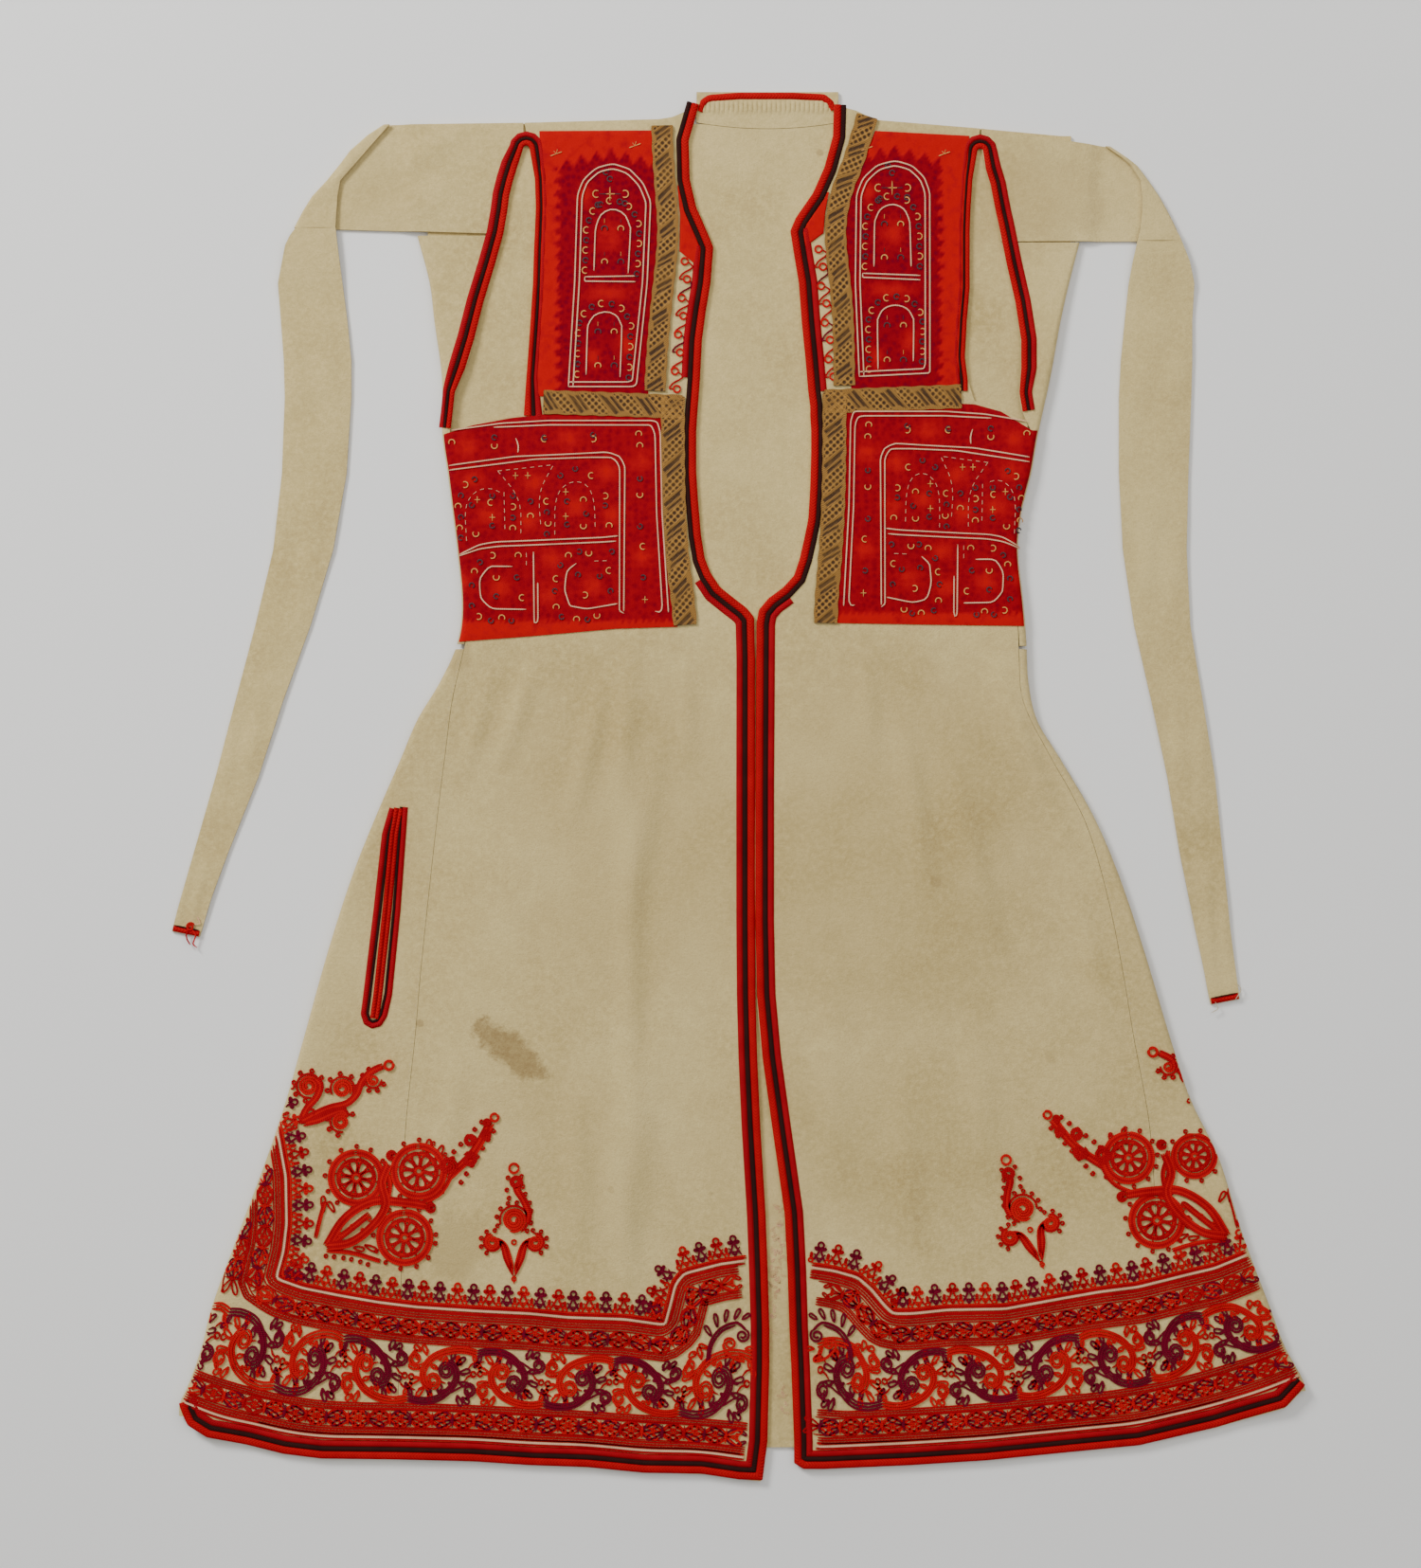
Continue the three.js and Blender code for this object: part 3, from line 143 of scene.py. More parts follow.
# Height, then the left and right gore seams on the front and the same on the underside.
GORE_SEAMS = (
    (101, -202, 206.8, -202, 206.8), (63, -210.7, 210, -206, 203), (21, -216.3, 230.6, -211, 203),
    (-7, -220, 246.6, -214, 205), (-35, -223.3, 259.3, -217, 208), (-87, -229, 273.7, -222, 214),
    (-140, -234.5, 284.2, -227, 220), (-182, -238, 291.2, -231, 226),
    (-259, -245.7, 304.5, -238, 236), (-380, -249, 310, -246, 250), (-500, -252, 314, -250, 262),
)
WRAP_EDGES = (
    (406, -173.6, 193.9), (385, -179.2, 198.1), (357, -187.6, 204.4), (329, -194.6, 208.6),
    (308, -200.9, 208.6), (290, -208.6, 207.2), (276, -210, 209.5), (262, -212.3, 215.8),
)
HEM = (
    (-412.3, -455), (-405.3, -470.4), (-391.3, -479.5), (-363.3, -485.1), (-335.3, -492.1),
    (-307.3, -495.6), (-251.3, -496.3), (-195.3, -497.7), (-153.3, -500.5), (-111.3, -501.9),
    (-69.3, -506.1), (-27.3, -506.8), (0.7, -511), (16.8, -512.4), (41.3, -499), (48.3, -503.3),
    (63.7, -503.3), (126.7, -500.5), (182.7, -497), (238.7, -491.4), (296.1, -485.8),
    (352.8, -472.5), (403.2, -457.1), (417.9, -441),
)
BACK_HEM = ((-150, -490), (0, -488), (150, -487))
# Rows of each front above the waist: the opening's X and Y, then the armhole's or side seam's.
# A row of three numbers ends on the side seam.
BODICE = {
    Side.LEFT: (
        (-28.7, 502.6, -157.5, 489.3), (-36.4, 476, -154, 472.5), (-35.7, 448, -149.8, 448),
        (-30.8, 427, -149.1, 427), (-23.1, 409.5, -149.8, 409.5), (-18.2, 397.6, -150.5, 395.5),
        (-20.3, 371, -151.2, 371), (-23.8, 350, -152.6, 350), (-26.6, 329, -154, 329),
        (-28, 301, -156.1, 301), (-30.1, 273, -158.2, 275.1), (-30.8, 262.5, -181.3, 268.8),
        (-30.8, 252, -206, 262), (-30.8, 231, 238), (-29.4, 210, 210), (-27.3, 185.5, 184),
        (-24.5, 168, 162), (-20.3, 157.5, 147), (-13.3, 147, 136), (-2.8, 138.6, 127),
        (6.3, 131.6, 118), (11.9, 124.6, 111),
    ),
    Side.RIGHT: (
        (70.7, 502.6, 178.5, 485.1), (70, 479.5, 176.4, 469), (63.7, 456.4, 172.9, 448),
        (55.3, 437.5, 171.5, 427), (42.7, 419.3, 170.8, 409.5), (38.5, 409.5, 170.8, 397.6),
        (41.3, 392, 170.8, 385), (44.8, 371, 170.8, 367.5), (46.9, 343, 168.7, 343),
        (49.7, 315, 167.3, 316.4), (51.8, 290.5, 169.4, 299.6), (53.2, 280, 174.3, 284.2),
        (53.2, 273, 193.9, 277.5), (53.9, 262.5, 213, 267), (53.9, 245, 245), (53.2, 220.5, 220),
        (51.8, 197.4, 196), (49, 183.4, 181), (45.5, 168, 166), (41.3, 155.4, 153),
        (32.9, 146.3, 142), (22.4, 138.6, 132), (15.4, 130.2, 121), (13.6, 120.4, 112),
    ),
}
SHOULDER_EDGES = {
    Side.LEFT: ((-157.5, 489.3), (-52, 492.1), (-40, 497), (-28.7, 502.6)),
    Side.RIGHT: ((70.7, 502.6), (88, 498), (101.5, 491.4), (178.5, 485.1)),
}
# Where the sleeves fold over: height, fold, lip of the hanging part, armhole X and Y.
SLEEVE_FOLDS = {
    Side.LEFT: (
        (488, -261.8, -256.9, -158.3, 489.3), (480.2, -273.7, -263.9, -158.3, 480.2),
        (469, -286.3, -273.7, -159.6, 469), (457.8, -294.7, -283.5, -162.4, 457.8),
        (446.6, -303.8, -293.3, -165.9, 446.6), (435.4, -314.3, -295.4, -168.7, 435.4),
        (424.2, -321.3, -296.1, -170.1, 424.2), (412, -327.6, -296.8, -173, 407.4),
    ),
    Side.RIGHT: (
        (471.8, 275.1, 270.9, 179.3, 485.1), (463.4, 287.7, 283, 180, 468),
        (457.8, 294.7, 289.5, 182.7, 455), (446.6, 303.1, 296.8, 186.2, 443.8),
        (435.4, 310.8, 298.2, 188.3, 432.6), (424.2, 317.1, 298.2, 190.4, 422.1),
        (413, 322.7, 296.8, 192.5, 413), (402.5, 326.9, 294.7, 194.2, 401.8),
    ),
}
# Hanging part of each sleeve: height, outer edge and inner edge.
SLEEVE_STRIPS = {
    Side.LEFT: (
        (424.2, -321.3, -296.1), (412, -327.6, -296.8), (399, -333.9, -295.4),
        (371, -339.5, -291.9), (343, -337.4, -288.4), (315, -335.3, -285.6),
        (287, -334.6, -285.6), (231, -336.7, -289.1), (175, -343, -298.9), (119, -356.3, -315.7),
        (63, -371, -336), (7, -385.7, -354.2), (-49, -401.8, -376.6), (-91, -413.7, -392),
        (-107, -417.9, -397.5),
    ),
    Side.RIGHT: (
        (413, 322.7, 296.8), (402.5, 326.9, 294.7), (387, 333.2, 291.2), (371, 336.7, 288.4),
        (343, 335.3, 285.6), (315, 335.3, 282.8), (287, 334.6, 281.4), (231, 332.5, 281.4),
        (175, 331.1, 284.2), (119, 333.9, 292.6), (63, 343, 305.2), (7, 352.1, 317.1),
        (-49, 357.7, 326.2), (-105, 363.3, 337.4), (-157, 370.3, 349),
    ),
}
# Soft ridges and troughs: X at the top, lean, top, bottom, half width and height.
CREASES = (
    (-100, 0.08, -200, -352, 44, 1.3), (-80, -0.1, 90, -150, 48, 1.5),
    (150, 0.12, 60, -210, 50, 1.6), (215, 0.25, -90, -320, 44, 1.2),
    (-170, -0.2, -20, -300, 46, 1.2),
)
# The same, finer: the puckers under the waist and at the seams.
PUCKERS = (
    (-80, 0.0, 130, -400, 14, 4.2), (-84, -0.05, 85, -30, 12, 2.4),
    (-122, 0.05, -215, -345, 15, 3.8), (-93, 0.1, -235, -372, 12, 3.3),
    (-66, -0.06, -180, -330, 17, 2.8), (-98, -0.22, 85, -40, 13, 3.3),
    (-62, -0.1, 40, -95, 15, 3.0), (-40, 0.04, 98, 10, 11, 2.3), (-150, -0.3, 95, 10, 12, 2.8),
    (-182, -0.24, 90, 0, 10, 2.3), (118, 0.16, 60, -90, 14, 3.5), (153, 0.24, 30, -130, 16, 3.3),
    (92, 0.08, 105, 20, 12, 2.3), (186, 0.34, 100, -20, 12, 3.0), (201, 0.42, 60, -60, 9, 2.6),
    (244, 0.26, -60, -190, 12, 2.6), (172, 0.1, -160, -300, 18, 2.6),
    (120, 0.06, -210, -345, 16, 2.3), (66, 0.04, -120, -300, 20, 2.0),
    (-205, -0.12, -190, -330, 14, 2.3), (-235, -0.2, -240, -350, 12, 1.7),
)


@dataclass(frozen=True)
class Profile:
    """Values tabulated along one direction."""

    keys: tuple[float, ...]
    values: tuple[float, ...]

    @classmethod
    def column(cls, rows: Iterable[Row], index: int = 1) -> "Profile":
        """Takes one column of a table.

        Args:
            rows: rows whose first number is the key.
            index: place of the value in each row.

        Returns:
            The column, in order of its keys.
        """
        ordered = sorted(rows)
        return cls(tuple(row[0] for row in ordered), tuple(row[index] for row in ordered))

    def straight(self, at: np.ndarray) -> np.ndarray:
        """Value on the straight lines between the rows."""
        return np.interp(at, self.keys, self.values)

    def smooth(self, at: np.ndarray) -> np.ndarray:
        """Value on a smooth curve through the rows.

        Args:
            at: one key or an array of them.

        Returns:
            The values there, held at the ends.
        """
        keys = np.array(self.keys, float)
        values = np.array(self.values, float)
        place = np.clip(np.asarray(at, float), keys[0], keys[-1])
        first = np.clip(np.searchsorted(keys, place) - 1, 0, len(keys) - 2)
        before = np.maximum(np.arange(len(keys)) - 1, 0)
        after = np.minimum(np.arange(len(keys)) + 1, len(keys) - 1)
        slopes = (values[after] - values[before]) / (keys[after] - keys[before])
        step = keys[first + 1] - keys[first]
        t = (place - keys[first]) / step
        a, b = values[first], values[first + 1]
        near, far = slopes[first] * step, slopes[first + 1] * step
        return a + near * t + (3 * (b - a) - 2 * near - far) * t**2 + (2 * (a - b) + near + far) * t**3


def mix(a: float, b: float, t: float) -> float:
    """Value a share t of the way from a to b."""
    return a + (b - a) * t


def ease(t: np.ndarray) -> np.ndarray:
    """Soft step from 0 to 1."""
    held = np.clip(t, 0, 1)
    return held * held * (3 - 2 * held)


@dataclass(frozen=True)
class CoatShape:
    """Where every layer of the coat lies."""

    cloth: float = 2.2
    seam: float = 0.3
    flat_fold: float = 1.25
    side_seam: float = 6.0
    fold_turns: int = 9
    fold_ease: float = 55.0
    waist: float = 101.0
    shoulder: float = 406.0
    half_length: float = 512.4
    sides: dict = field(default_factory=lambda: {s: Profile.column(SIDES, s.column) for s in Side})
    edges: dict = field(default_factory=lambda: {s: Profile.column(FRONT_EDGES, s.column) for s in Side})
    radii: Profile = field(default_factory=lambda: Profile.column(FOLD_RADII))
    hem: Profile = field(default_factory=lambda: Profile.column(HEM))

    def side_fold(self, side: Side, y: np.ndarray) -> np.ndarray:
        """X of a side fold at a height."""
        return self.sides[side].smooth(y)

    def fold_radius(self, y: np.ndarray) -> np.ndarray:
        """Middle radius of the side folds at a height."""
        return self.radii.straight(y)

    def front_edge(self, side: Side, y: np.ndarray) -> np.ndarray:
        """X of a front's edge below the neck opening."""
        return self.edges[side].smooth(y)

    def turn_x(self, side: Side, y: float) -> float:
        """X where the cloth starts to turn round a side fold."""
        return float(self.side_fold(side, y)) + side.into * (float(self.fold_radius(y)) + self.cloth / 2)

    def inset(self, x: np.ndarray, y: np.ndarray) -> np.ndarray:
        """Distance in from the nearer side fold, along X."""
        return np.minimum(x - self.side_fold(Side.LEFT, y), self.side_fold(Side.RIGHT, y) - x)

    def ridges(self, x: np.ndarray, y: np.ndarray) -> np.ndarray:
        """Height that the soft creases add.

        Args:
            x: places across the coat.
            y: places along it.

        Returns:
            The added height at each place.
        """
        height = np.zeros(np.broadcast(x, y).shape)
        for at, lean, top, bottom, half, rise in CREASES + PUCKERS:
            along = np.clip((top - y) / (top - bottom), 0, 1)
            across = np.clip((x - at - lean * (top - y)) / half, -1, 1)
            height += rise * np.sin(np.pi * along) * np.cos(np.pi * across / 2) ** 2
        return height

    def middle(self, x: np.ndarray, y: np.ndarray) -> np.ndarray:
        """Middle of the upper layer of cloth."""
        radius = self.fold_radius(y)
        settled = np.clip((self.inset(x, y) - radius) / self.fold_ease, 0, 1)
        rise = (radius - self.flat_fold) * (1 + np.cos(np.pi * settled))
        return self.cloth / 2 + 2 * self.flat_fold + rise + self.ridges(x, y)

    def top(self, x: np.ndarray, y: np.ndarray) -> np.ndarray:
        """Upper face of the coat, turning down round its side folds.

        Args:
            x: places across the coat.
            y: places along it.

        Returns:
            The height of the cloth's face at each place.
        """
        outer = self.fold_radius(y) + self.cloth / 2
        inset = self.inset(x, y)
        short = np.clip(outer - inset, 0, outer)
        drop = outer - np.sqrt(np.maximum(outer**2 - short**2, 0))
        return self.middle(x, y) + self.cloth / 2 - np.where(inset < outer, drop, 0)

    def gore_seam(self, index: int, rows: int) -> Path:
        """Points down a seam of a gore.

        Args:
            index: column of the seam in the table.
            rows: number of steps from the waist to the hem.

        Returns:
            The points of the seam.
        """
        seam = Profile.column(GORE_SEAMS, index)
        foot = self.hem.straight(seam.smooth(-500))
        y = np.linspace(self.waist, foot, rows + 1)
        return np.stack([seam.smooth(y), y], axis=1)


SHAPE = CoatShape()


def build_object(name: str, parts: Sequence[Part], finish: "Finish", slot: str,
                 nodes: Sequence[str] | None = None, layer: str = "") -> bpy.types.Object:
    """Makes a smooth mesh object of closed parts and puts it on the coat.

    Args:
        name: name of the piece.
        parts: for each part its points in millimetres, its groups of faces and its values in the layer.
        finish: its finish.
        slot: its material slot in the record; not used.
        nodes: solids whose place it takes, or None for a piece that only lies on others.
        layer: LENGTHWISE or TINT where the parts have values, which the finish reads.

    Returns:
        The new object.
    """
    starts = np.cumsum([0] + [len(part[0]) for part in parts])
    faces = [np.concatenate([part[1][k] + start for part, start in zip(parts, starts)])
             for k in range(len(parts[0][1]))]
    points = np.concatenate([part[0] for part in parts])
    corners = np.concatenate([group.ravel() for group in faces]).astype(np.int32)
    counts = np.concatenate([np.full(len(group), group.shape[1], np.int32) for group in faces])
    mesh = bpy.data.meshes.new(name)
    mesh.vertices.add(len(points))
    mesh.vertices.foreach_set("co", (points.astype(np.float32) * MM).ravel())
    mesh.loops.add(len(corners))
    mesh.loops.foreach_set("vertex_index", corners)
    mesh.polygons.add(len(counts))
    mesh.polygons.foreach_set("loop_start", (np.cumsum(counts) - counts).astype(np.int32))
    if layer:
        values = np.concatenate([part[2] for part in parts]).astype(np.float32)
        if layer == LENGTHWISE:
            mesh.uv_layers.new(name=layer).uv.foreach_set("vector", values[corners].ravel())
        else:
            mesh.attributes.new(layer, "FLOAT", "POINT").data.foreach_set("value", values)
    mesh.update(calc_edges=True)
    mesh.validate()
    mesh.polygons.foreach_set("use_smooth", np.ones(len(mesh.polygons), bool))
    mesh.set_sharp_from_angle(angle=math.radians(62))
    mesh.materials.append(material_of(finish))
    piece = bpy.data.objects.new(name, mesh)
    bpy.context.scene.collection.objects.link(piece)
    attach(piece, "root")
    if nodes is not None:
        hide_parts(*nodes)
    return piece


def wall(outer: np.ndarray, inner: np.ndarray) -> Part:
    """Closes two grids of points into one wall.

    Args:
        outer: rows and columns of points on the face seen from above.
        inner: the same for the face below.

    Returns:
        The points, and the quads with their faces turned outwards.
    """
    rows, columns = outer.shape[:2]
    points = np.concatenate([outer.reshape(-1, 3), inner.reshape(-1, 3)])
    index = np.arange(rows * columns).reshape(rows, columns)
    below = index + rows * columns

    def quads(grid: np.ndarray) -> np.ndarray:
        """Quads between neighbouring points of a grid."""
        corners = [grid[:-1, :-1], grid[:-1, 1:], grid[1:, 1:], grid[1:, :-1]]
        return np.stack(corners, axis=-1).reshape(-1, 4)

    def rim(edge: np.ndarray, under: np.ndarray) -> np.ndarray:
        """Quads down from an edge of the upper face to the lower one."""
        return np.stack([edge[:-1], under[:-1], under[1:], edge[1:]], axis=-1)

    faces = np.concatenate([
        quads(index), quads(below)[:, ::-1],
        rim(index[0], below[0]), rim(index[-1], below[-1])[:, ::-1],
        rim(index[:, 0], below[:, 0])[:, ::-1], rim(index[:, -1], below[:, -1]),
    ])
    a, b, c, d = (points[faces[:, k]] for k in range(4))
    volume = np.einsum("ij,ij->i", a, np.cross(b, c)) + np.einsum("ij,ij->i", a, np.cross(c, d))
    return points, [faces if volume.sum() > 0 else faces[:, ::-1]]


def slab(plan: np.ndarray, upper: np.ndarray, lower: np.ndarray) -> Part:
    """Wall between two heights over the same plan points."""
    return wall(stack_heights(plan, upper), stack_heights(plan, lower))


def stack_heights(plan: np.ndarray, heights: np.ndarray) -> np.ndarray:
    """Plan points with a height each."""
    return np.concatenate([plan, heights[..., None]], axis=-1)


def dense(rows: np.ndarray, step: float) -> np.ndarray:
    """Adds rows to a grid until neighbouring rows are no more than a step apart.

    Args:
        rows: a grid of points, rows first.
        step: the largest distance left between rows.

    Returns:
        The finer grid.
    """
    gaps = np.linalg.norm(np.diff(rows, axis=0), axis=-1).max(axis=1)
    parts = []
    for i, gap in enumerate(gaps):
        count = max(1, math.ceil(gap / step))
        shares = np.arange(count).reshape((-1,) + (1,) * (rows.ndim - 1)) / count
        parts.append(rows[i] * (1 - shares) + rows[i + 1] * shares)
    parts.append(rows[-1:])
    return np.concatenate(parts)


def lengths(path: Path) -> np.ndarray:
    """Distance along a path at each of its points."""
    return np.concatenate([[0], np.cumsum(np.linalg.norm(np.diff(path, axis=0), axis=1))])


def along(path: Path, step: float) -> Path:
    """Points a step apart along a path, its ends among them.

    Args:
        path: the path's points.
        step: the distance wanted.

    Returns:
        The new points.
    """
    path = np.asarray(path, float)
    run = lengths(path)
    at = np.linspace(0, run[-1], max(2, round(run[-1] / step) + 1))
    return np.stack([np.interp(at, run, path[:, k]) for k in range(path.shape[1])], axis=1)


def soften(rows: np.ndarray, passes: int = 2) -> np.ndarray:
    """Cuts the corners of a row of points, or of a grid's rows, a few times."""
    for _ in range(passes):
        a, b = rows[:-1], rows[1:]
        cut = np.stack([0.75 * a + 0.25 * b, 0.25 * a + 0.75 * b], axis=1).reshape(-1, *rows.shape[1:])
        rows = np.concatenate([rows[:1], cut, rows[-1:]])
    return rows


def rounded(path: Path, step: float = 2.0, passes: int = 2) -> Path:
    """Path with its corners worn round, as points a step apart."""
    return along(soften(np.asarray(path, float), passes), step)


def normals(path: Path) -> np.ndarray:
    """Unit vectors to the left of a path at each point."""
    step = np.gradient(path, axis=0)
    step /= np.maximum(np.linalg.norm(step, axis=1, keepdims=True), 1e-9)
    return np.stack([-step[:, 1], step[:, 0]], axis=1)


def offset(path: Path, distance: float, turn: int = 1, reach: Optional[np.ndarray] = None) -> Path:
    """Path moved sideways, with mitred corners.

    Args:
        path: the path's points.
        distance: how far it moves.
        turn: 1 to its right and -1 to its left.
        reach: a factor on the distance at each point.

    Returns:
        The moved path.
    """
    step = np.diff(path, axis=0)
    step /= np.maximum(np.linalg.norm(step, axis=1, keepdims=True), 1e-9)
    side = turn * np.stack([step[:, 1], -step[:, 0]], axis=1)
    total = np.concatenate([side[:1], side]) + np.concatenate([side, side[-1:]])
    square = np.maximum((total**2).sum(axis=1, keepdims=True) / 2, 0.6)
    factor = np.ones(len(path)) if reach is None else reach
    return path + total * (distance * factor)[:, None] / square


# ---- Finishes ----


class Nodes:
    """Node tree of one finish, built step by step."""

    def __init__(self, name: str) -> None:
        """Starts a material with one shader."""
        self.material = bpy.data.materials.new(name)
        self.material.use_nodes = True
        self.tree = self.material.node_tree
        self.tree.nodes.clear()
        self.shader = self.tree.nodes.new("ShaderNodeBsdfPrincipled")
        output = self.tree.nodes.new("ShaderNodeOutputMaterial")
        self.tree.links.new(self.shader.outputs[0], output.inputs["Surface"])

    def add(self, kind: str, inputs: dict, **settings: object) -> bpy.types.Node:
        """Adds a node.

        Args:
            kind: the node's type.
            inputs: a value or a socket for each input, by name or place.
            settings: the node's own settings.

        Returns:
            The node.
        """
        node = self.tree.nodes.new(kind)
        for key, value in settings.items():
            setattr(node, key, value)
        for key, value in inputs.items():
            if isinstance(value, bpy.types.NodeSocket):
                self.tree.links.new(value, node.inputs[key])
            else:
                node.inputs[key].default_value = value
        return node

    def place(self) -> bpy.types.NodeSocket:
        """Place on the coat, in metres."""
        return self.add("ShaderNodeTexCoord", {}).outputs["Object"]

    def uv(self) -> bpy.types.NodeSocket:
        """Place along and across a band, in millimetres."""
        return self.add("ShaderNodeUVMap", {}, uv_map="lengthwise").outputs["UV"]

    def tint(self) -> bpy.types.NodeSocket:
        """The number that the mesh carries at each point."""
        return self.add("ShaderNodeAttribute", {}, attribute_name="tint").outputs["Fac"]

    def noise(self, where: bpy.types.NodeSocket, scale: float, detail: float = 3.0,
              roughness: float = 0.55) -> bpy.types.NodeSocket:
        """Soft noise from 0 to 1."""
        return self.add("ShaderNodeTexNoise", {
            "Vector": where, "Scale": scale, "Detail": detail, "Roughness": roughness,
        }).outputs["Fac"]

    def ramp(self, value: bpy.types.NodeSocket, low: float, high: float,
             start: float = 0.0, end: float = 1.0) -> bpy.types.NodeSocket:
        """Value spread from one range to another, held at its ends."""
        return self.add("ShaderNodeMapRange", {
            "Value": value, "From Min": low, "From Max": high, "To Min": start, "To Max": end,
        }).outputs["Result"]

    def math(self, operation: str, a: object, b: object = 0.0) -> bpy.types.NodeSocket:
        """Sum, product or other function of two numbers."""
        return self.add("ShaderNodeMath", {0: a, 1: b}, operation=operation).outputs[0]

    def blend(self, share: object, a: object, b: object) -> bpy.types.NodeSocket:
        """Colour between two colours.

        Args:
            share: 0 for the first and 1 for the second.
            a: first colour or socket.
            b: second colour or socket.

        Returns:
            The colour's socket.
        """
        first = (*a, 1.0) if isinstance(a, tuple) else a
        second = (*b, 1.0) if isinstance(b, tuple) else b
        return self.add("ShaderNodeMix", {0: share, 6: first, 7: second}, data_type="RGBA").outputs[2]

    def relief(self, height: bpy.types.NodeSocket, depth: float, strength: float = 1.0,
               onto: Optional[bpy.types.NodeSocket] = None) -> bpy.types.NodeSocket:
        """Bump in millimetres, over another one where there is one."""
        inputs = {"Height": height, "Distance": depth * MM, "Strength": strength}
        if onto is not None:
            inputs["Normal"] = onto
        return self.add("ShaderNodeBump", inputs).outputs["Normal"]

    def finish(self, colour: object, roughness: object, normal: Optional[bpy.types.NodeSocket] = None,
               **uniform: object) -> bpy.types.Material:
        """Sets the shader.

        Args:
            colour: its colour or socket.
            roughness: its roughness or socket.
            normal: its bump.
            uniform: values of other inputs, with underscores for spaces.

        Returns:
            The material.
        """
        sockets = {"Base Color": colour, "Roughness": roughness}
        if normal is not None:
            sockets["Normal"] = normal
        for key, value in sockets.items():
            if isinstance(value, bpy.types.NodeSocket):
                self.tree.links.new(value, self.shader.inputs[key])
            else:
                self.shader.inputs[key].default_value = (*value, 1.0) if isinstance(value,
                                                                                    tuple) else value
        for key, value in uniform.items():
            self.shader.inputs[key.replace("_", " ")].default_value = value
        return self.material


@dataclass(frozen=True)
class Mark:
    """A stain, or a broad patch of painted shade: its place, half sizes, tilt in degrees and strength."""

    x: float
    y: float
    wide: float
    tall: float
    tilt: float
    strength: float


MARKS = (
    Mark(-169, -194, 33, 12.5, -38, 0.85), Mark(145.6, -70, 5, 5, 0, 0.5),
    Mark(-235, -175, 3.5, 3, 0, 0.6), Mark(230, -200, 4, 6, 30, 0.28),
    Mark(-94, -297, 3, 3, 0, 0.35), Mark(60, 468, 3, 3, 0, 0.5), Mark(-208, -338, 30, 24, 20, 0.3),
    Mark(52, -246, 6, 5, 0, 0.25), Mark(132, -318, 3, 3, 0, 0.35), Mark(-205, 98, 9, 16, 0, 0.35),
    Mark(-20, -300, 2, 2, 0, 0.3), Mark(-262, -342, 18, 26, 60, 0.2),
    # Broad weak patches from here on darken wide areas, most of all the middle of the skirt between the
    # folds: partly dirt, partly painted shade.
    Mark(-70, -30, 120, 150, 10, 0.16), Mark(110, -40, 130, 170, -8, 0.17),
    Mark(90, -260, 150, 70, 0, 0.10),
    Mark(215, 430, 60, 40, 10, 0.18), Mark(-120, -270, 90, 60, -20, 0.10),
    Mark(-262, 440, 30, 30, 0, 0.10),
)


@dataclass(frozen=True)
class FulledWool:
    """Thick felted wool, undyed, with real dirt and stains and broad painted shade over the middle of the
    skirt.
    """

    name: str = "fulled_wool"
    pale: Colour = (0.595, 0.470, 0.212)
    deep: Colour = (0.400, 0.295, 0.112)
    dirt_and_shade: Colour = (0.235, 0.150, 0.055)
    marked: bool = True

    def build(self) -> bpy.types.Material:
        """Makes the material.

        Returns:
            The finished material.
        """
        n = Nodes(self.name)
        where = n.place()
        cloudy = n.noise(where, 9.0, 4.0)
        flecks = n.noise(where, 260.0, 4.0, 0.7)
        fibres = n.noise(where, 900.0, 3.0, 0.75)
        colour = n.blend(n.ramp(cloudy, 0.3, 0.72), self.pale, self.deep)
        light = tuple(min(1.0, c * 1.10) for c in self.pale)
        colour = n.blend(n.ramp(flecks, 0.40, 0.70, 0.0, 0.65), colour, light)
        colour = n.blend(n.ramp(fibres, 0.50, 0.72, 0.0, 0.60), colour, self.deep)
        # Stains and dirt, and broad patches of painted shade, all in one darker colour.
        if self.marked:
            ragged = n.noise(where, 95.0, 5.0, 0.7)
            total = None
            for mark in MARKS:
                turned = n.add("ShaderNodeMapping", {
                    0: where, 1: (mark.x * MM, mark.y * MM, 0.0), 2: (0.0, 0.0, math.radians(mark.tilt)),
                    3: (mark.wide * MM, mark.tall * MM, 1.0),
                }, vector_type="TEXTURE").outputs[0]
                far = n.add("ShaderNodeVectorMath", {0: turned}, operation="LENGTH").outputs["Value"]
                edge = n.math("ADD", far, n.ramp(ragged, 0.25, 0.75, -0.5, 0.5))
                patch = n.ramp(edge, 0.72, 1.12, mark.strength, 0.0)
                total = patch if total is None else n.math("MAXIMUM", total, patch)
            blotch = n.math("MULTIPLY", total, n.ramp(flecks, 0.3, 0.62, 0.55, 1.0))
            colour = n.blend(blotch, colour, self.dirt_and_shade)
        nap = n.relief(n.noise(where, 420.0, 4.0, 0.7), 0.85, 0.7)
        nap = n.relief(fibres, 0.22, 0.5, nap)
        return n.finish(colour, 0.96, nap, Sheen_Weight=0.14, Sheen_Roughness=0.6,
                        Sheen_Tint=(0.95, 0.88, 0.70, 1.0), Specular_IOR_Level=0.12)


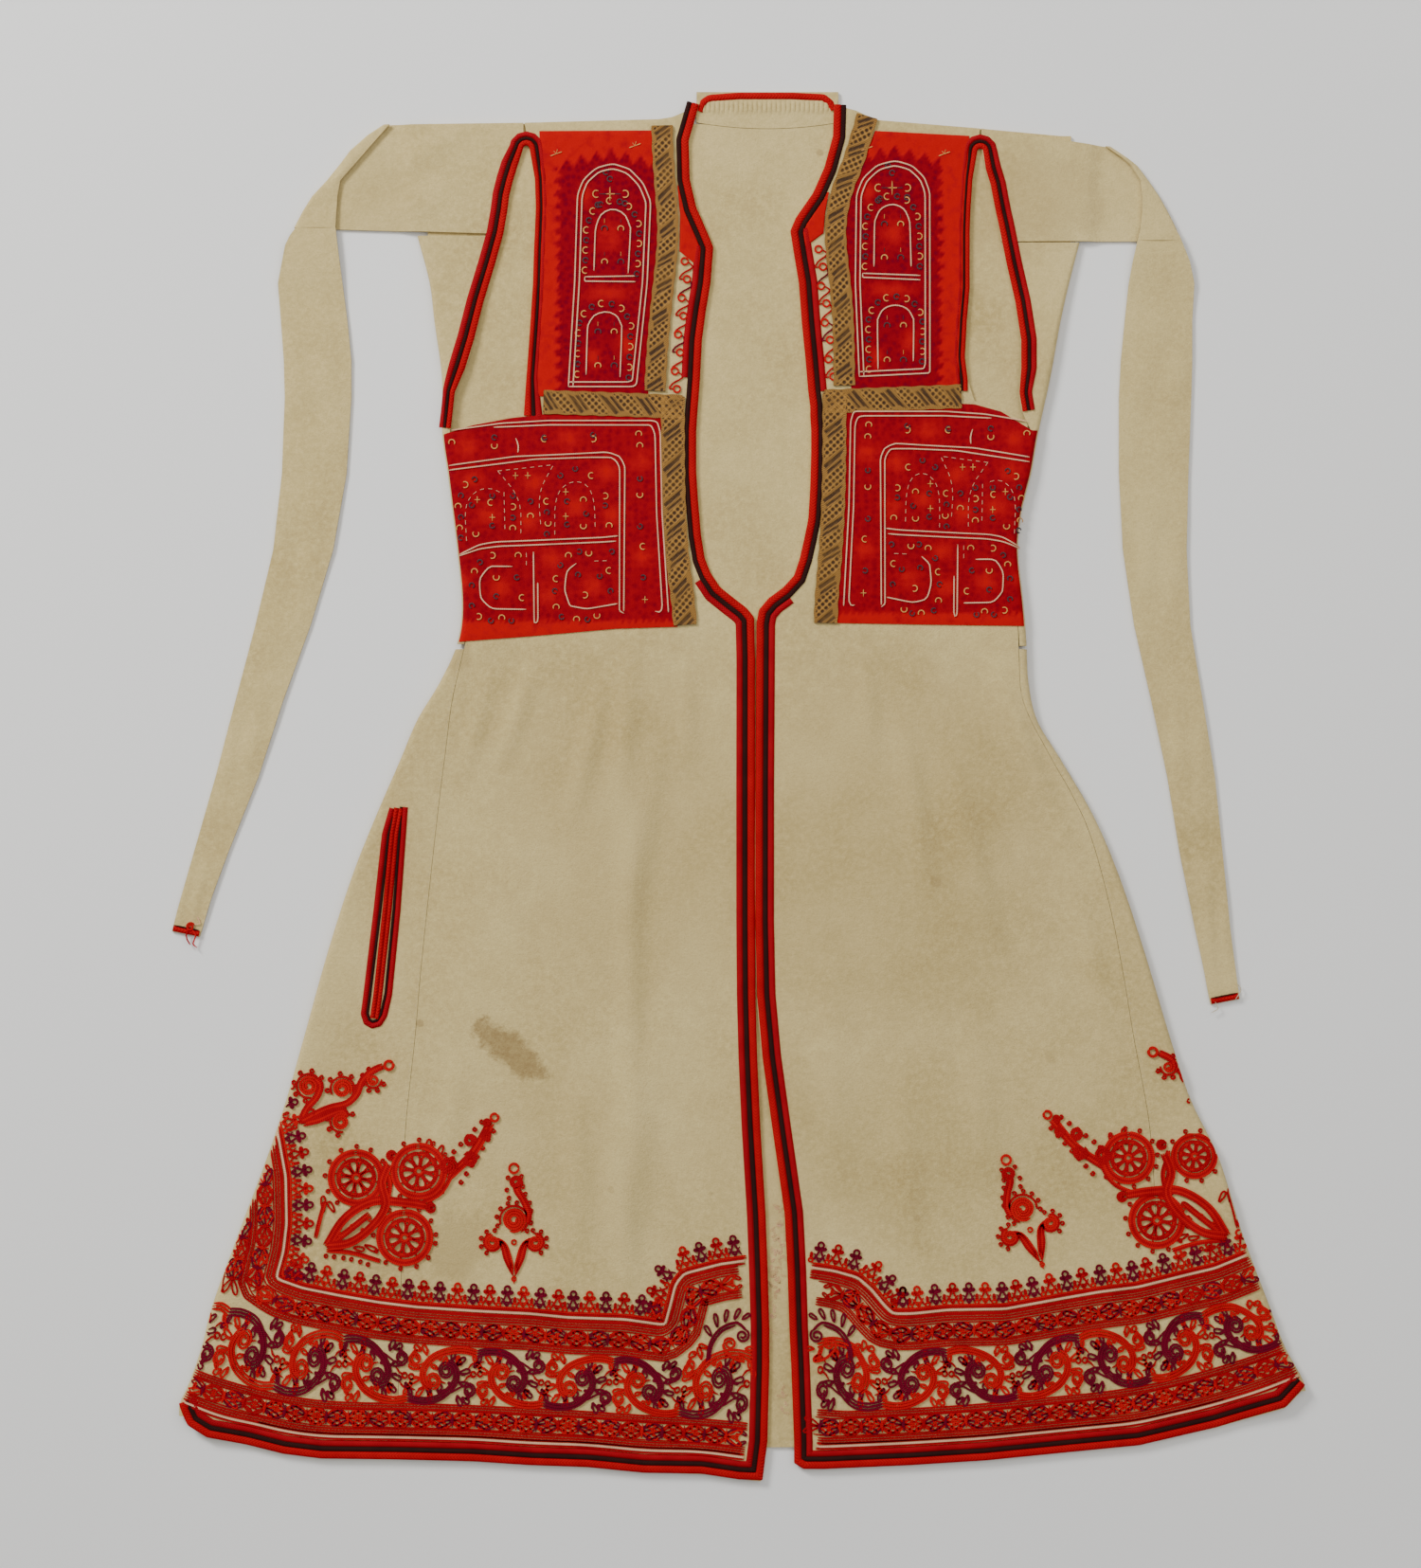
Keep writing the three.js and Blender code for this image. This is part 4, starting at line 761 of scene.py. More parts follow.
@dataclass(frozen=True)
class PlaitedBraid:
    """Flat wool braid plaited in a herringbone."""

    name: str
    colour: Colour
    shade: Colour
    pitch: float = 2.3

    def build(self) -> bpy.types.Material:
        """Makes the material.

        Returns:
            The finished material.
        """
        n = Nodes(self.name)
        place = n.uv()
        parts = n.add("ShaderNodeSeparateXYZ", {0: place})
        slant = n.math("ABSOLUTE", parts.outputs[1])
        phase = n.math("MULTIPLY", n.math("ADD", parts.outputs[0], slant), 2 * math.pi / self.pitch)
        strands = n.ramp(n.math("SINE", phase), -1.0, 1.0)
        worn = n.noise(n.place(), 70.0, 3.0)
        fuzz = n.noise(n.place(), 1100.0, 3.0, 0.7)
        colour = n.blend(n.ramp(strands, 0.0, 0.6, 0.7, 0.0), self.colour, self.shade)
        colour = n.blend(n.ramp(worn, 0.35, 0.75, 0.0, 0.45), colour, self.shade)
        normal = n.relief(strands, 0.28, 0.8)
        normal = n.relief(fuzz, 0.12, 0.5, normal)
        return n.finish(colour, 0.9, normal, Specular_IOR_Level=0.08)


@dataclass(frozen=True)
class Twist:
    """Twisted embroidery cord or thread."""

    name: str
    colour: Colour
    shade: Colour
    roughness: float = 0.82
    gleam: float = 0.08

    def build(self) -> bpy.types.Material:
        """Makes the material.

        Returns:
            The finished material.
        """
        n = Nodes(self.name)
        parts = n.add("ShaderNodeSeparateXYZ", {0: n.uv()})
        turns = n.math("ADD", n.math("MULTIPLY", parts.outputs[0], 4.2), parts.outputs[1])
        plies = n.ramp(n.math("SINE", turns), -1.0, 1.0)
        patchy = n.noise(n.place(), 60.0, 3.0)
        colour = n.blend(n.ramp(plies, 0.0, 0.55, 0.55, 0.0), self.colour, self.shade)
        colour = n.blend(n.ramp(patchy, 0.4, 0.72, 0.0, 0.5), colour, self.shade)
        normal = n.relief(plies, 0.2, 0.7)
        return n.finish(colour, self.roughness, normal, Specular_IOR_Level=self.gleam)


@dataclass(frozen=True)
class GiltLace:
    """Metal lace: gilt threads over a brown ground, darkened with age."""

    name: str = "gilt_lace"
    gilt: Colour = (0.335, 0.160, 0.024)
    ground: Colour = (0.042, 0.018, 0.005)

    def build(self) -> bpy.types.Material:
        """Makes the material.

        Returns:
            The finished material.
        """
        n = Nodes(self.name)
        raised = n.tint()
        wear = n.noise(n.place(), 90.0, 3.0)
        grain = n.noise(n.place(), 1300.0, 2.0)
        colour = n.blend(n.ramp(raised, 0.30, 0.85), self.ground, self.gilt)
        colour = n.blend(n.ramp(wear, 0.45, 0.8, 0.0, 0.5), colour, tuple(0.55 * c for c in self.gilt))
        return n.finish(colour, n.ramp(raised, 0.0, 1.0, 0.8, 0.46), n.relief(grain, 0.15, 0.6),
                        Metallic=0.1, Specular_IOR_Level=0.25)


@dataclass(frozen=True)
class RedCloth:
    """Bright red cloth worked over with crimson silk."""

    name: str = "red_cloth"
    bright: Colour = (0.430, 0.0015, 0.004)
    crimson: Colour = (0.150, 0.001, 0.009)

    def build(self) -> bpy.types.Material:
        """Makes the material.

        Returns:
            The finished material.
        """
        n = Nodes(self.name)
        where = n.place()
        worked = n.tint()
        rows = n.add("ShaderNodeTexWave", {"Vector": where, "Scale": 420.0, "Distortion": 2.0,
                                           "Detail": 2.0}).outputs["Fac"]
        mottle = n.add("ShaderNodeTexVoronoi", {"Vector": where, "Scale": 230.0}).outputs["Distance"]
        share = n.math("MULTIPLY", worked, n.ramp(mottle, 0.15, 0.6, 1.0, 0.72))
        colour = n.blend(share, self.bright, self.crimson)
        colour = n.blend(n.ramp(n.noise(where, 130.0, 4.0), 0.5, 0.8, 0.0, 0.5), colour, self.crimson)
        normal = n.relief(rows, 0.16, 0.6)
        normal = n.relief(mottle, 0.2, 0.5, normal)
        return n.finish(colour, 0.85, normal, Specular_IOR_Level=0.06)


@dataclass(frozen=True)
class PaleFloor:
    """Plain pale studio floor."""

    name: str = "pale_floor"
    colour: Colour = (0.78, 0.775, 0.76)

    def build(self) -> bpy.types.Material:
        """Makes the material.

        Returns:
            The finished material.
        """
        n = Nodes(self.name)
        mottled = n.ramp(n.noise(n.place(), 4.0, 2.0), 0.2, 0.8)
        darker = tuple(0.985 * c for c in self.colour)
        return n.finish(n.blend(mottled, self.colour, darker), 0.9)


class Thread(Enum):
    """Threads and cords of the embroidery, each with its finish."""

    BRIGHT = Twist("bright_red_cord", (0.50, 0.002, 0.004), (0.25, 0.001, 0.004))
    MIDDLE = Twist("red_cord", (0.36, 0.0015, 0.006), (0.18, 0.001, 0.005))
    CRIMSON = Twist("crimson_cord", (0.150, 0.001, 0.014), (0.060, 0.001, 0.006))
    IVORY = Twist("ivory_cord", (0.70, 0.42, 0.26), (0.44, 0.20, 0.11), 0.7)
    YELLOW = Twist("yellow_thread", (0.62, 0.28, 0.06), (0.36, 0.12, 0.02), 0.6, 0.4)
    SLATE = Twist("slate_thread", (0.060, 0.040, 0.045), (0.020, 0.012, 0.016), 0.7)
    STRAW = Twist("straw_thread", (0.66, 0.45, 0.22), (0.34, 0.16, 0.07), 0.6, 0.35)
    BLACK = Twist("black_cord", (0.030, 0.009, 0.007), (0.010, 0.003, 0.003), 0.8)
    WHITE = Twist("sewing_thread", (0.60, 0.53, 0.36), (0.34, 0.27, 0.15), 0.8)


MATERIALS: dict[str, bpy.types.Material] = {}


def material_of(finish: object) -> bpy.types.Material:
    """Material of a finish, made once and shared."""
    if finish.name not in MATERIALS:
        MATERIALS[finish.name] = finish.build()
    return MATERIALS[finish.name]


WOOL = FulledWool()
RED = RedCloth()
LACE = GiltLace()
BRIGHT_BRAID = PlaitedBraid("bright_braid", (0.44, 0.0015, 0.005), (0.23, 0.001, 0.003))
DARK_BRAID = PlaitedBraid("dark_braid", (0.37, 0.004, 0.010), (0.17, 0.001, 0.006), 1.8)
BLACK_BRAID = PlaitedBraid("black_braid", (0.034, 0.009, 0.007), (0.010, 0.003, 0.003), 1.9)


# ---- Cloth ----


def finely(plan: np.ndarray, step: float) -> np.ndarray:
    """Plan grid made finer both ways."""
    across = dense(np.swapaxes(plan, 0, 1), step)
    return dense(np.swapaxes(across, 0, 1), step)


def bow(edge: Profile, start: float, end: float, shares: np.ndarray) -> np.ndarray:
    """How far an edge stands off the straight line between two places on it.

    Args:
        edge: the edge's profile.
        start: key of the first place.
        end: key of the second.
        shares: places between them, from 0 to 1.

    Returns:
        The distance at each share.
    """
    line = edge.straight(start) * (1 - shares) + edge.straight(end) * shares
    return edge.straight(start + (end - start) * shares) - line


@dataclass(frozen=True)
class Cut:
    """Flat size that a piece of cloth was cut to, in metres, and its area."""

    width: float
    length: float
    area: float
    held: str = "laid"
    rests_on: tuple[str, ...] = ("wool_back",)

    def sew(self, node: str, *parts: Part) -> bpy.types.Object:
        """Makes the wool of a solid."""
        piece = build_object(f"wool_{node}", parts, WOOL, "wool", [node])
        list(self.rests_on)
        return piece


def fold_section(side: Side, y: float, upper: np.ndarray, under: np.ndarray) -> list[np.ndarray]:
    """Section of cloth that turns round a side fold.

    Args:
        side: the half of the coat.
        y: height of the section.
        upper: plan points on the upper layer, from the free edge to the fold.
        under: plan points on the underside, from the fold inwards.

    Returns:
        The points of the outer and the inner face.
    """
    cloth, radius, centre = SHAPE.cloth, float(SHAPE.fold_radius(y)), SHAPE.turn_x(side, y)
    angles = np.linspace(math.pi / 2, -math.pi / 2, SHAPE.fold_turns + 2)[1:-1]
    middle = SHAPE.middle(upper[:, 0], upper[:, 1])
    faces = []
    for sign in (1, -1):
        distance = radius + sign * cloth / 2
        bend = np.stack([centre - side.into * distance * np.cos(angles), np.full(len(angles), y),
                         cloth / 2 + radius + distance * np.sin(angles)], axis=1)
        below = stack_heights(under, np.full(len(under), 0.0 if sign > 0 else cloth))
        faces.append(np.concatenate([stack_heights(upper, middle + sign * cloth / 2), bend, below]))
    return faces


def sections_wall(sections: Sequence[list]) -> Part:
    """Wall through sections, each with the points of its outer and its inner face."""
    return wall(*(np.array([section[k] for section in sections]) for k in (0, 1)))


@dataclass
class Back:
    """Back piece, flat on the floor, with its wraps round the sides."""

    cut: Cut = Cut(0.68, 1.0, 0.42, "laid", ())

    def edge_x(self, side: Side, y: float) -> float:
        """X of the flat part's edge at a height."""
        if y <= SHAPE.waist:
            return float(Profile.column(GORE_SEAMS, side.column + 2).smooth(y)) + side.into * SHAPE.seam
        inset = SHAPE.fold_radius(y) + SHAPE.cloth / 2 + 3
        return float(SHAPE.side_fold(side, min(y, 398)) + side.into * inset)

    def flat(self) -> Part:
        """Wall of the flat part."""
        collar = Collar()
        shares = np.linspace(0, 1, 61)
        rows = []
        for t in np.linspace(0, 1, 96):
            y = mix(485, -486, t)
            left, right = self.edge_x(Side.LEFT, y), self.edge_x(Side.RIGHT, y)
            x = left + (right - left) * shares
            top = np.interp(x, (-232, -25.9, 69.3, 178.5, 238), (489, 489, 489, 485.5, 480))
            middle = (x > collar.left) & (x < collar.right)
            top = np.where(middle, collar.neck_edge(x) - SHAPE.seam, top)
            lift, drop = np.clip((y - 440) / 45, 0, 1), np.clip((-440 - y) / 46, 0, 1)
            hem = np.interp(x, *zip(*BACK_HEM))
            rows.append(np.stack([x, y + lift * (top - 485) + drop * (hem + 486)], axis=1))
        plan = np.array(rows)
        return slab(plan, np.full(plan.shape[:2], SHAPE.cloth), np.zeros(plan.shape[:2]))

    def wrap(self, side: Side) -> Part:
        """Wall that turns up round one side and over the front."""
        free = Profile.column(WRAP_EDGES, side.column)
        sections = []
        for y in np.arange(406 if side is Side.LEFT else 401, SHAPE.waist + 0.8, -3.5):
            start = SHAPE.turn_x(side, y)
            edge = float(SHAPE.side_fold(side,
                                         y)) + side.into * 5.6 if y < 262 else float(free.smooth(y))
            upper = np.stack([np.linspace(edge, start, 14), np.full(14, y)], axis=1)
            sections.append(fold_section(side, y, upper,
                                         np.array([[start, y], [start + side.into * 2.9, y]])))
        return sections_wall(sections)

    def build(self) -> bpy.types.Object:
        """Makes the back."""
        return self.cut.sew("back", self.flat(), self.wrap(Side.LEFT), self.wrap(Side.RIGHT))


@dataclass
class Front:
    """One front, from the shoulder to the hem."""

    side: Side
    step: float = 6.6
    skirt_rows: int = 60
    cut: Cut = Cut(0.28, 1.02, 0.213)

    def far_x(self, row: Row) -> tuple[float, float]:
        """Far end of a row of the bodice."""
        if len(row) == 4:
            return row[2], row[3]
        return float(SHAPE.side_fold(self.side, row[2])) + self.side.into * SHAPE.side_seam, row[2]

    def plan(self) -> np.ndarray:
        """Plan grid of the front.

        Returns:
            Rows of points from the far edge to the opening.
        """
        side, shares = self.side, np.linspace(0, 1, 14)
        shoulder = Profile.column(SHOULDER_EDGES[side])
        rows = []

        def row(near: tuple[float, float], far: tuple[float, float], edge: Profile,
                strength: float) -> None:
            """Adds one row between its two ends."""
            x = far[0] + (near[0] - far[0]) * shares
            y = far[1] + (near[1] - far[1]) * shares + strength * bow(edge, far[0], near[0], shares)
            rows.append(np.stack([x, y], axis=1))

        for i, values in enumerate(BODICE[side]):
            row((values[0], values[1]), self.far_x(values), shoulder, float(i == 0))
        hem_x = 16.8 if side is Side.LEFT else 41.3
        seam = SHAPE.gore_seam(side.column, self.skirt_rows)
        for i, (seam_x, seam_y) in enumerate(seam):
            t = i / self.skirt_rows
            y = mix(103, float(SHAPE.hem.straight(hem_x)), t)
            x = hem_x if t == 1 else float(SHAPE.front_edge(side, y))
            row((x, y), (seam_x + side.into * SHAPE.seam, seam_y), SHAPE.hem, t**8)
        return finely(np.array(rows), self.step)

    def build(self) -> bpy.types.Object:
        """Makes the front."""
        plan, half = self.plan(), SHAPE.cloth / 2
        middle = SHAPE.middle(plan[..., 0], plan[..., 1])
        return self.cut.sew(f"front_{self.side.word}", slab(plan, middle + half, middle - half))


@dataclass
class Gore:
    """Gore at one side of the skirt, turned round the side fold."""

    side: Side
    rows: int = 90
    cuts: dict = field(default_factory=lambda: {
        Side.LEFT: Cut(0.31, 0.60, 0.100, "folded"), Side.RIGHT: Cut(0.26, 0.58, 0.077, "folded"),
    })

    def build(self) -> bpy.types.Object:
        """Makes the gore.

        Returns:
            The gore's object.
        """
        side = self.side
        corner = float(SHAPE.hem.straight(SHAPE.turn_x(side, -SHAPE.half_length)))
        seams = [SHAPE.gore_seam(index, self.rows) for index in (side.column, side.column + 2)]
        sections = []
        for i in range(self.rows + 1):
            t = i / self.rows
            y = mix(SHAPE.waist, corner, t)
            start = SHAPE.turn_x(side, y)
            plans = []
            for seam, shares in zip(seams, (np.linspace(1, 0, 34), np.linspace(0, 1, 14))):
                x = start + (seam[i, 0] - start) * shares
                stand = bow(SHAPE.hem, start, seam[i, 0], shares)
                plans.append(np.stack([x, y + (seam[i, 1] - y) * shares + t**8 * stand], axis=1))
            sections.append(fold_section(side, y, *plans))
        return self.cuts[side].sew(f"gore_{side.word}", sections_wall(sections))


@dataclass
class Sleeve:
    """False sleeve: the shoulder piece, its diagonal fold and the strip that hangs from it."""

    side: Side
    radius: float = 1.7
    cut: Cut = Cut(0.10, 0.66, 0.036, "folded")

    def band_middle(self, x: np.ndarray) -> np.ndarray:
        """Middle of the shoulder piece, which drops to the floor outside the back."""
        beyond = np.abs(x) - abs(float(SHAPE.side_fold(self.side, SHAPE.shoulder)))
        return SHAPE.cloth / 2 + (SHAPE.cloth + SHAPE.seam) * (1 - ease((beyond - 3) / 12))

    def shoulder(self) -> Part:
        """Wall of the shoulder piece and the fold."""
        into, cloth, radius = self.side.into, SHAPE.cloth, self.radius
        table = dense(np.array(SLEEVE_FOLDS[self.side], float)[:, None, :], 4.0)[:, 0]
        angles = np.linspace(-math.pi / 2, math.pi / 2, 11)[1:-1]
        sections = []
        for y, fold, lip, arm_x, arm_y in table:
            start = fold + into * (radius + cloth / 2)
            x = np.linspace(arm_x, start, 34)
            rows = np.linspace(arm_y, y, 34)
            share = np.clip((x - arm_x) / (start - arm_x), 0, 1)
            dent = 1.1 * np.sin(np.pi * share) ** 2 * np.sin(share * 9 + rows / 19) * np.sin(rows / 13)
            band = self.band_middle(x) + np.maximum(dent, 0)
            upper = np.linspace(start, max(into * lip, into * start + 0.8) * into, 6)
            lift = 0.9 * np.sin(np.linspace(0, np.pi, 6)) * math.sin(y / 17) ** 2
            faces = []
            for sign in (-1, 1):
                distance = radius - sign * cloth / 2
                turned = np.stack([start - into * distance * np.cos(angles), np.full(len(angles), y),
                                   cloth / 2 + radius + distance * np.sin(angles)], axis=1)
                lying = np.stack([x, rows, band + sign * cloth / 2], axis=1)
                over = np.stack([upper, np.full(6, y), cloth / 2 + 2 * radius - sign * cloth / 2 + lift],
                                axis=1)
                faces.append(np.concatenate([lying, turned, over]))
            sections.append(faces)
        return sections_wall(sections)

    def strip(self) -> Part:
        """Wall of the hanging strip, crumpled a little where it lies."""
        into, cloth = self.side.into, SHAPE.cloth
        table = dense(np.array(SLEEVE_STRIPS[self.side], float)[:, None, :], 4.0)[:, 0]
        y, inner = table[:, 0], table[:, 2]
        near_fold = ease((y - 405) / 12)
        outside = table[:, 1] + into * near_fold * (self.radius + cloth / 2)
        shares = np.linspace(0, 1, 12)
        x = outside[:, None] + (inner - outside)[:, None] * shares
        tilt = 4 * into * ease((y[-1] + 30 - y) / 30)
        rows = y[:, None] - (tilt * into)[:, None] * shares
        rest = 1 - ease((y - 345) / 57)
        middle = cloth / 2 + 2 * self.radius * (1 - rest)
        settle = 0.8 * np.sin(y / 33 + 1.2) ** 2 + 0.6 * np.sin(y / 14.5) ** 2
        crumple = (rest * settle)[:, None] * np.sin(np.pi * shares) ** 0.8
        turned_wave = np.sin(2 * np.pi * shares + (y / 45)[:, None])
        crumple += 0.5 * (rest * (1 + np.sin(y / 21)))[:, None] * turned_wave ** 2
        crumple *= np.clip((y - y[-1]) / 15, 0, 1)[:, None]
        plan = np.stack([x, rows], axis=-1)
        height = middle[:, None] + crumple
        return slab(plan, height + cloth / 2, height - cloth / 2)

    def build(self) -> bpy.types.Object:
        """Makes the sleeve."""
        return self.cut.sew(f"sleeve_{self.side.word}", self.shoulder(), self.strip())


@dataclass
class Collar:
    """Stand of the collar at the back of the neck, lying flat, with its knitted ribs."""

    left: float = -30.6
    right: float = 74.0
    low: float = 490.0
    sag: float = 4.5
    thick: float = 2.6
    ribs: int = 30
    rib_low: float = 497.0
    rib_high: float = 506.0
    rib_height: float = 0.9
    cut: Cut = Cut(0.10, 0.028, 0.0023)

    def neck_edge(self, x: np.ndarray) -> np.ndarray:
        """Lower edge of the collar."""
        half = (self.right - self.left) / 2
        across = np.clip((x - self.left - half) / half, -1, 1)
        return self.low - self.sag * (1 - across**2)

    def build(self) -> bpy.types.Object:
        """Makes the collar.

        Returns:
            The collar's object.
        """
        x = np.linspace(self.left, self.right, 8 * self.ribs + 1)
        shares = np.linspace(0, 1, 18)
        low = self.neck_edge(x)
        y = low + (SHAPE.half_length - low) * shares[:, None]
        place = (x - self.left) / (self.right - self.left) * self.ribs
        zone = ease((y - self.rib_low) / 1.5) * ease((self.rib_high - y) / 1.5)
        rib = np.abs(np.sin(np.pi * place)) ** 0.7 * zone * self.rib_height
        plan = np.stack([np.broadcast_to(x, y.shape), y], axis=-1)
        return self.cut.sew("collar", slab(plan, self.thick + rib, np.zeros(y.shape)))


# ---- Braids and cords ----


def sweep(rings: np.ndarray) -> list[np.ndarray]:
    """Quads of a closed tube through rings of points, and the cap at each end."""
    rows, around = rings.shape[:2]
    index = np.arange(rows * around).reshape(rows, around)
    beside = np.roll(index, -1, axis=1)
    quads = np.stack([index[:-1], beside[:-1], beside[1:], index[1:]], axis=-1).reshape(-1, 4)
    return [quads, np.stack([index[0, ::-1], index[-1]])]


@dataclass
class Braid:
    """Plaited braid sewn down beside an edge."""

    name: str
    nodes: tuple[str, ...]
    finish: PlaitedBraid
    slot: str
    path: Path
    near: float
    far: float
    turn: int
    columns: int = 7
    step: float = 1.05
    thick: float = 1.25
    relief: float = 0.22
    face: Height = SHAPE.top

    def rings(self, path: np.ndarray) -> tuple[np.ndarray, np.ndarray]:
        """Rings of points along one length of braid.

        Args:
            path: the edge's points, with a share of the offset as a third number where it varies.

        Returns:
            The rings, and their places along and across in millimetres.
        """
        shares = np.linspace(0, 1, self.columns)
        reach = path[:, 2] if path.shape[1] > 2 else None
        plan = np.stack([offset(path[:, :2], mix(self.near, self.far, share), self.turn, reach)
                         for share in shares], axis=1)
        plan = dense(soften(dense(plan, 3.0), 2), self.step)
        centre = plan[:, self.columns // 2]
        run = lengths(centre)
        across = (shares - 0.5) * (self.far - self.near)
        slant = run[:, None] + np.abs(across)
        plait = np.abs(np.sin(np.pi * slant / self.finish.pitch)) * self.relief
        crown = self.thick * (1 - np.abs(2 * shares - 1) ** 4)
        base = self.face(plan[..., 0], plan[..., 1]) + 0.15
        height = base + crown + plait * (1 - np.abs(2 * shares - 1) ** 6)
        points = stack_heights(plan, height)
        places = np.stack(np.broadcast_arrays(run[:, None], across), axis=-1)
        return points, places

    def build(self) -> bpy.types.Object:
        """Makes the braid.

        Returns:
            The braid's object.
        """
        rings, places = self.rings(np.asarray(self.path, float))
        points, (body, caps) = rings.reshape(-1, 3), sweep(rings)
        part = (points, [facing_up(points, body), caps], places.reshape(-1, 2))
        return build_object(self.name, [part], self.finish, self.slot, self.nodes, LENGTHWISE)


def facing_up(points: np.ndarray, quads: np.ndarray) -> np.ndarray:
    """Quads of a band turned so that most of its face looks up."""
    a, b, c = (points[quads[:, k]] for k in (0, 1, 2))
    area = np.cross(b - a, c - a)[:, 2]
    high = points[quads].mean(axis=1)[:, 2]
    return quads if (area * (high - high.min())).sum() > 0 else quads[:, ::-1]


class Edges:
    """Ways that the braids follow round the coat."""

    @staticmethod
    def opening(side: Side) -> tuple[np.ndarray, np.ndarray, np.ndarray]:
        """Neck opening, front edge and hem of one side, in order."""
        neck = np.array([row[:2] for row in BODICE[side]], float)
        heights = [95, 0, -100, -154, -200, -250, -315, -357, -399, -427, -483]
        skirt = [(float(SHAPE.front_edge(side, y)), y) for y in heights]
        corner = 18.0 if side is Side.LEFT else 41.3
        skirt.append((corner, float(SHAPE.hem.straight(corner))))
        hem = [row for row in HEM if (-413 < row[0] < 5 if side is Side.LEFT else 45 < row[0] < 418)]
        hem = hem[::-1] if side is Side.LEFT else hem
        return neck, np.array(skirt), np.array(hem, float)

    @staticmethod
    def armhole(side: Side) -> np.ndarray:
        """Way up the front of an armhole, over its top and down the wrap, with a share of the offset."""
        into, front_share = side.into, 0.8
        wrap_share = 1.15 if side is Side.LEFT else 1.05
        x, y, radius = (-156.1, 470, 2.4) if side is Side.LEFT else (178.6, 468, 2.2)
        foot = (-158.0, 273.5) if side is Side.LEFT else (169.4, 291.5)
        path = [(*foot, 1.3 if side is Side.LEFT else front_share)]
        rising = [row for row in BODICE[side] if len(row) == 4 and foot[1] + 3 < row[3] < y - 5]
        path += [(row[2], row[3], front_share) for row in rising[::-1]]
        for degrees in (0, 30, 60, 90, 120, 150, 180):
            angle = math.radians(degrees)
            path.append((x + into * radius * math.cos(angle), y + radius * math.sin(angle), 0.95))
        path += [(row[3], row[4], wrap_share) for row in SLEEVE_FOLDS[side] if 406 < row[4] < y - 4]
        for row in WRAP_EDGES:
            if 266 < row[0] < 400:
                path.append((row[side.column], row[0], 0.85 if row[0] < 300 else wrap_share))
        last, low = path[-1], 263.5 if side is Side.LEFT else 274.5
        if last[1] > low + 2:
            path.append((last[0] - into * (last[1] - low) * 0.12, low, last[2]))
        return np.array(path)


def edge_braids(side: Side) -> list[Braid]:
    """Braids round the opening, down the front edge, along the hem and round the armhole.

    Args:
        side: the half of the coat.

    Returns:
        The braids of that side.
    """
    word, turn = side.word, side.into
    neck, skirt, hem = Edges.opening(side)
    whole = np.concatenate([neck, skirt, hem])
    low, high = (164, 398) if side is Side.LEFT else (152, 412)
    lower = np.concatenate([neck[neck[:, 1] < low], skirt, hem])
    upper = neck[(neck[:, 1] < high) & (neck[:, 1] > 289)]
    arm = Edges.armhole(side)

    def braid(part: str, finish: PlaitedBraid, slot: str, path: np.ndarray, near: float, far: float,
              columns: int, **more: float) -> Braid:
        """One braid of this side."""
        name = f"{part}_{word}"
        return Braid(f"braid_{name}", (name,), finish, slot, path, near, far, turn, columns, **more)

    return [
        braid("edge_bright", BRIGHT_BRAID, "bright_braid", whole, 0.0, 5.6, 7, relief=0.3),
        braid("edge_black", BLACK_BRAID, "black_braid", whole, 5.5, 9.2, 5, step=1.2, thick=1.0),
        braid("edge_dark", DARK_BRAID, "dark_braid", lower, 9.1, 13.8, 6, step=1.1, thick=1.15),
        braid("neck_dark", DARK_BRAID, "dark_braid", upper, 9.1, 13.8, 6, step=1.1, thick=1.15),
        braid("armhole_bright", BRIGHT_BRAID, "bright_braid", arm, 0.0, 4.4, 7, relief=0.3),
        braid("armhole_black", BLACK_BRAID, "black_braid", arm, 4.3, 6.9, 5, step=1.2, thick=1.0),
        braid("armhole_dark", DARK_BRAID, "dark_braid", arm, 6.8, 10.8, 6, step=1.1, thick=1.15),
    ]


def collar_braid() -> Braid:
    """Braid along the top of the collar."""
    collar = Collar()
    path = rounded(along([(-31, 499), (-28, 506.5), (-22, 510.5), (0, 512.2), (40, 512.2), (64, 511),
                          (70.5, 506), (73, 500)], 3.0), 1.5, 1)
    return Braid("braid_collar", ("collar_braid",), BRIGHT_BRAID, "bright_braid", path, 0.2, 5.2, 1, 7,
                 face=lambda x, y: np.full(np.shape(x), collar.thick), relief=0.3)


# ---- Embroidery ----


def arc(x: float, y: float, radius: float, start: float, end: float, step: float = 1.1) -> Path:
    """Arc of a circle.

    Args:
        x: its centre.
        y: its centre.
        radius: its radius.
        start: first angle, in degrees.
        end: last angle.
        step: distance between the points.

    Returns:
        The arc's points.
    """
    count = max(7, round(abs(end - start) / 360 * 2 * math.pi * radius / step) + 1)
    angles = np.radians(np.linspace(start, end, count))
    return np.stack([x + radius * np.cos(angles), y + radius * np.sin(angles)], axis=1)


def spiral(x: float, y: float, radius: float, start: float, turns: float, inner: float = 0.22) -> Path:
    """Spiral from its rim to its middle.

    Args:
        x: its centre.
        y: its centre.
        radius: radius of its rim.
        start: angle of its first point, in degrees.
        turns: number of turns, negative for clockwise.
        inner: share of the radius where it ends.

    Returns:
        The spiral's points.
    """
    count = max(10, round(abs(turns) * radius * 4.2))
    share = np.linspace(0, 1, count)
    angles = math.radians(start) + 2 * math.pi * turns * share
    reach = radius * (1 - (1 - inner) * share)
    return np.stack([x + reach * np.cos(angles), y + reach * np.sin(angles)], axis=1)


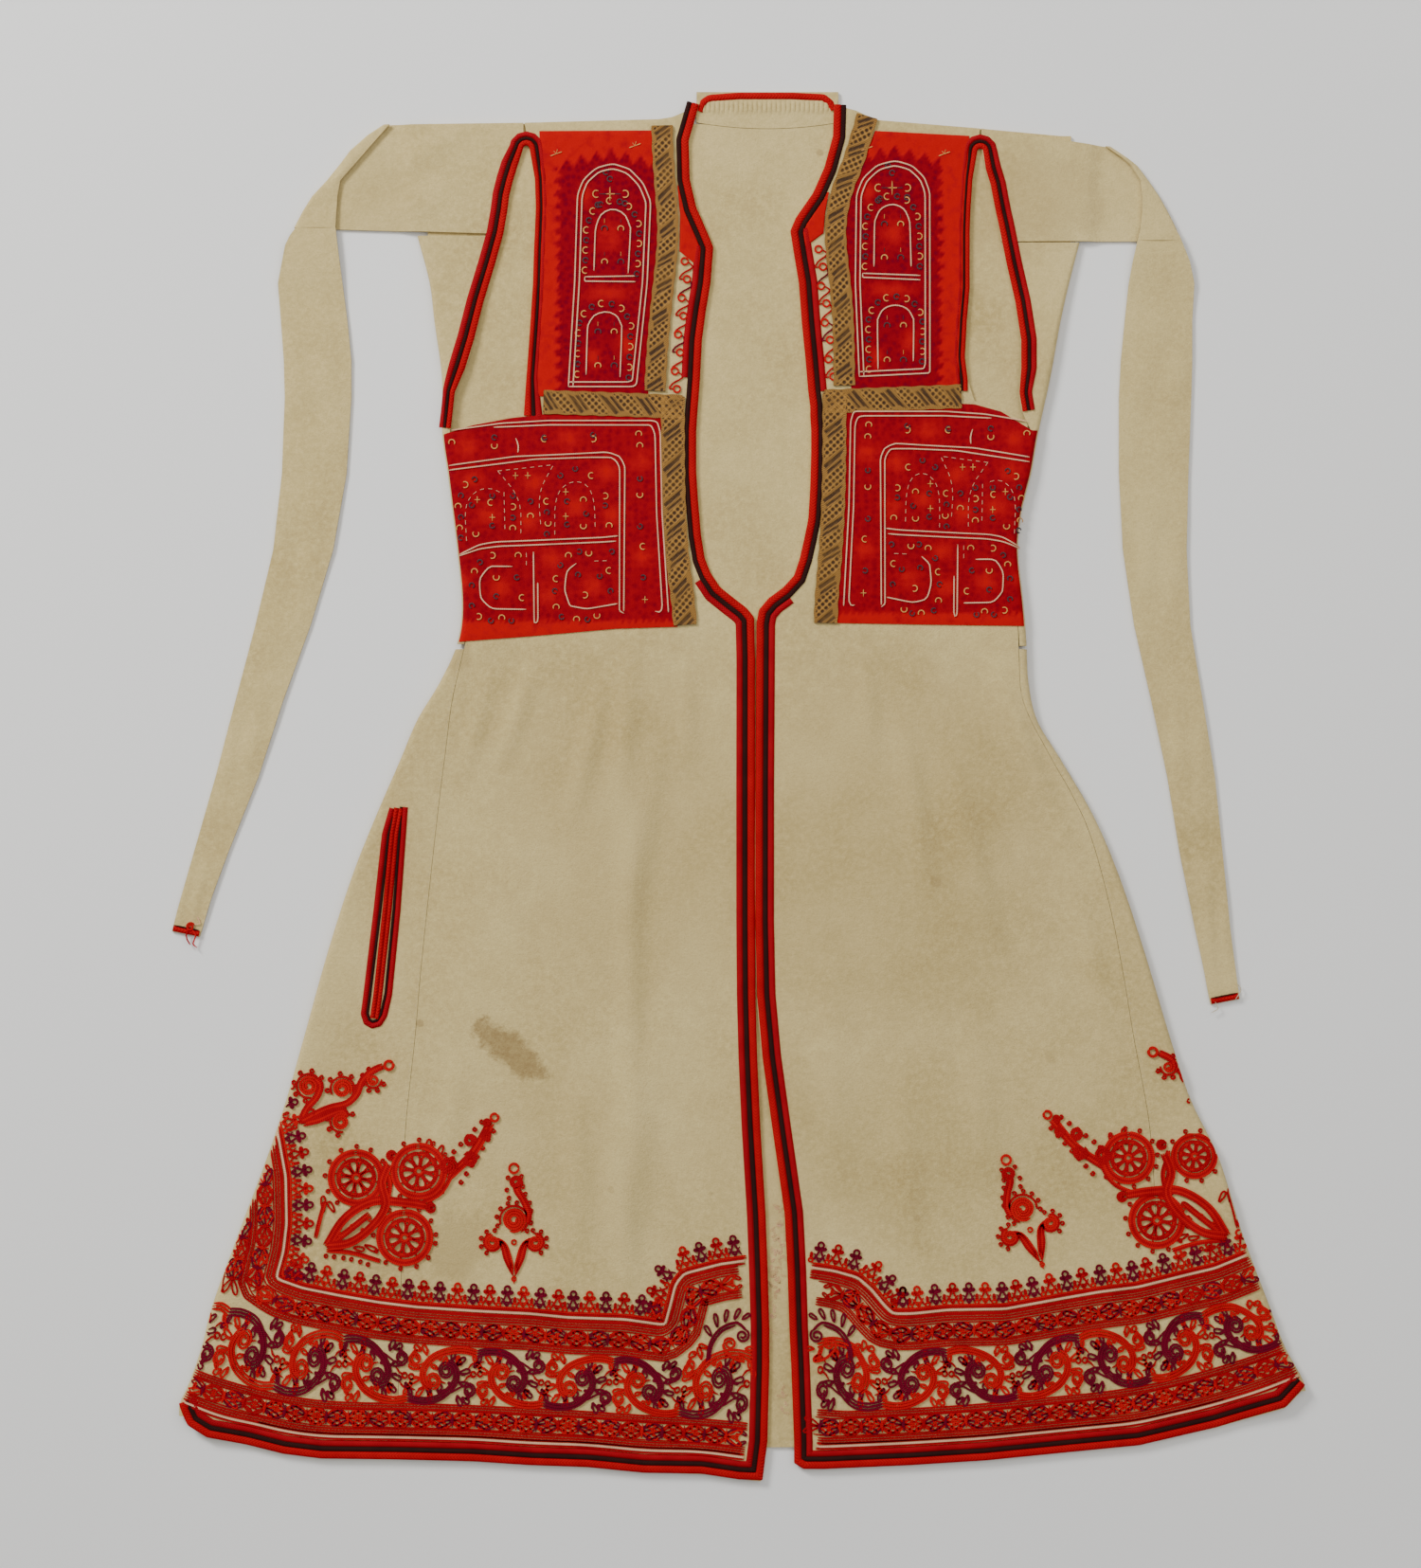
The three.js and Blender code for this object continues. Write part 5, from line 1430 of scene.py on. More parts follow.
def loop(x: float, y: float, length: float, width: float, tilt: float) -> Path:
    """Teardrop loop that starts and ends at a point.

    Args:
        x: its foot.
        y: its foot.
        length: how far it reaches.
        width: its width.
        tilt: its direction, in degrees.

    Returns:
        The loop's points.
    """
    t = np.linspace(0, 2 * math.pi, max(11, round(length * 1.9)))
    out = length * (1 - np.cos(t)) / 2
    wide = width / 2 * np.sin(t) * (0.35 + 0.65 * out / length) * 1.25
    angle = math.radians(tilt)
    return np.stack([x + out * math.cos(angle) - wide * math.sin(angle),
                     y + out * math.sin(angle) + wide * math.cos(angle)], axis=1)


def curve(*points: Sequence[float], step: float = 1.5) -> Path:
    """Smooth line through a few points."""
    rows = np.array(points, float)
    run = lengths(rows)
    columns = [Profile(tuple(run), tuple(rows[:, k])) for k in (0, 1)]
    at = np.linspace(0, run[-1], max(4, round(run[-1] / step) + 1))
    return np.stack([column.smooth(at) for column in columns], axis=1)


def turned(path: Path, x: float, y: float, angle: float, scale: float = 1.0,
           mirror: bool = False) -> Path:
    """Path drawn round the origin, put in its place.

    Args:
        path: the path.
        x: where its origin goes.
        y: where its origin goes.
        angle: how far it turns, in degrees.
        scale: its size.
        mirror: whether it is turned over first.

    Returns:
        The placed path.
    """
    c, s = math.cos(math.radians(angle)) * scale, math.sin(math.radians(angle)) * scale
    px = -path[:, 0] if mirror else path[:, 0]
    return np.stack([x + c * px - s * path[:, 1], y + s * px + c * path[:, 1]], axis=1)


@dataclass
class Stitching:
    """Cords laid on the cloth and sewn down, gathered by colour."""

    face: Height = SHAPE.top
    lift: float = 0.0
    clip: bool = True
    bend: float = 0.33
    reach: float = 4.2
    plump: float = 1.0
    laid: dict = field(default_factory=dict)

    def lay(self, path: Path, thread: Thread, radius: float = 0.75, lift: float = 0.0) -> None:
        """Lays one cord.

        Args:
            path: where it runs.
            thread: its thread.
            radius: its radius.
            lift: how far it stands above the cloth, over cords that it crosses.
        """
        path = np.asarray(path, float)
        for run in self.inside(path):
            if len(run) > 2:
                self.laid.setdefault(thread, []).append((self.thinned(run), radius * self.plump, lift))

    def thinned(self, path: Path) -> Path:
        """Path without the points where it runs nearly straight."""
        step = np.diff(path, axis=0)
        heading = np.unwrap(np.arctan2(step[:, 1], step[:, 0]))
        length = lengths(path)
        kept = [0]
        for i in range(1, len(path) - 1):
            turned_by = np.abs(heading[kept[-1]:i + 1] - heading[kept[-1]]).max()
            if turned_by > self.bend or length[i + 1] - length[kept[-1]] > self.reach:
                kept.append(i)
        return path[kept + [len(path) - 1]]

    def inside(self, path: Path) -> list[Path]:
        """Parts of a path that lie on the coat."""
        if not self.clip:
            return [path]
        x, y = path[:, 0], path[:, 1]
        good = (SHAPE.inset(x, y) > 0.9) & (y > SHAPE.hem.straight(x) + 4)
        if good.all():
            return [path]
        cuts = np.flatnonzero(np.diff(good.astype(int))) + 1
        return [part for part, keep in zip(np.split(path, cuts), np.split(good, cuts)) if keep[0]]

    def tube(self, path: Path, radius: float, lift: float) -> np.ndarray:
        """Rings of points round one cord."""
        left = normals(path)
        base = self.face(path[:, 0], path[:, 1]) + self.lift + lift + radius * 0.62
        angles = np.radians(np.array([-45, 45, 135, 225]))
        swell = np.ones(len(path))
        swell[[0, -1]] = 0.45
        out = (radius * swell)[:, None] * np.cos(angles)
        up = (radius * swell)[:, None] * np.sin(angles)
        return np.stack([path[:, :1] + left[:, :1] * out, path[:, 1:] + left[:, 1:] * out,
                         base[:, None] + up], axis=-1)

    def build(self, name: str, nodes: Sequence[str] = ()) -> list[bpy.types.Object]:
        """Makes one piece for each thread.

        Args:
            name: start of the pieces' names.
            nodes: solids whose place the piece of the middle red thread takes.

        Returns:
            The pieces.
        """
        pieces = []
        for thread, cords in self.laid.items():
            parts = []
            for path, radius, lift in cords:
                rings = self.tube(path, radius, lift)
                places = np.broadcast_arrays(lengths(path)[:, None], np.arange(4) * math.pi / 2)
                parts.append((rings.reshape(-1, 3), sweep(rings),
                              np.stack(places, axis=-1).reshape(-1, 2)))
            pieces.append(build_object(f"{name}_{thread.value.name}", parts, thread.value, "stitches",
                                       nodes if nodes and thread is Thread.MIDDLE else None, LENGTHWISE))
        return pieces


@dataclass
class HemBorder:
    """Embroidered border above the hem: crown, cords, chevrons, leaf bands and scrolls.

    Every band runs beside the upper cord or the lower edge. Distances are from the upper cord
    down, or from the hem up.
    """

    side: Side
    upper_leaf: tuple[float, float] = (9.1, 21.6)
    upper_chevrons: tuple[float, float] = (5.4, 24.6)
    lower_leaf: tuple[float, float] = (23.6, 36.8)
    lower_chevrons: tuple[float, float] = (20.6, 39.6)
    lower_cord: float = 16.6
    crown_pitch: float = 12.3
    pinch_reach: int = 7
    pinch_turn: float = 0.75
    scroll_cell: float = 50.0
    scroll_tall: float = 38.0
    flank_foot: float = -372.0

    def upper_line(self) -> Path:
        """Way of the upper ivory cord, from the side to the front edge."""
        if self.side is Side.LEFT:
            return self.crisp([(-352, -196), (-338, -259), (-333, -287), (-332.5, -322), (-335, -343),
                               (-340.5, -362.6), (-321.3, -369.6), (-293.3, -375.2), (-265.3, -380.1),
                               (-237.3, -383.6), (-195.3, -386.4), (-153.3, -388.5), (-125.3, -391.3),
                               (-83.3, -392.7), (-53.9, -396.9), (-49.7, -381.5), (-46.2, -367),
                               (-39.9, -359.1), (-13.3, -352.1), (6.5, -349.3)])
        return self.crisp([(425, -323), (378.5, -343), (350.7, -354.9), (322.7, -361.9), (294.7, -368.9),
                           (266.7, -372.4),
                        (238.7, -377.3), (196.7, -385), (154.7, -385.7), (128, -388.5), (114.1, -388.5),
                        (107.1, -381.5), (98.7, -371), (88.2, -361.9), (70.7, -357), (53.8, -354.5)])

    def crisp(self, points: Sequence[Sequence[float]]) -> Path:
        """Line whose corners are only just rounded."""
        return rounded(along(points, 4.0), 1.6, 1)

    def lower_line(self, ease_over: float) -> Path:
        """The hem's edge from the side to the front edge, evened out over a distance."""
        start, end, turn = (-450, 16.0, -384.0) if self.side is Side.LEFT else (455, 42.0, 388.0)
        x = np.arange(start, end, math.copysign(2.5, end - start))
        past = np.maximum((turn - x) * self.side.into, 0)
        y = SHAPE.hem.straight(np.where(past > 0, turn, x)) + past * 0.42
        reach = int(ease_over / 2.5)
        even = np.convolve(np.pad(y, reach, mode="reflect", reflect_type="odd"), np.ones(2 * reach + 1),
                           "valid")
        return np.stack([x, even / (2 * reach + 1)], axis=1)

    def below(self, distance: float) -> Path:
        """Line at a distance below the upper cord, kept clear of the front edge's braids."""
        return self.within(offset(self.coarse_upper(), distance, self.side.into))

    def coarse_upper(self) -> Path:
        """Upper line with few points, for moving sideways."""
        return along(self.upper_line(), 7.0)

    def above(self, distance: float) -> Path:
        """Line at a distance above the hem."""
        return self.within(offset(self.lower_line(distance * 0.9), distance, -self.side.into))

    def within(self, path: Path) -> Path:
        """Part of a line between the side and the front braids."""
        into = self.side.into
        edge = SHAPE.front_edge(self.side, path[:, 1])
        fold = SHAPE.side_fold(self.side, path[:, 1])
        path = path[((edge - path[:, 0]) * into > 15.2) & ((path[:, 0] - fold) * into > -6)]
        path = rounded(path, 1.6, 1)
        fold = SHAPE.side_fold(self.side, path[:, 1])
        return path[(path[:, 0] - fold) * into > 0.8]

    def chevrons(self, work: Stitching, path: Path) -> None:
        """Row of little arrowheads between two red lines."""
        line = along(path, 2.5)
        left = normals(line)
        ahead = np.stack([left[:, 1], -left[:, 0]], axis=1)
        for p, n, d in zip(line[1:-1], left[1:-1], ahead[1:-1]):
            for sign in (1, -1):
                foot = p + sign * n * 1.35 - d * 0.9
                work.lay(np.array([foot, (foot + p + d * 0.9) / 2, p + d * 0.9]), Thread.STRAW, 0.32,
                         0.4)
        for distance in (1.8, -1.8):
            work.lay(offset(path, distance), Thread.MIDDLE, 0.8)
        work.lay(path, Thread.MIDDLE, 0.8)

    def leaves(self, work: Stitching, path: Path, wide: float) -> None:
        """Band of pointed leaves meeting at knots, worked along a line.

        Args:
            work: where the cords are laid.
            path: middle line of the band.
            wide: width of the band.
        """
        run = along(path, 1.0)
        left = normals(run)
        pitch, half = 15.5, wide / 2
        for distance in (half - 0.2, -half + 0.2):
            work.lay(offset(along(path, 3.0), distance), Thread.MIDDLE, 0.6)
        for k, at in enumerate(np.arange(4, len(run) - 4, pitch / 2)):
            at = int(at)
            p, n = run[at], left[at]
            tilt = math.degrees(math.atan2(n[1], n[0]))
            reds = (Thread.CRIMSON, Thread.BRIGHT, Thread.MIDDLE, Thread.BRIGHT, Thread.CRIMSON,
                    Thread.MIDDLE)
            thread = reds[(k // 2) % 6]
            if k % 2:
                for j, angle in enumerate((66, -66, 114, -114)):
                    own = Thread.CRIMSON if j == (k // 2) % 5 else (Thread.BRIGHT,
                                                                    Thread.MIDDLE)[(k // 2 + j) % 2]
                    work.lay(loop(*p, half * 1.9, 3.8, tilt + angle), own, 0.78, 0.12)
                work.lay(np.array([p + n * half * s for s in (-0.8, -0.3, 0.3, 0.8)]), thread, 0.85, 0.5)
                work.lay(arc(*p, 1.1, 0, 330), thread, 0.75, 0.7)
            else:
                for sign in (1, -1):
                    foot = p + sign * n * half * 0.92
                    for angle in (-62, 62):
                        work.lay(loop(*foot, half * 1.2, 2.4, tilt + angle + (180 if sign > 0 else 0)),
                                 reds[(k // 2 + 2) % 6], 0.75, 0.05)
                work.lay(loop(*(p - n * half * 0.5), half * 0.95, 2.0, tilt), Thread.BRIGHT, 0.7, 0.25)

    def crown(self, work: Stitching) -> None:
        """Row of picots over the upper cord: crossed legs with a trefoil of rings on top."""
        base = offset(self.upper_line(), 2.4, -self.side.into)
        run = along(base, 1.0)
        work.lay(offset(self.upper_line(), 1.8, -self.side.into), Thread.MIDDLE, 0.85)
        work.lay(offset(self.upper_line(), 3.4, -self.side.into), Thread.BRIGHT, 0.85)
        out = -normals(run) * self.side.into
        spots = np.arange(5, len(run) - 4, self.crown_pitch).astype(int)
        for k, at in enumerate(spots):
            p, n = run[at], out[at] * -1.0
            if k and self.pinched(out, at):
                continue
            tilt = math.degrees(math.atan2(n[1], n[0])) - 90
            thread = (Thread.BRIGHT, Thread.CRIMSON, Thread.MIDDLE, Thread.CRIMSON)[k % 4]
            shapes = [
                arc(0, 14.8, 2.1, -90, 270), loop(-0.6, 11.4, 3.6, 1.6, 165),
                loop(0.6, 11.4, 3.6, 1.6, 15),
                curve((0, 12.4), (-1.6, 8.2), (-4.9, 2.2)), curve((0, 12.4), (1.6, 8.2), (4.9, 2.2)),
                curve((-4.2, 8.4), (-2.4, 6.2), (-0.4, 2.0)), curve((4.2, 8.4), (2.4, 6.2), (0.4, 2.0)),
                arc(0, 4.2, 1.2, 90, 450),
            ]
            for i, shape in enumerate(shapes):
                own = Thread.MIDDLE if i in (3, 4) and k % 2 == 0 else thread
                work.lay(turned(shape, *p, tilt), own, 0.95, 0.3 if i in (5, 6) else 0.0)
            work.lay(turned(arc(-6.1, 3.0, 1.6, -90, 270), *p, tilt), Thread.BRIGHT, 0.85)
            work.lay(turned(loop(-6.1, 3.6, 5.2, 1.8, 90), *p, tilt), Thread.MIDDLE, 0.75)

    def pinched(self, out: Path, at: int) -> bool:
        """Whether a picot would stand into its neighbour at an inner corner.

        Args:
            out: directions away from the border, a millimetre apart.
            at: index of the picot's direction.

        Returns:
            True where the directions turn towards each other too fast.
        """
        before, after = out[max(at - self.pinch_reach, 0)], out[min(at + self.pinch_reach, len(out) - 1)]
        turn = before[0] * after[1] - before[1] * after[0]
        return turn * self.side.into < -self.pinch_turn

    def scroll(self, work: Stitching, place: Callable[[Path], Path], flip: bool) -> None:
        """One cell of the scroll: a dark stem over the top and a bright one along the foot.

        Args:
            work: where the cords are laid.
            place: puts a path drawn in the cell onto the coat.
            flip: whether the cell is upside down.
        """
        sign = -1.0 if flip else 1.0

        def put(path: Path, thread: Thread, radius: float = 0.8, lift: float = 0.0) -> None:
            """Lays a path of the cell."""
            work.lay(place(path * np.array([1.0, sign])), thread, radius, lift)

        dark = curve((-1, 15.5), (10, 17.4), (22, 15.6), (31, 9), (35.5, 1), (33, -6.5), (27.5, -8.5))
        light = curve((51, -15.5), (40, -17.4), (28, -15.8), (17, -10.5), (11, -2), (12.5, 6), (18, 9.5))
        for stem, thread in ((dark, Thread.CRIMSON), (light, Thread.BRIGHT)):
            put(stem, thread, 1.05, 0.15)
            put(offset(stem, 1.8), thread, 0.95)
            put(offset(stem, -1.8), thread, 0.95)
        put(spiral(27.8, -3.0, 5.8, -90, -2.2), Thread.CRIMSON, 1.0, 0.1)
        put(spiral(18.2, 4.0, 5.8, 90, -2.2), Thread.BRIGHT, 1.0, 0.1)
        put(spiral(5.2, -9.5, 5.2, 30, 2.0), Thread.BRIGHT, 1.0)
        put(curve((9, -6), (14, -9), (20, -13)), Thread.BRIGHT, 0.85)
        put(spiral(45.0, 9.6, 5.2, 210, 2.0), Thread.CRIMSON, 1.0)
        put(curve((41.2, 6), (37, 8.5), (31, 12)), Thread.CRIMSON, 0.85)
        dark_fronds = ((36, 13, 7, 62), (39.5, 14.5, 6, 30), (37.2, 4.5, 7.2, 12), (37, -1.5, 7.4, -18),
                       (35, -7, 7.2, -40), (31.5, -9.6, 6.4, -75), (22, 12.3, 5.6, -70),
                       (16, 14, 6, -100))
        light_fronds = ((14, -12.5, 6.5, 242), (9.5, -15, 5.4, 210), (9, -3.5, 7.6, 190),
                        (9.5, 2.5, 7.6, 158), (12.0, 8.4, 7.2, 132), (17, 11, 6.2, 100),
                        (28, -12.4, 5.6, 105), (36, -13.6, 6, 82))
        for fronds, thread in ((dark_fronds, Thread.CRIMSON), (light_fronds, Thread.BRIGHT)):
            for x, y, length, tilt in fronds:
                put(loop(x, y, length * 1.12, 3.4, tilt), thread, 0.9)
                put(loop(x, y, length * 0.62, 1.2, tilt + 24), thread, 0.8)
        for x, y, tilt, thread in ((3, 15, 250, 0), (1, 10, 225, 0), (47, -15, 70, 1), (49, -10, 45, 1),
                                   (24, -15, 100, 1), (26, 15, 280, 0), (43, 16, 300, 0),
                                   (6, -16, 120, 1),
                                   (22, -4, 200, 1), (29, 5, 20, 0)):
            put(loop(x, y, 5.4, 2.6, tilt), Thread.BRIGHT if thread else Thread.CRIMSON, 0.9)
        for x, y, bend in ((2, 8, 1), (46.5, -7, -1), (24.4, 3, 1), (44, 1.6, -1)):
            put(curve((x - 3, y - 2 * bend), (x, y + 1.5 * bend), (x + 3.4, y + 2.4 * bend)),
                Thread.MIDDLE, 0.9)
        for x, y in ((2.5, 2.0), (47.5, -1.5)):
            put(arc(x, y, 1.8, 0, 360), Thread.MIDDLE, 0.9)
        put(curve((2, 16.1), (8, 17.0), (14, 17.0)), Thread.STRAW, 0.55, 0.85)
        put(curve((48, -16.1), (42, -17.0), (36, -16.9)), Thread.STRAW, 0.55, 0.85)

    def scroll_band(self, work: Stitching) -> None:
        """Scrolls along the middle of the border, stretched to fit between its chevron rows."""
        hem = along(offset(self.lower_line(45.0), 41.6, -self.side.into), 1.0)
        left = normals(hem) * self.side.into
        edge = SHAPE.front_edge(self.side, hem[:, 1])
        room = (edge - hem[:, 0]) * self.side.into
        last = int(np.flatnonzero(room > 15.5)[-1])
        cells = math.ceil(last / self.scroll_cell)
        roof = self.below(27.4)
        roof = roof[roof[:, 1] < self.flank_foot]
        roof = roof[np.argsort(roof[:, 0])]
        tall = np.interp(hem[:, 0], roof[:, 0], roof[:, 1]) - hem[:, 1]
        tall = np.clip(tall * np.abs(left[:, 1]) - 1.0, 34.0, 52.0)
        for k in range(cells):
            start = last - (k + 1) * self.scroll_cell

            def place(path: Path, start: float = start) -> Path:
                """Bends a path of the cell along the band."""
                index = np.clip(start + np.clip(path[:, 0], -2, 53), 0, len(hem) - 1)
                columns = [np.interp(index, np.arange(len(hem)), hem[:, j]) for j in (0, 1)]
                side = [np.interp(index, np.arange(len(hem)), left[:, j]) for j in (0, 1)]
                rise = (path[:, 1] / self.scroll_tall + 0.515) * np.interp(index, np.arange(len(hem)),
                                                                           tall)
                return np.stack([columns[0] + side[0] * rise, columns[1] + side[1] * rise], axis=1)

            self.scroll(work, place, k % 2 == 0)

    def corner_sprig(self, work: Stitching) -> None:
        """Extra scroll in the raised block beside the front edge."""
        into = self.side.into
        x = float(SHAPE.front_edge(self.side, -405)) - into * 34
        y = -402.0

        def put(path: Path, thread: Thread, radius: float = 0.8) -> None:
            """Lays a path of the sprig."""
            work.lay(turned(path, x, y, 0, 1.12, self.side is Side.RIGHT), thread, radius + 0.2)

        put(curve((-11, -21), (-9, -8), (-2, 2), (9, 6), (15, 1)), Thread.CRIMSON, 1.0)
        put(curve((-9.4, -21), (-7.4, -9), (-1, 0.2), (8, 4.2)), Thread.CRIMSON, 0.8)
        put(spiral(12.5, -2.5, 4.6, 60, -1.6), Thread.CRIMSON)
        put(curve((14, -20), (6, -17), (0, -10), (1, -6)), Thread.BRIGHT, 1.0)
        put(spiral(4.2, -8, 4.2, 160, -1.5), Thread.BRIGHT)
        for px, py, length, tilt in ((-8, -3, 8, 120), (-4, 3, 9, 100), (1, 6, 8.5, 80), (7, 8, 8, 62),
                                     (12, 8, 6.5, 35), (-9.5, -11, 7, 160), (10, -14, 6, -60),
                                     (14, -11, 6, 0)):
            put(loop(px, py, length, 2.8, tilt), Thread.CRIMSON if py > -9 else Thread.BRIGHT, 0.7)

    def build(self) -> list[bpy.types.Object]:
        """Makes the border.

        Returns:
            Its pieces, one for each thread.
        """
        work = Stitching(plump=1.14)
        turn = self.side.into
        upper = self.within(self.upper_line())
        work.lay(upper, Thread.IVORY, 0.95)
        work.lay(offset(upper, 2.2, turn), Thread.MIDDLE, 0.9)
        work.lay(self.below(self.upper_leaf[0] - 1.5), Thread.MIDDLE, 0.7)
        for distance in self.upper_chevrons:
            self.chevrons(work, self.below(distance))
        wide = self.upper_leaf[1] - self.upper_leaf[0]
        self.leaves(work, self.below(sum(self.upper_leaf) / 2), wide)
        wide = self.lower_leaf[1] - self.lower_leaf[0]
        self.leaves(work, self.above(sum(self.lower_leaf) / 2), wide)
        flank = self.below(31.5)
        flank = flank[(flank[:, 1] > self.flank_foot) & ((flank[:, 0] - upper[0, 0]) * turn < 0)]
        if len(flank) > 12:
            self.leaves(work, flank, wide)
        for distance in self.lower_chevrons:
            self.chevrons(work, self.above(distance))
        work.lay(self.above(self.lower_cord), Thread.IVORY, 0.9)
        work.lay(self.above(18.4), Thread.MIDDLE, 0.8)
        work.lay(self.above(14.8), Thread.MIDDLE, 0.8)
        self.crown(work)
        self.scroll_band(work)
        self.corner_sprig(work)
        word = self.side.word
        return work.build(f"hem_stitches_{word}", (f"hem_border_{word}",))


@dataclass
class SkirtMotifs:
    """Rosettes, trees and sprays worked in cord on the skirt of one side."""

    side: Side

    def ring(self, work: Stitching, x: float, y: float, radius: float, petals: int) -> None:
        """One rosette: a flower inside rings of cord, with picots all round.

        Args:
            work: where the cords are laid.
            x: its centre.
            y: its centre.
            radius: its radius.
            petals: number of petals.
        """
        for share, thread in ((1.0, Thread.BRIGHT), (0.92, Thread.MIDDLE), (0.84, Thread.BRIGHT),
                              (0.70, Thread.MIDDLE), (0.63, Thread.BRIGHT)):
            work.lay(arc(x, y, radius * share - 0.8, 90, 450), thread, 0.95)
        for k in range(petals):
            angle = 2 * math.pi * (k + 0.5) / petals + 0.2
            c, s = math.cos(angle), math.sin(angle)
            spoke = np.array([(x + radius * r * c, y + radius * r * s) for r in (0.66, 0.74, 0.82, 0.9)])
            work.lay(spoke, Thread.MIDDLE, 0.8, 0.2)
            tilt = 360 * k / petals + 12
            px = x + radius * 0.14 * math.cos(math.radians(tilt))
            py = y + radius * 0.14 * math.sin(math.radians(tilt))
            work.lay(loop(px, py, radius * 0.47, radius * 0.30, tilt), Thread.MIDDLE, 0.95, 0.2)
        work.lay(arc(x, y, radius * 0.12, 0, 360, 0.9), Thread.BRIGHT, 0.9, 0.5)
        self.picots(work, arc(x, y, radius + 0.2, 0, 360), 10.6)

    def picots(self, work: Stitching, path: Path, pitch: float, side: int = 1) -> None:
        """Small rings standing along the outside of a path."""
        run = along(path, 1.0)
        out = -normals(run) * side
        for at in np.arange(2, len(run) - 1, pitch):
            spot = run[int(at)] + out[int(at)] * 1.9
            work.lay(arc(*spot, 1.25, 0, 350, 0.9), Thread.MIDDLE, 0.75)

    def knob(self, work: Stitching, x: float, y: float, radius: float = 4.0) -> None:
        """Tight spiral that looks solid."""
        for share in (1.0, 0.55, 0.15):
            work.lay(arc(x, y, max(radius * share - 0.7, 0.4), 0, 360, 0.9), Thread.MIDDLE, 0.95,
                     0.6 * (1 - share))

    def stem(self, work: Stitching, *points: Sequence[float], cords: int = 2, lift: float = 0.0) -> Path:
        """Stem of cords laid side by side.

        Args:
            work: where the cords are laid.
            points: places along it.
            cords: number of cords.
            lift: height above the cloth where it crosses others.

        Returns:
            The middle of the stem.
        """
        path = curve(*points)
        for k in range(cords):
            thread = Thread.BRIGHT if k % 2 else Thread.MIDDLE
            work.lay(offset(path, (k - (cords - 1) / 2) * 1.6), thread, 0.85, lift)
        return path

    def finial(self, work: Stitching, start: tuple[float, float], end: tuple[float, float],
               bend: int) -> None:
        """Chain of curls that grow smaller towards a ring at the tip."""
        a, b = np.array(start), np.array(end)
        span = float(np.linalg.norm(b - a))
        tilt = math.degrees(math.atan2(b[1] - a[1], b[0] - a[0]))

        def put(path: Path, thread: Thread, radius: float = 0.85) -> None:
            """Lays a path drawn along the finial."""
            work.lay(turned(path, *a, tilt), thread, radius)

        self.stem(work, tuple(a), tuple(a + (b - a) * 0.45 + np.array([(b - a)[1],
                                                                       -(b - a)[0]]) * 0.06 * bend),
                  tuple(a + (b - a) * 0.92), cords=4)
        for share, radius, sign in ((0.12, 6.4, 1), (0.36, 5.6, -1), (0.56, 4.8, 1), (0.74, 3.8, -1),
                                    (0.88, 2.8, 1)):
            put(spiral(span * share, sign * bend * radius * 0.8, radius, -90 * sign * bend, 2.4 * sign),
                Thread.MIDDLE, 1.0)
        put(arc(span, 0, 2.8, 0, 360), Thread.BRIGHT, 1.0)
        for share in np.linspace(0.05, 0.85, 7):
            for sign in (1, -1):
                width = 2.4 + 5.4 * (1 - share)
                put(arc(span * share, sign * (width + 2.2), 1.3, 0, 350, 0.9), Thread.MIDDLE, 0.85)

    def tree(self, work: Stitching, x: float, y: float, lean: float) -> None:
        """Small flowering tree standing on the crown.

        Args:
            work: where the cords are laid.
            x: its foot.
            y: its foot.
            lean: how far it leans, in degrees.
        """

        def put(path: Path, thread: Thread = Thread.MIDDLE, radius: float = 0.85,
                lift: float = 0.0) -> None:
            """Lays a path drawn with the tree's foot at the origin."""
            work.lay(turned(path, x, y, lean, 1.0, self.side is Side.RIGHT), thread, radius, lift)

        for sign in (1, -1):
            for inset, thread in ((-1.4, Thread.MIDDLE), (0.2, Thread.BRIGHT), (1.8, Thread.MIDDLE),
                                  (3.3, Thread.BRIGHT)):
                put(curve((0.6 * sign, 1 + inset), (sign * (5.4 - inset), 12),
                          (sign * (8.6 - inset * 0.8), 23),
                          (sign * (13 - inset * 0.4), 27.5)), thread)
            put(spiral(sign * 15.6, 24.4, 5.6, 90, -2.2 * sign), Thread.BRIGHT, 1.0)
            put(spiral(sign * 15.6, 24.4, 6.9, 100, -0.8 * sign, 0.85), Thread.MIDDLE)
            for angle in (-60, -20, 20, 60, 100):
                a = math.radians(angle)
                put(arc(sign * (15.6 + 9.0 * math.cos(a)), 24.4 + 9.0 * math.sin(a), 1.25, 0, 350, 0.9),
                    radius=0.75)
        put(arc(0, 24.5, 1.7, 0, 360, 0.9), Thread.BRIGHT, 0.7)
        put(spiral(0, 41, 8.8, 250, 3.4, 0.2), Thread.BRIGHT, 1.0)
        put(arc(0, 41, 10.4, -60, 200), Thread.MIDDLE, 0.9)
        for angle in range(-40, 230, 30):
            a = math.radians(angle)
            put(arc(12.8 * math.cos(a), 41 + 12.8 * math.sin(a), 1.25, 0, 350, 0.9), radius=0.75)
        put(curve((9.6, 37), (10.6, 46), (6.6, 56), (2.2, 63), (1.4, 68)), Thread.BRIGHT, 1.0)
        put(curve((8, 37), (9, 45.6), (5, 55.4), (0.6, 62), (-0.4, 67)), Thread.MIDDLE, 0.9)
        put(spiral(1.4, 68.6, 5.0, -40, 2.2), Thread.MIDDLE, 1.0)
        put(curve((11.4, 37), (12.4, 46.5), (8.4, 57), (4.0, 63.5), (3.2, 67)), Thread.MIDDLE, 1.0)
        put(arc(0, 79, 3.4, 0, 360), Thread.BRIGHT, 0.95)
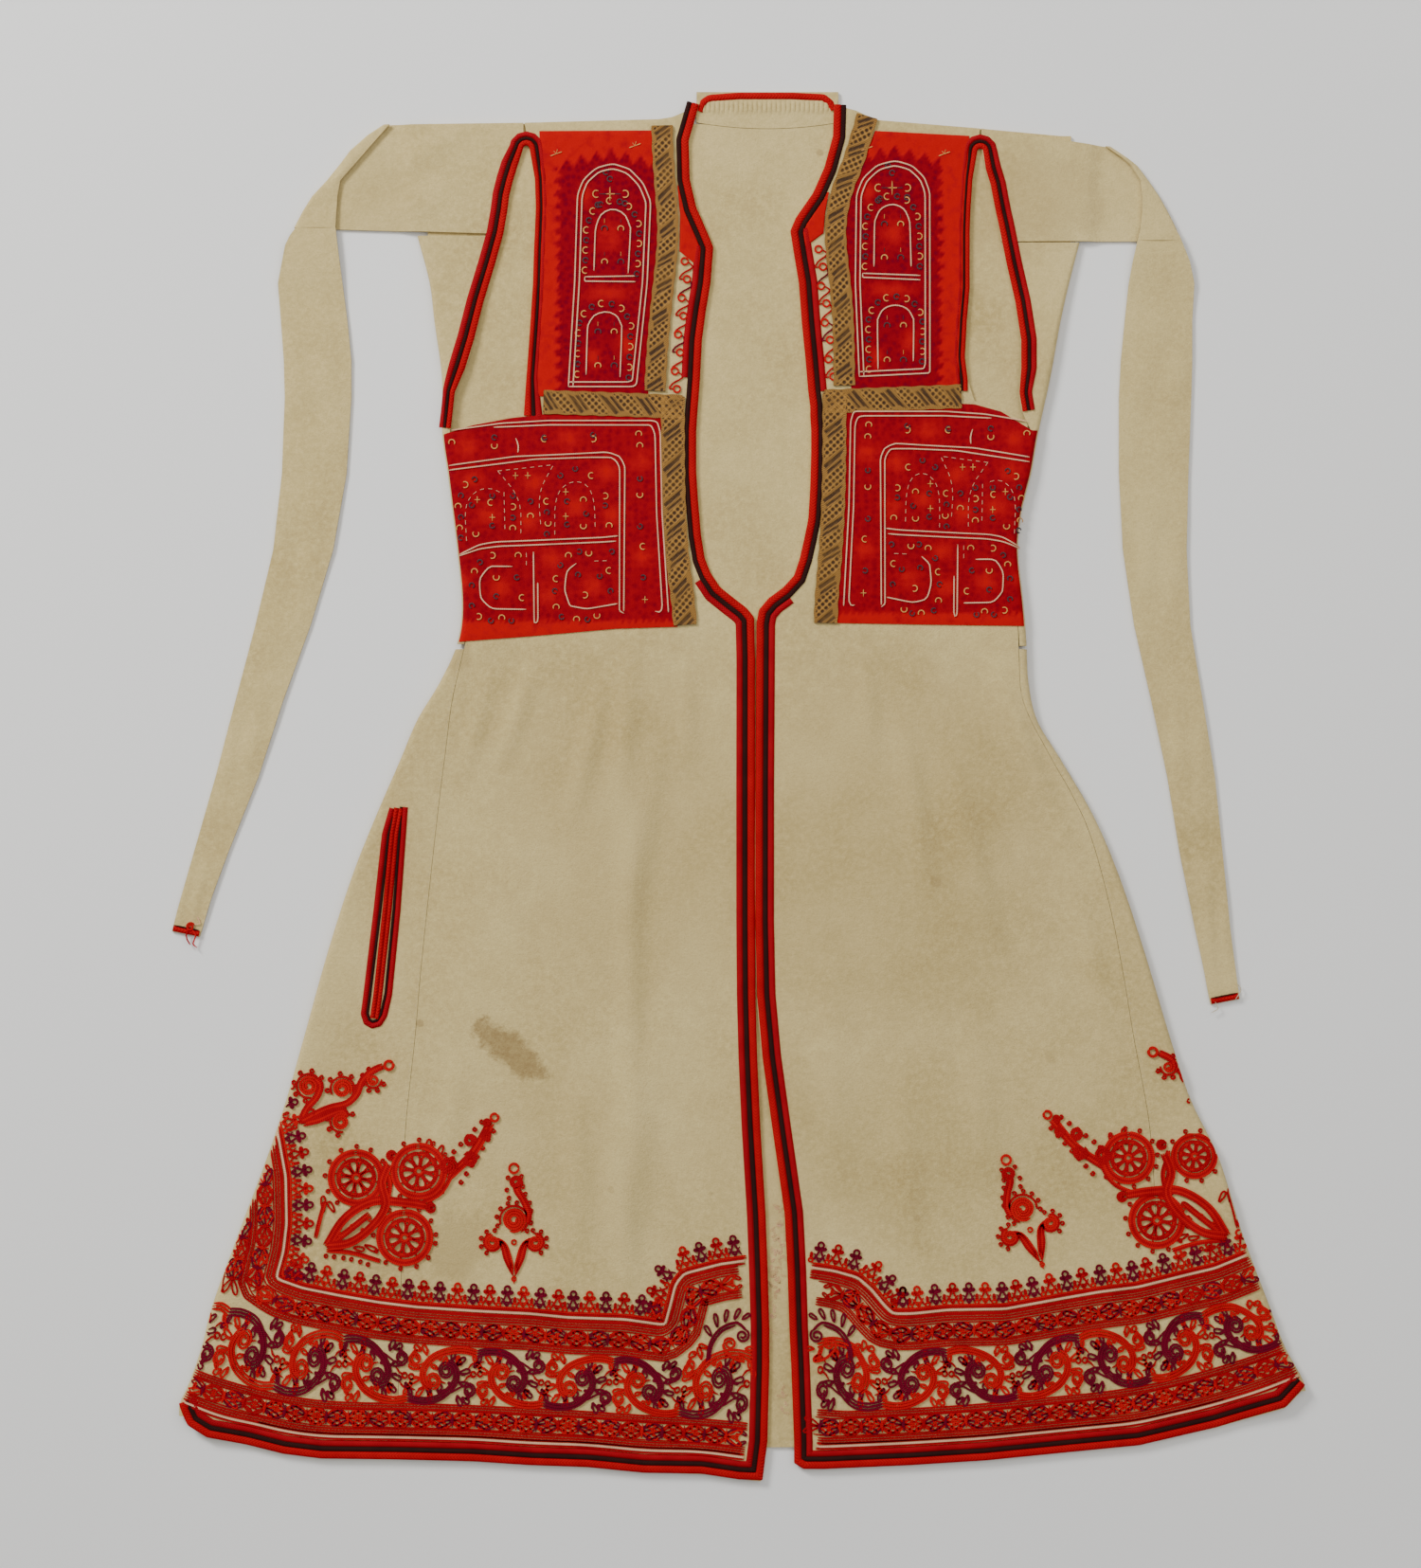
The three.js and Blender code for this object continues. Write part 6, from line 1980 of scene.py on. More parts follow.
        for px, py in ((8.4, 60), (6.6, 65.5), (11.6, 53.5), (12.8, 47.5), (-4.4, 72), (5.6, 73),
                       (-3.6, 57), (-5.2, 63)):
            put(arc(px, py, 1.25, 0, 350, 0.9), radius=0.75)
        put(arc(0, -2.6, 1.6, 0, 360, 0.9), Thread.BRIGHT, 0.6)
        put(curve((0, 0), (0, -6)), Thread.BRIGHT, 0.7)

    def spray(self, work: Stitching, base: tuple[float, float], tip: tuple[float, float]) -> None:
        """Leaning spray on the gore: a forked stem with three spirals and a curled tip."""
        a, b = np.array(base), np.array(tip)
        span = float(np.linalg.norm(b - a))
        tilt = math.degrees(math.atan2(b[1] - a[1], b[0] - a[0]))
        flip = self.side is Side.RIGHT

        def put(path: Path, thread: Thread = Thread.MIDDLE, radius: float = 0.85) -> None:
            """Lays a path drawn from the base to the tip, on a length of 80."""
            scaled = path * np.array([1.0, -1.0 if flip else 1.0]) * span / 80
            work.lay(turned(scaled, *a, tilt), thread, radius)

        for shift in (-1.7, 0.0, 1.7):
            thread = Thread.MIDDLE if shift else Thread.BRIGHT
            put(offset(curve((3, 1), (12, 6), (22, 9), (29, 15), (28, 22)), shift), thread, 0.95)
            put(offset(curve((2, 0), (14, -1), (26, -3), (38, -7), (48, -5), (56, 1), (66, 3), (75, 2)),
                       shift), thread, 0.95)
            put(offset(curve((3, -2), (14, -6), (24, -7.5), (32, -10), (33, -16)), shift), thread, 0.95)
        for x, y, radius, start, turns in ((21.5, 19, 7.2, 0, 2.6), (41, 4, 7.0, -70, 2.6),
                                           (27, -16, 6.2, 0, 2.4), (63.5, -2.8, 4.4, 80, 1.6)):
            put(spiral(x, y, radius, start, turns, 0.22), Thread.BRIGHT, 1.0)
            put(arc(x, y, radius + 1.7, start, start + 250), Thread.MIDDLE, 0.9)
            for angle in range(start, start + 250, 45):
                c, s = math.cos(math.radians(angle)), math.sin(math.radians(angle))
                put(arc(x + (radius + 4.0) * c, y + (radius + 4.0) * s, 1.35, 0, 350, 0.9), radius=0.85)
        put(arc(79, 0, 3.2, 0, 360), Thread.BRIGHT, 1.1)
        put(loop(1, 0, 14, 5.6, 8), Thread.MIDDLE, 0.95)
        put(arc(-3.4, -1, 1.5, 0, 350, 0.9), radius=0.85)

    def bouquet(self, work: Stitching, centre: tuple[float, float], flip: int, wheels: tuple) -> None:
        """Three rosettes joined by crossing leaves, with a finial.

        Args:
            work: where the cords are laid.
            centre: place where the leaves cross.
            flip: 1 for the left side and -1 for the right.
            wheels: centre, radius and petals of each rosette.
        """
        cx, cy = centre
        for x, y, radius, petals in wheels:
            self.ring(work, x, y, radius, petals)

        def at(dx: float, dy: float) -> tuple[float, float]:
            """Place beside the crossing."""
            return cx + flip * dx, cy + dy

        self.stem(work, at(-44, -33), at(-30, -12), at(-10, 0), at(10, 0), at(30, -3), cords=4, lift=0.5)
        self.stem(work, at(-44, -33), at(-26, -30), at(-9, -17), at(0, -2), at(-3, 14), at(2, 28),
                  cords=4, lift=0.7)
        self.stem(work, at(-40, -31), at(-27, -21), at(-12, -9), cords=3, lift=0.4)
        self.stem(work, at(0, -4), at(3, 12), at(0, 24), at(-1, 30), cords=2, lift=0.3)
        for dx, dy in ((-34, -24), (-25, -18), (-17, -21), (-12, -13)):
            work.lay(arc(*at(dx, dy), 1.3, 0, 350, 0.9), Thread.BRIGHT, 0.6, 1.0)
        self.knob(work, *at(4.0, 34))
        self.knob(work, *at(33, -4.5))
        self.stem(work, at(-52, -27), at(-49, -14), at(-45, 0), cords=2)
        self.stem(work, at(-44, -36), at(-24, -38), at(-4, -44), cords=2)
        self.picots(work, curve(at(-46, -38), at(-24, -41), at(-6, -47)), 6.5, flip)
        for dx, dy, length, tilt in ((-46, -8, 12, 92), (-38, -8, 9, 120), (-16, -32, 10, -25),
                                     (-24, -34, 8, -10)):
            tilt = tilt if flip > 0 else 180 - tilt
            work.lay(loop(*at(dx, dy), length, 3.6, tilt), Thread.MIDDLE, 0.75)
        self.finial(work, at(46, 18), at(80, 62) if flip > 0 else at(88, 56), flip)
        for dx, dy, length, tilt in ((30, 34, 12, 80), (36, 30, 13, 62), (42, 24, 12, 48)):
            tilt = tilt if flip > 0 else 180 - tilt
            work.lay(loop(*at(dx, dy), length, 3.8, tilt), Thread.MIDDLE, 0.8)
        self.stem(work, at(24, -2), at(40, 6), at(50, 22), cords=2)

    def build(self) -> list[bpy.types.Object]:
        """Makes the motifs.

        Returns:
            Their pieces, one for each thread.
        """
        work = Stitching(plump=1.28)
        if self.side is Side.LEFT:
            self.bouquet(work, (-259.5, -306), 1,
                         ((-281.4, -288.4, 21, 8), (-235.2, -283.5, 21, 8), (-245.7, -332.5, 21, 8)))
            self.tree(work, -165.2, -360.5, 0)
            self.spray(work, (-324, -248), (-256.5, -205))
            nodes = ("rosette_left_1", "rosette_left_2", "rosette_left_3")
        else:
            self.bouquet(work, (316, -298), -1,
                         ((287.7, -273.7, 19.5, 8), (336, -272, 17, 8), (308.7, -319.9, 21, 8)))
            self.tree(work, 223.3, -350, 19)
            self.spray(work, (372, -238), (304.5, -195))
            nodes = ("rosette_right_1", "rosette_right_2")
        return work.build(f"skirt_motifs_{self.side.word}", nodes)


@dataclass
class ChestScroll:
    """Narrow trim of small linked curls between the lace and the edge braids."""

    side: Side
    pitch: float = 27.0

    def build(self) -> list[bpy.types.Object]:
        """Makes the trim.

        Returns:
            Its pieces.
        """
        work = Stitching()
        if self.side is Side.LEFT:
            line = along(curve((-37.8, 391), (-39.2, 371), (-42, 343), (-44.5, 315), (-46.5, 291)), 1.0)
        else:
            line = along(curve((60.4, 400), (61.6, 378), (64.4, 350), (67.2, 322), (69.4, 297)), 1.0)
        left = normals(line)
        for k, at in enumerate(np.arange(4, len(line) - 2, self.pitch / 2)):
            p, n = line[int(at)], left[int(at)]
            sign = 1 if k % 2 else -1
            spot = p + n * sign * 1.3
            work.lay(arc(*spot, 2.5, 0, 360, 0.9), Thread.BRIGHT, 0.9, 0.2)
            after = int(at + self.pitch / 2)
            if after >= len(line):
                break
            quarter, half = line[(int(at) + after) // 2 - 2], line[(int(at) + after) // 2 + 3]
            bend = curve(tuple(spot + n * 2.4), tuple(quarter + n * 4.8), tuple(half - n * 2.0),
                         tuple(line[after] - n * 4.4), tuple(line[after] - n * (1.3 * sign + 2.4)))
            work.lay(bend, Thread.CRIMSON if k % 3 == 1 else Thread.MIDDLE, 0.85)
        return work.build(f"chest_scroll_{self.side.word}")


@dataclass
class Lace:
    """Band of gilt lace: blocks of slanting threads and blocks of net, between corded edges."""

    name: str
    node: str
    paths: tuple
    width: float = 15.6
    columns: int = 21
    step: float = 0.8
    period: float = 23.0

    def height(self, u: np.ndarray, v: np.ndarray) -> np.ndarray:
        """Relief of the lace.

        Args:
            u: places along the band.
            v: places across it, from its middle.

        Returns:
            A height from 0 to 1.
        """
        phase = ((u + 0.75 * v + 2.4 * np.sin(u / 17.0)) / self.period) % 1.0
        hatch = 0.5 + 0.5 * np.sin(2 * np.pi * (u - 0.9 * v) / 1.7)
        net = 1 - 1.15 * np.abs(np.sin(np.pi * (u + v) / 5.2) * np.sin(np.pi * (u - v) / 5.2))
        inside = ease((phase - 0.46) / 0.04) * ease((0.98 - phase) / 0.04)
        body = (0.35 + 0.6 * hatch) * (1 - inside) + (net * 0.95) * inside
        vein = np.exp(-(((phase - 0.15) / 0.075) ** 4)) + np.exp(-(((phase - 0.36) / 0.055) ** 4)) * 0.9
        ragged = 0.75 + 0.25 * np.sin(1.7 * u + 0.8) * np.sin(2.3 * v)
        body *= 1 - 0.95 * np.clip(vein, 0,
                                   1) * ragged * (np.abs(v) < self.width * 0.34 + 1.2 * np.sin(u / 2.0))
        rim = np.abs(v) > self.width / 2 - 1.7
        cord = 0.65 + 0.35 * np.sin(2 * np.pi * (u + np.sign(v) * v) / 1.5)
        return np.where(rim, cord, body)

    def build(self) -> bpy.types.Object:
        """Makes the lace.

        Returns:
            Its piece.
        """
        parts = []
        across = np.linspace(-self.width / 2, self.width / 2, self.columns)
        for path in self.paths:
            line = along(rounded(path, 4.0, 1), self.step)
            run = np.arange(len(line)) * self.step
            relief = self.height(run[:, None], across)
            rim = np.abs(across) > self.width / 2 - 0.7
            ruffle = 0.25 * np.sin(run / 2.1)[:, None] * rim * np.sign(across)
            plan = line[:, None] + normals(line)[:, None] * (across + ruffle)[..., None]
            base = SHAPE.top(plan[..., 0], plan[..., 1]) + SHAPE.seam
            tints = np.concatenate([relief.ravel(), np.zeros(relief.size)])
            parts.append((*slab(plan, base + 1.15 + 0.8 * relief, base), tints))
        return build_object(self.name, parts, LACE, "metal_lace", [self.node], TINT)


def laces() -> list[Lace]:
    """Lace of both sides."""
    return [
        Lace("lace_upper_left", "galloon_upper_left",
             ([(-56, 487), (-55.6, 469), (-53.6, 441), (-51.4, 413),
             (-52.4, 392), (-54.8, 371), (-58, 340), (-60, 315), (-61.2, 291.5)],)),
        Lace("lace_upper_right", "galloon_upper_right",
             ([(95.2, 494), (90.8, 479), (84.2, 458), (77, 441),
             (72.8, 423.5), (71.4, 406), (73.4, 385), (76, 364), (77.8, 336), (78.3, 295.5)],)),
        Lace("lace_corner_left", "galloon_corner_left", (
            [(-143.5, 283.2), (-100, 281.8), (-56, 280.2), (-41.2, 279.8)],
            [(-48, 287), (-48, 245), (-47.2, 203), (-44.6, 165), (-40.6, 138), (-39, 119)]), 17.4),
        Lace("lace_corner_right", "galloon_corner_right", (
            [(164.5, 287.4), (120, 285.6), (80, 284.2), (64, 283.6)],
            [(71, 290), (71, 245), (70, 203), (67.6, 165), (65.2, 140), (64.6, 120.4)]), 17.4),
    ]


# ---- Red panels ----


def crescent(x: float, y: float, radius: float, opening: float) -> Path:
    """Open ring.

    Args:
        x: its centre.
        y: its centre.
        radius: its radius.
        opening: direction of its gap, in degrees.

    Returns:
        The ring's points.
    """
    return arc(x, y, radius, opening + 55, opening + 305, 0.9)


def dashes(path: Path, length: float = 3.6, gap: float = 2.2) -> list[Path]:
    """Cord that goes in and out of the cloth, as the pieces that show."""
    run = along(path, 0.6)
    whole, shown = round((length + gap) / 0.6), round(length / 0.6)
    return [run[at:at + shown] for at in range(0, len(run) - shown, whole)]


def arch(foot_left: Sequence[float], shoulder_left: Sequence[float], top: Sequence[float],
         shoulder_right: Sequence[float], foot_right: Sequence[float]) -> Path:
    """Round-headed arch through five places."""
    crown = curve(shoulder_left, ((shoulder_left[0] + top[0]) / 2 - (top[0] - shoulder_left[0]) * 0.16,
                                  (shoulder_left[1] + top[1]) / 2 + (top[1] - shoulder_left[1]) * 0.22),
                  top,
                  ((shoulder_right[0] + top[0]) / 2 + (shoulder_right[0] - top[0]) * 0.16,
                   (shoulder_right[1] + top[1]) / 2 + (top[1] - shoulder_right[1]) * 0.22),
                  shoulder_right)
    return np.concatenate([[foot_left], crown, [foot_right]])


@dataclass
class RedPanel:
    """Embroidered panel of red cloth, with its crimson silk ground."""

    name: str
    node: str
    top: Profile
    bottom: Profile
    outer: Profile
    inner: Profile
    worked: Height
    columns: int = 52
    rows: int = 84
    thick: float = 1.0
    held: tuple[float, float] = (0.08, 0.19)

    def build(self) -> bpy.types.Object:
        """Makes the panel.

        Returns:
            The panel's object.
        """
        across = np.linspace(0, 1, self.columns)
        down = np.linspace(0, 1, self.rows)[:, None]
        high = float(max(self.top.values))
        low = float(min(self.bottom.values))
        y = high + (low - high) * down
        x = self.outer.straight(y) * (1 - across) + self.inner.straight(y) * across
        for _ in range(3):
            top, bottom = self.top.straight(x), self.bottom.straight(x)
            rows = top + (bottom - top) * down
            x = self.outer.straight(rows) * (1 - across) + self.inner.straight(rows) * across
        tint = np.clip(self.worked(x, rows), 0, 1)
        plan = np.stack([x, rows], axis=-1)
        quilting = 0.12 * np.sin(x / 2.3) * np.sin(rows / 2.9)
        quilting = quilting + 0.25 * tint * np.abs(np.sin(x / 1.35 + rows / 1.7))
        rim = np.minimum(np.minimum(across, 1 - across) * self.columns,
                         np.minimum(down, 1 - down) * self.rows)
        base = SHAPE.top(x, rows) + SHAPE.seam
        upper = base + self.thick + (quilting - 0.45 * (rim < 0.5))
        part = (*slab(plan, upper, base), np.tile(tint.ravel(), 2))
        return build_object(self.name, [part], RED, "red_cloth", [self.node], TINT)


def patches(x: np.ndarray, y: np.ndarray, spots: tuple) -> np.ndarray:
    """Share of bright cloth left showing round a few places."""
    total = np.zeros(np.broadcast(x, y).shape)
    for px, py, wide, tall in spots:
        total = np.maximum(total, np.exp(-(((x - px) / wide) ** 2) - ((y - py) / tall) ** 2))
    return total


def zigzag(at: np.ndarray, pitch: float) -> np.ndarray:
    """Triangle wave from -1 to 1."""
    return 4 * np.abs(at / pitch - np.floor(at / pitch + 0.5)) - 1


@dataclass
class Bib:
    """Panel on the chest of one side: frame, arches and the small silk figures."""

    side: Side
    lift: float = 1.35

    def shape(self) -> dict:
        """Outline, frame and arches of this side."""
        if self.side is Side.LEFT:
            return {
                "top": ((-150, 483), (-60, 483.5)), "bottom": ((-150, 287.5), (-60, 287)),
                "outer": ((483, -146.5), (441, -145), (371, -146), (292.6, -149)),
                "inner": ((483, -61), (469, -61.5), (441, -58.8), (413, -57.4), (392, -58.8),
                          (371, -61.6),
                          (350, -63.7), (329, -65), (290, -66.2)),
                "frame": ((-125, 294.5), (-120.4, 371), (-118.3, 436), (-114, 447), (-104.5, 455.6),
                          (-92.4, 458.8), (-80, 454.8),
                          (-70, 444.5), (-64.4, 431), (-67, 371), (-75, 294.5)),
                "arches": (((-106.2, 380), (-105.2, 411), (-92.4, 425.2), (-79.1, 411), (-81, 378)),
                           ((-112, 303.4), (-111, 338.8), (-97.3, 349.6), (-85.5, 338.8), (-87, 301.4))),
                "bar": ((-113, 375.4), (-75.7, 376), (-113, 372.2), (-75.7, 371.8)),
                "cross": (-94.4, 436.5), "corners": ((-134, 466), (-76, 472)),
            }
        return {
            "top": ((80, 484), (104, 483), (170, 479.5)), "bottom": ((80, 289.5), (170, 293.5)),
            "outer": ((479.5, 170.5), (448, 168.5), (413, 167), (371, 166.5), (343, 164), (296, 163)),
            "inner": ((483, 101), (455, 90), (441, 83), (423.5, 79.3), (406, 78), (385, 80), (364, 81.5),
                      (336, 82), (292, 83.4)),
            "frame": ((89.3, 302), (86.4, 371), (87.2, 436), (92, 448), (102.5, 457.6), (115.6, 461),
                      (128, 457.4), (137, 449), (141.2, 438), (141.3, 371), (141.3, 304.5)),
            "arches": (((100.1, 383), (100.5, 416), (113.8, 428.7), (126.6, 416), (127.5, 383)),
                       ((103.1, 307.4), (102.6, 344), (115.8, 354.5), (129.5, 344), (129.1, 313.2))),
            "bar": ((91.8, 378), (134.4, 376.4), (91.8, 375), (134.4, 373.2)),
            "cross": (113.5, 441), "corners": ((152, 466), (95, 470)),
        }

    def worked(self, x: np.ndarray, y: np.ndarray) -> np.ndarray:
        """Share of crimson silk at each place: in and round the frame, with a toothed edge."""
        shape = self.shape()
        frame = np.array(shape["frame"])
        left, right = frame[:, 0].min() - 9, frame[:, 0].max() + 9
        middle = (left + right) / 2
        tooth = 2.6 * zigzag(y, 9.0) + 1.1 * zigzag(y, 3.1)
        side = (right - left) / 2 + tooth - np.abs(x - middle)
        crown = frame[:, 1].max() + 9 + 4.0 * zigzag(x, 11.0) - 0.25 * np.abs(x - middle) - y
        bar_y = shape["bar"][0][1]
        bright = patches(x, y, ((middle - 2, bar_y - 12, 17, 5.5), (middle, bar_y + 30, 8, 10),
                                (middle - 18, bar_y + 60, 5, 8), (middle + 12, bar_y - 50, 6, 9),
                                (middle - 12, 316, 5, 8)))
        return ease(side / 2.0) * ease(crown / 2.0) * (1 - 0.85 * bright)

    def stitches(self) -> list[bpy.types.Object]:
        """Makes the cords and silk figures.

        Returns:
            Their pieces.
        """
        shape = self.shape()
        work = Stitching(lift=self.lift, clip=False)
        frame = np.array(shape["frame"] + shape["frame"][:1])
        inner = offset(frame, 3.4, 1)
        for line in (frame, inner):
            work.lay(rounded(along(line, 4.0), 1.5, 1), Thread.IVORY, 0.64)
        for points in shape["arches"]:
            work.lay(rounded(arch(*points), 1.4, 1), Thread.IVORY, 0.62)
            self.figures(work, points)
        a, b, c, d = shape["bar"]
        work.lay(rounded([a, b], 1.5, 0), Thread.IVORY, 0.62)
        work.lay(along([a, c, d], 1.2), Thread.IVORY, 0.62)
        x, y = shape["cross"]
        for start, end in (((x - 4, y), (x + 4, y)), ((x, y - 5), (x, y + 5))):
            work.lay(along([start, end], 1.2), Thread.YELLOW, 0.5)
        for dx, gap in ((-10, 0), (11, 180)):
            work.lay(crescent(x + dx, y, 2.6, gap), Thread.YELLOW, 0.55)
        work.lay(along([(x - 8, y), (x + 8, y)], 1.2), Thread.SLATE, 0.4)
        for dx, dy in ((0, 11), (-9, -8), (11, -7), (-3, 16)):
            work.lay(arc(x + dx, y + dy, 1.9, 0, 320, 0.9), Thread.SLATE, 0.6)
        for px, py in shape["corners"]:
            for tilt, length in ((20, 4.5), (75, 3.4), (200, 4.5), (130, 2.8)):
                angle = math.radians(tilt)
                tip = (px + length * math.cos(angle), py + length * math.sin(angle))
                work.lay(along([(px, py), tip], 0.9), Thread.YELLOW, 0.5)
        return work.build(f"bib_stitches_{self.side.word}")

    def figures(self, work: Stitching, points: tuple) -> None:
        """Crescents and loops round one arch and inside it.

        Args:
            work: where they are laid.
            points: the arch's places.
        """
        ring = along(offset(arch(*points), 6.4, -1), 7.4)
        middle = points[2][0]
        for k, (x, y) in enumerate(ring):
            if k % 2:
                work.lay(arc(x, y, 1.9, 0, 320, 0.9), Thread.SLATE, 0.62)
            else:
                work.lay(crescent(x, y, 2.3, 180 if x > middle else 0), Thread.YELLOW, 0.55)
        low, high = points[0][1], points[2][1]
        for k, share in enumerate((0.14, 0.68)):
            y = low + (high - low) * share
            for sign in (-1, 1):
                x = middle + sign * 6.0
                yellow = (k + (sign > 0)) % 2 == 0
                work.lay(crescent(x, y, 2.2, 270), Thread.YELLOW if yellow else Thread.SLATE, 0.55)
                work.lay(along([(x, y + 4.4), (x, y + 7.4)], 1.0),
                         Thread.SLATE if yellow else Thread.YELLOW, 0.45)

    def build(self) -> list[bpy.types.Object]:
        """Makes the panel and its embroidery.

        Returns:
            Its pieces.
        """
        shape = self.shape()
        panel = RedPanel(f"bib_cloth_{self.side.word}", f"bib_{self.side.word}",
                         *(Profile.column(shape[key]) for key in ("top", "bottom", "outer", "inner")),
                         self.worked)
        return [panel.build(), *self.stitches()]


@dataclass
class WaistPanel:
    """Panel between the armhole and the waist, drawn for the left and turned over for the right."""

    side: Side
    lift: float = 1.35
    frame_lines: tuple = (
        ((-211, 262), (-174, 267.5), (-140, 269.5), (-60, 269.5), (-57.4, 262), (-56, 201),
         (-51.3, 128.3)),
        ((-180, 264.5), (-140, 266.3), (-64, 266.2), (-61.2, 260), (-60, 201), (-55.8, 131),
         (-58, 127.5), (-61, 129)),
        ((-213, 236), (-164.6, 243), (-120, 245), (-96, 246.3), (-87, 243), (-83.4, 236), (-84.2, 129)),
        ((-213, 232.6), (-150, 241), (-110, 242.4), (-92, 242.4), (-87.2, 236), (-87.4, 128.5),
         (-84.2, 127.5)),
        ((-205.3, 170.5), (-190, 178), (-178, 180), (-100, 183.4), (-88.5, 184.6)),
        ((-205.3, 169.6), (-190, 174.8), (-176, 176.8), (-100, 180), (-90, 180.7)),
        ((-166.2, 162), (-183.4, 162), (-190.4, 152.6), (-189.6, 138.5), (-181.8, 130.7), (-156, 130.4)),
        ((-119.3, 164.3), (-126.3, 158.8), (-127.9, 144.8), (-124, 133), (-111.5, 130.7), (-89, 134.6)),
        ((-150.8, 172.9), (-150.2, 119.8), (-147.4, 120), (-147.6, 150)),
        ((-163.8, 256.5), (-161.5, 251), (-162.3, 246)),
    )
    worn_lines: tuple = (
        ((-199.8, 180.7), (-201.3, 207.3), (-192.7, 218.2), (-181.8, 219.8), (-174, 215.8)),
        ((-172.4, 216.6), (-171.6, 185.4)), ((-177, 232.3), (-136.5, 236.9)),
        ((-177, 232.3), (-160, 212), (-160, 185.4)), ((-136.5, 236), (-147.4, 216.6), (-145, 188.5)),
        ((-135, 185.4), (-135, 213.5), (-125.6, 224.4), (-113, 224.4), (-106, 213.5), (-105.2, 188.5)),
        ((-156, 172), (-156, 160)), ((-106, 166), (-92, 166.4)),
    )

    def place(self, path: Sequence[Sequence[float]]) -> np.ndarray:
        """Path of the left panel, or the same turned over onto the right one."""
        points = np.array(path, float)
        if self.side is Side.RIGHT:
            points[:, 0] = 77.5 + (-51 - points[:, 0]) * 0.845
            points[:, 1] = 121.5 + (points[:, 1] - 117) * 1.015
        return points

    def shape(self) -> dict:
        """Outline of this side's panel."""
        outer = [(y, float(SHAPE.side_fold(self.side, y)) + self.side.into * 1.2) for y in range(106,
                                                                                                 290, 6)]
        if self.side is Side.LEFT:
            return {
                "top": ((-217, 259), (-195, 266), (-167, 271.5), (-141, 274.4), (-50, 275)),
                "bottom": ((-206, 106.4), (-153, 110.6), (-90, 116.2), (-45, 117.6)), "outer": outer,
                "inner": ((117, -44.5), (161, -48.4), (189, -51.2), (274, -53)),
            }
        return {
            "top": ((70, 278.6), (164.5, 282), (174.3, 281.6), (193.9, 276), (216.3, 262)),
            "bottom": ((70, 120.4), (212, 118)), "outer": outer,
            "inner": ((120, 70.4), (161, 72.4), (203, 75.2), (245, 75.9), (280, 76.4)),
        }

    def worked(self, x: np.ndarray, y: np.ndarray) -> np.ndarray:
        """Share of crimson silk at each place: all but a few patches and the plain foot."""
        foot = 121 if self.side is Side.LEFT else 127
        spots = self.place([(-196, 226), (-150, 224), (-97, 232), (-120, 206), (-184, 200), (-140, 142),
                            (-175, 146), (-108, 148), (-72, 240), (-70, 170), (-200, 250), (-125, 256),
                            (-155, 196), (-93, 200), (-205, 150), (-137, 168)])
        bright = patches(x, y, tuple((sx, sy, 7.5, 6.5) for sx, sy in spots))
        diamonds = 0.5 + 0.5 * zigzag(x + y, 13.0) * zigzag(x - y, 13.0)
        return ease((y - foot - 1.2 * zigzag(x, 5.0)) / 1.5) * (0.95 - 0.75 * bright - 0.3 * diamonds)

    def build(self) -> list[bpy.types.Object]:
        """Makes the panel and its embroidery.

        Returns:
            Its pieces.
        """
        shape, word = self.shape(), self.side.word
        panel = RedPanel(f"waist_cloth_{word}", f"waist_panel_{word}",
                         *(Profile.column(shape[key]) for key in ("top", "bottom", "outer", "inner")),
                         self.worked, 84, 66)
        work = Stitching(lift=self.lift, clip=False)
        for line in self.frame_lines:
            work.lay(rounded(along(self.place(line), 4.0), 1.5, 1), Thread.IVORY, 0.62)
        for line in self.worn_lines:
            for dash in dashes(rounded(self.place(line), 1.5, 2)):
                work.lay(dash, Thread.IVORY, 0.55)
        self.figures(work)
        return [panel.build(), *work.build(f"waist_stitches_{word}")]

    def figures(self, work: Stitching) -> None:
        """Silk crescents, loops and little crosses over the panel."""
        yellow = ((-210.7, 253), (-179.5, 251), (-142.7, 256), (-106.8, 256), (-73.2, 259.6),
                  (-72.4, 251),
                  (-72.4, 215), (-70, 176.8), (-201, 222), (-206, 206), (-205, 190), (-193, 186),
                  (-182, 209), (-166, 206), (-166, 190), (-153, 199), (-140, 194), (-108, 229),
                  (-98, 214),
                  (-95, 192), (-114, 211), (-114, 192), (-141, 210), (-181, 170), (-162, 170),
                  (-194, 158),
                  (-178, 154), (-159, 139), (-191, 125), (-174, 124), (-125, 170), (-110, 172),
                  (-134, 153),
                  (-113, 141), (-134, 132), (-119, 123), (-104, 126), (-95, 159))
        slate = ((-179.5, 257), (-142.7, 257), (-106.8, 259), (-72.4, 226.8), (-72.4, 191.6), (-70, 154),
                 (-194, 226), (-204, 214), (-204, 198), (-204, 183), (-181, 192), (-196, 207),
                 (-181, 214),
                 (-166, 214), (-166, 198), (-153, 210), (-141, 202), (-141, 186), (-126, 210),
                 (-126, 193),
                 (-112, 201), (-120, 234), (-131, 229), (-98, 207), (-190, 165), (-196, 148),
                 (-196, 133),
                 (-178, 140), (-163, 154), (-182, 122), (-167, 122), (-131, 163), (-117, 173),
                 (-93, 173),
                 (-118, 156), (-94, 144), (-135, 144), (-130, 125), (-111, 123), (-102, 155))
        crosses = ((-192, 211), (-181, 198), (-127, 217), (-127, 199), (-68.6, 137.7), (-155, 229),
                   (-164, 229))
        for k, (x, y) in enumerate(self.place(yellow)):
            work.lay(crescent(x, y, 2.2, (270, 90, 0, 180, 270)[k % 5]), Thread.YELLOW, 0.52)
        for k, (x, y) in enumerate(self.place(slate)):
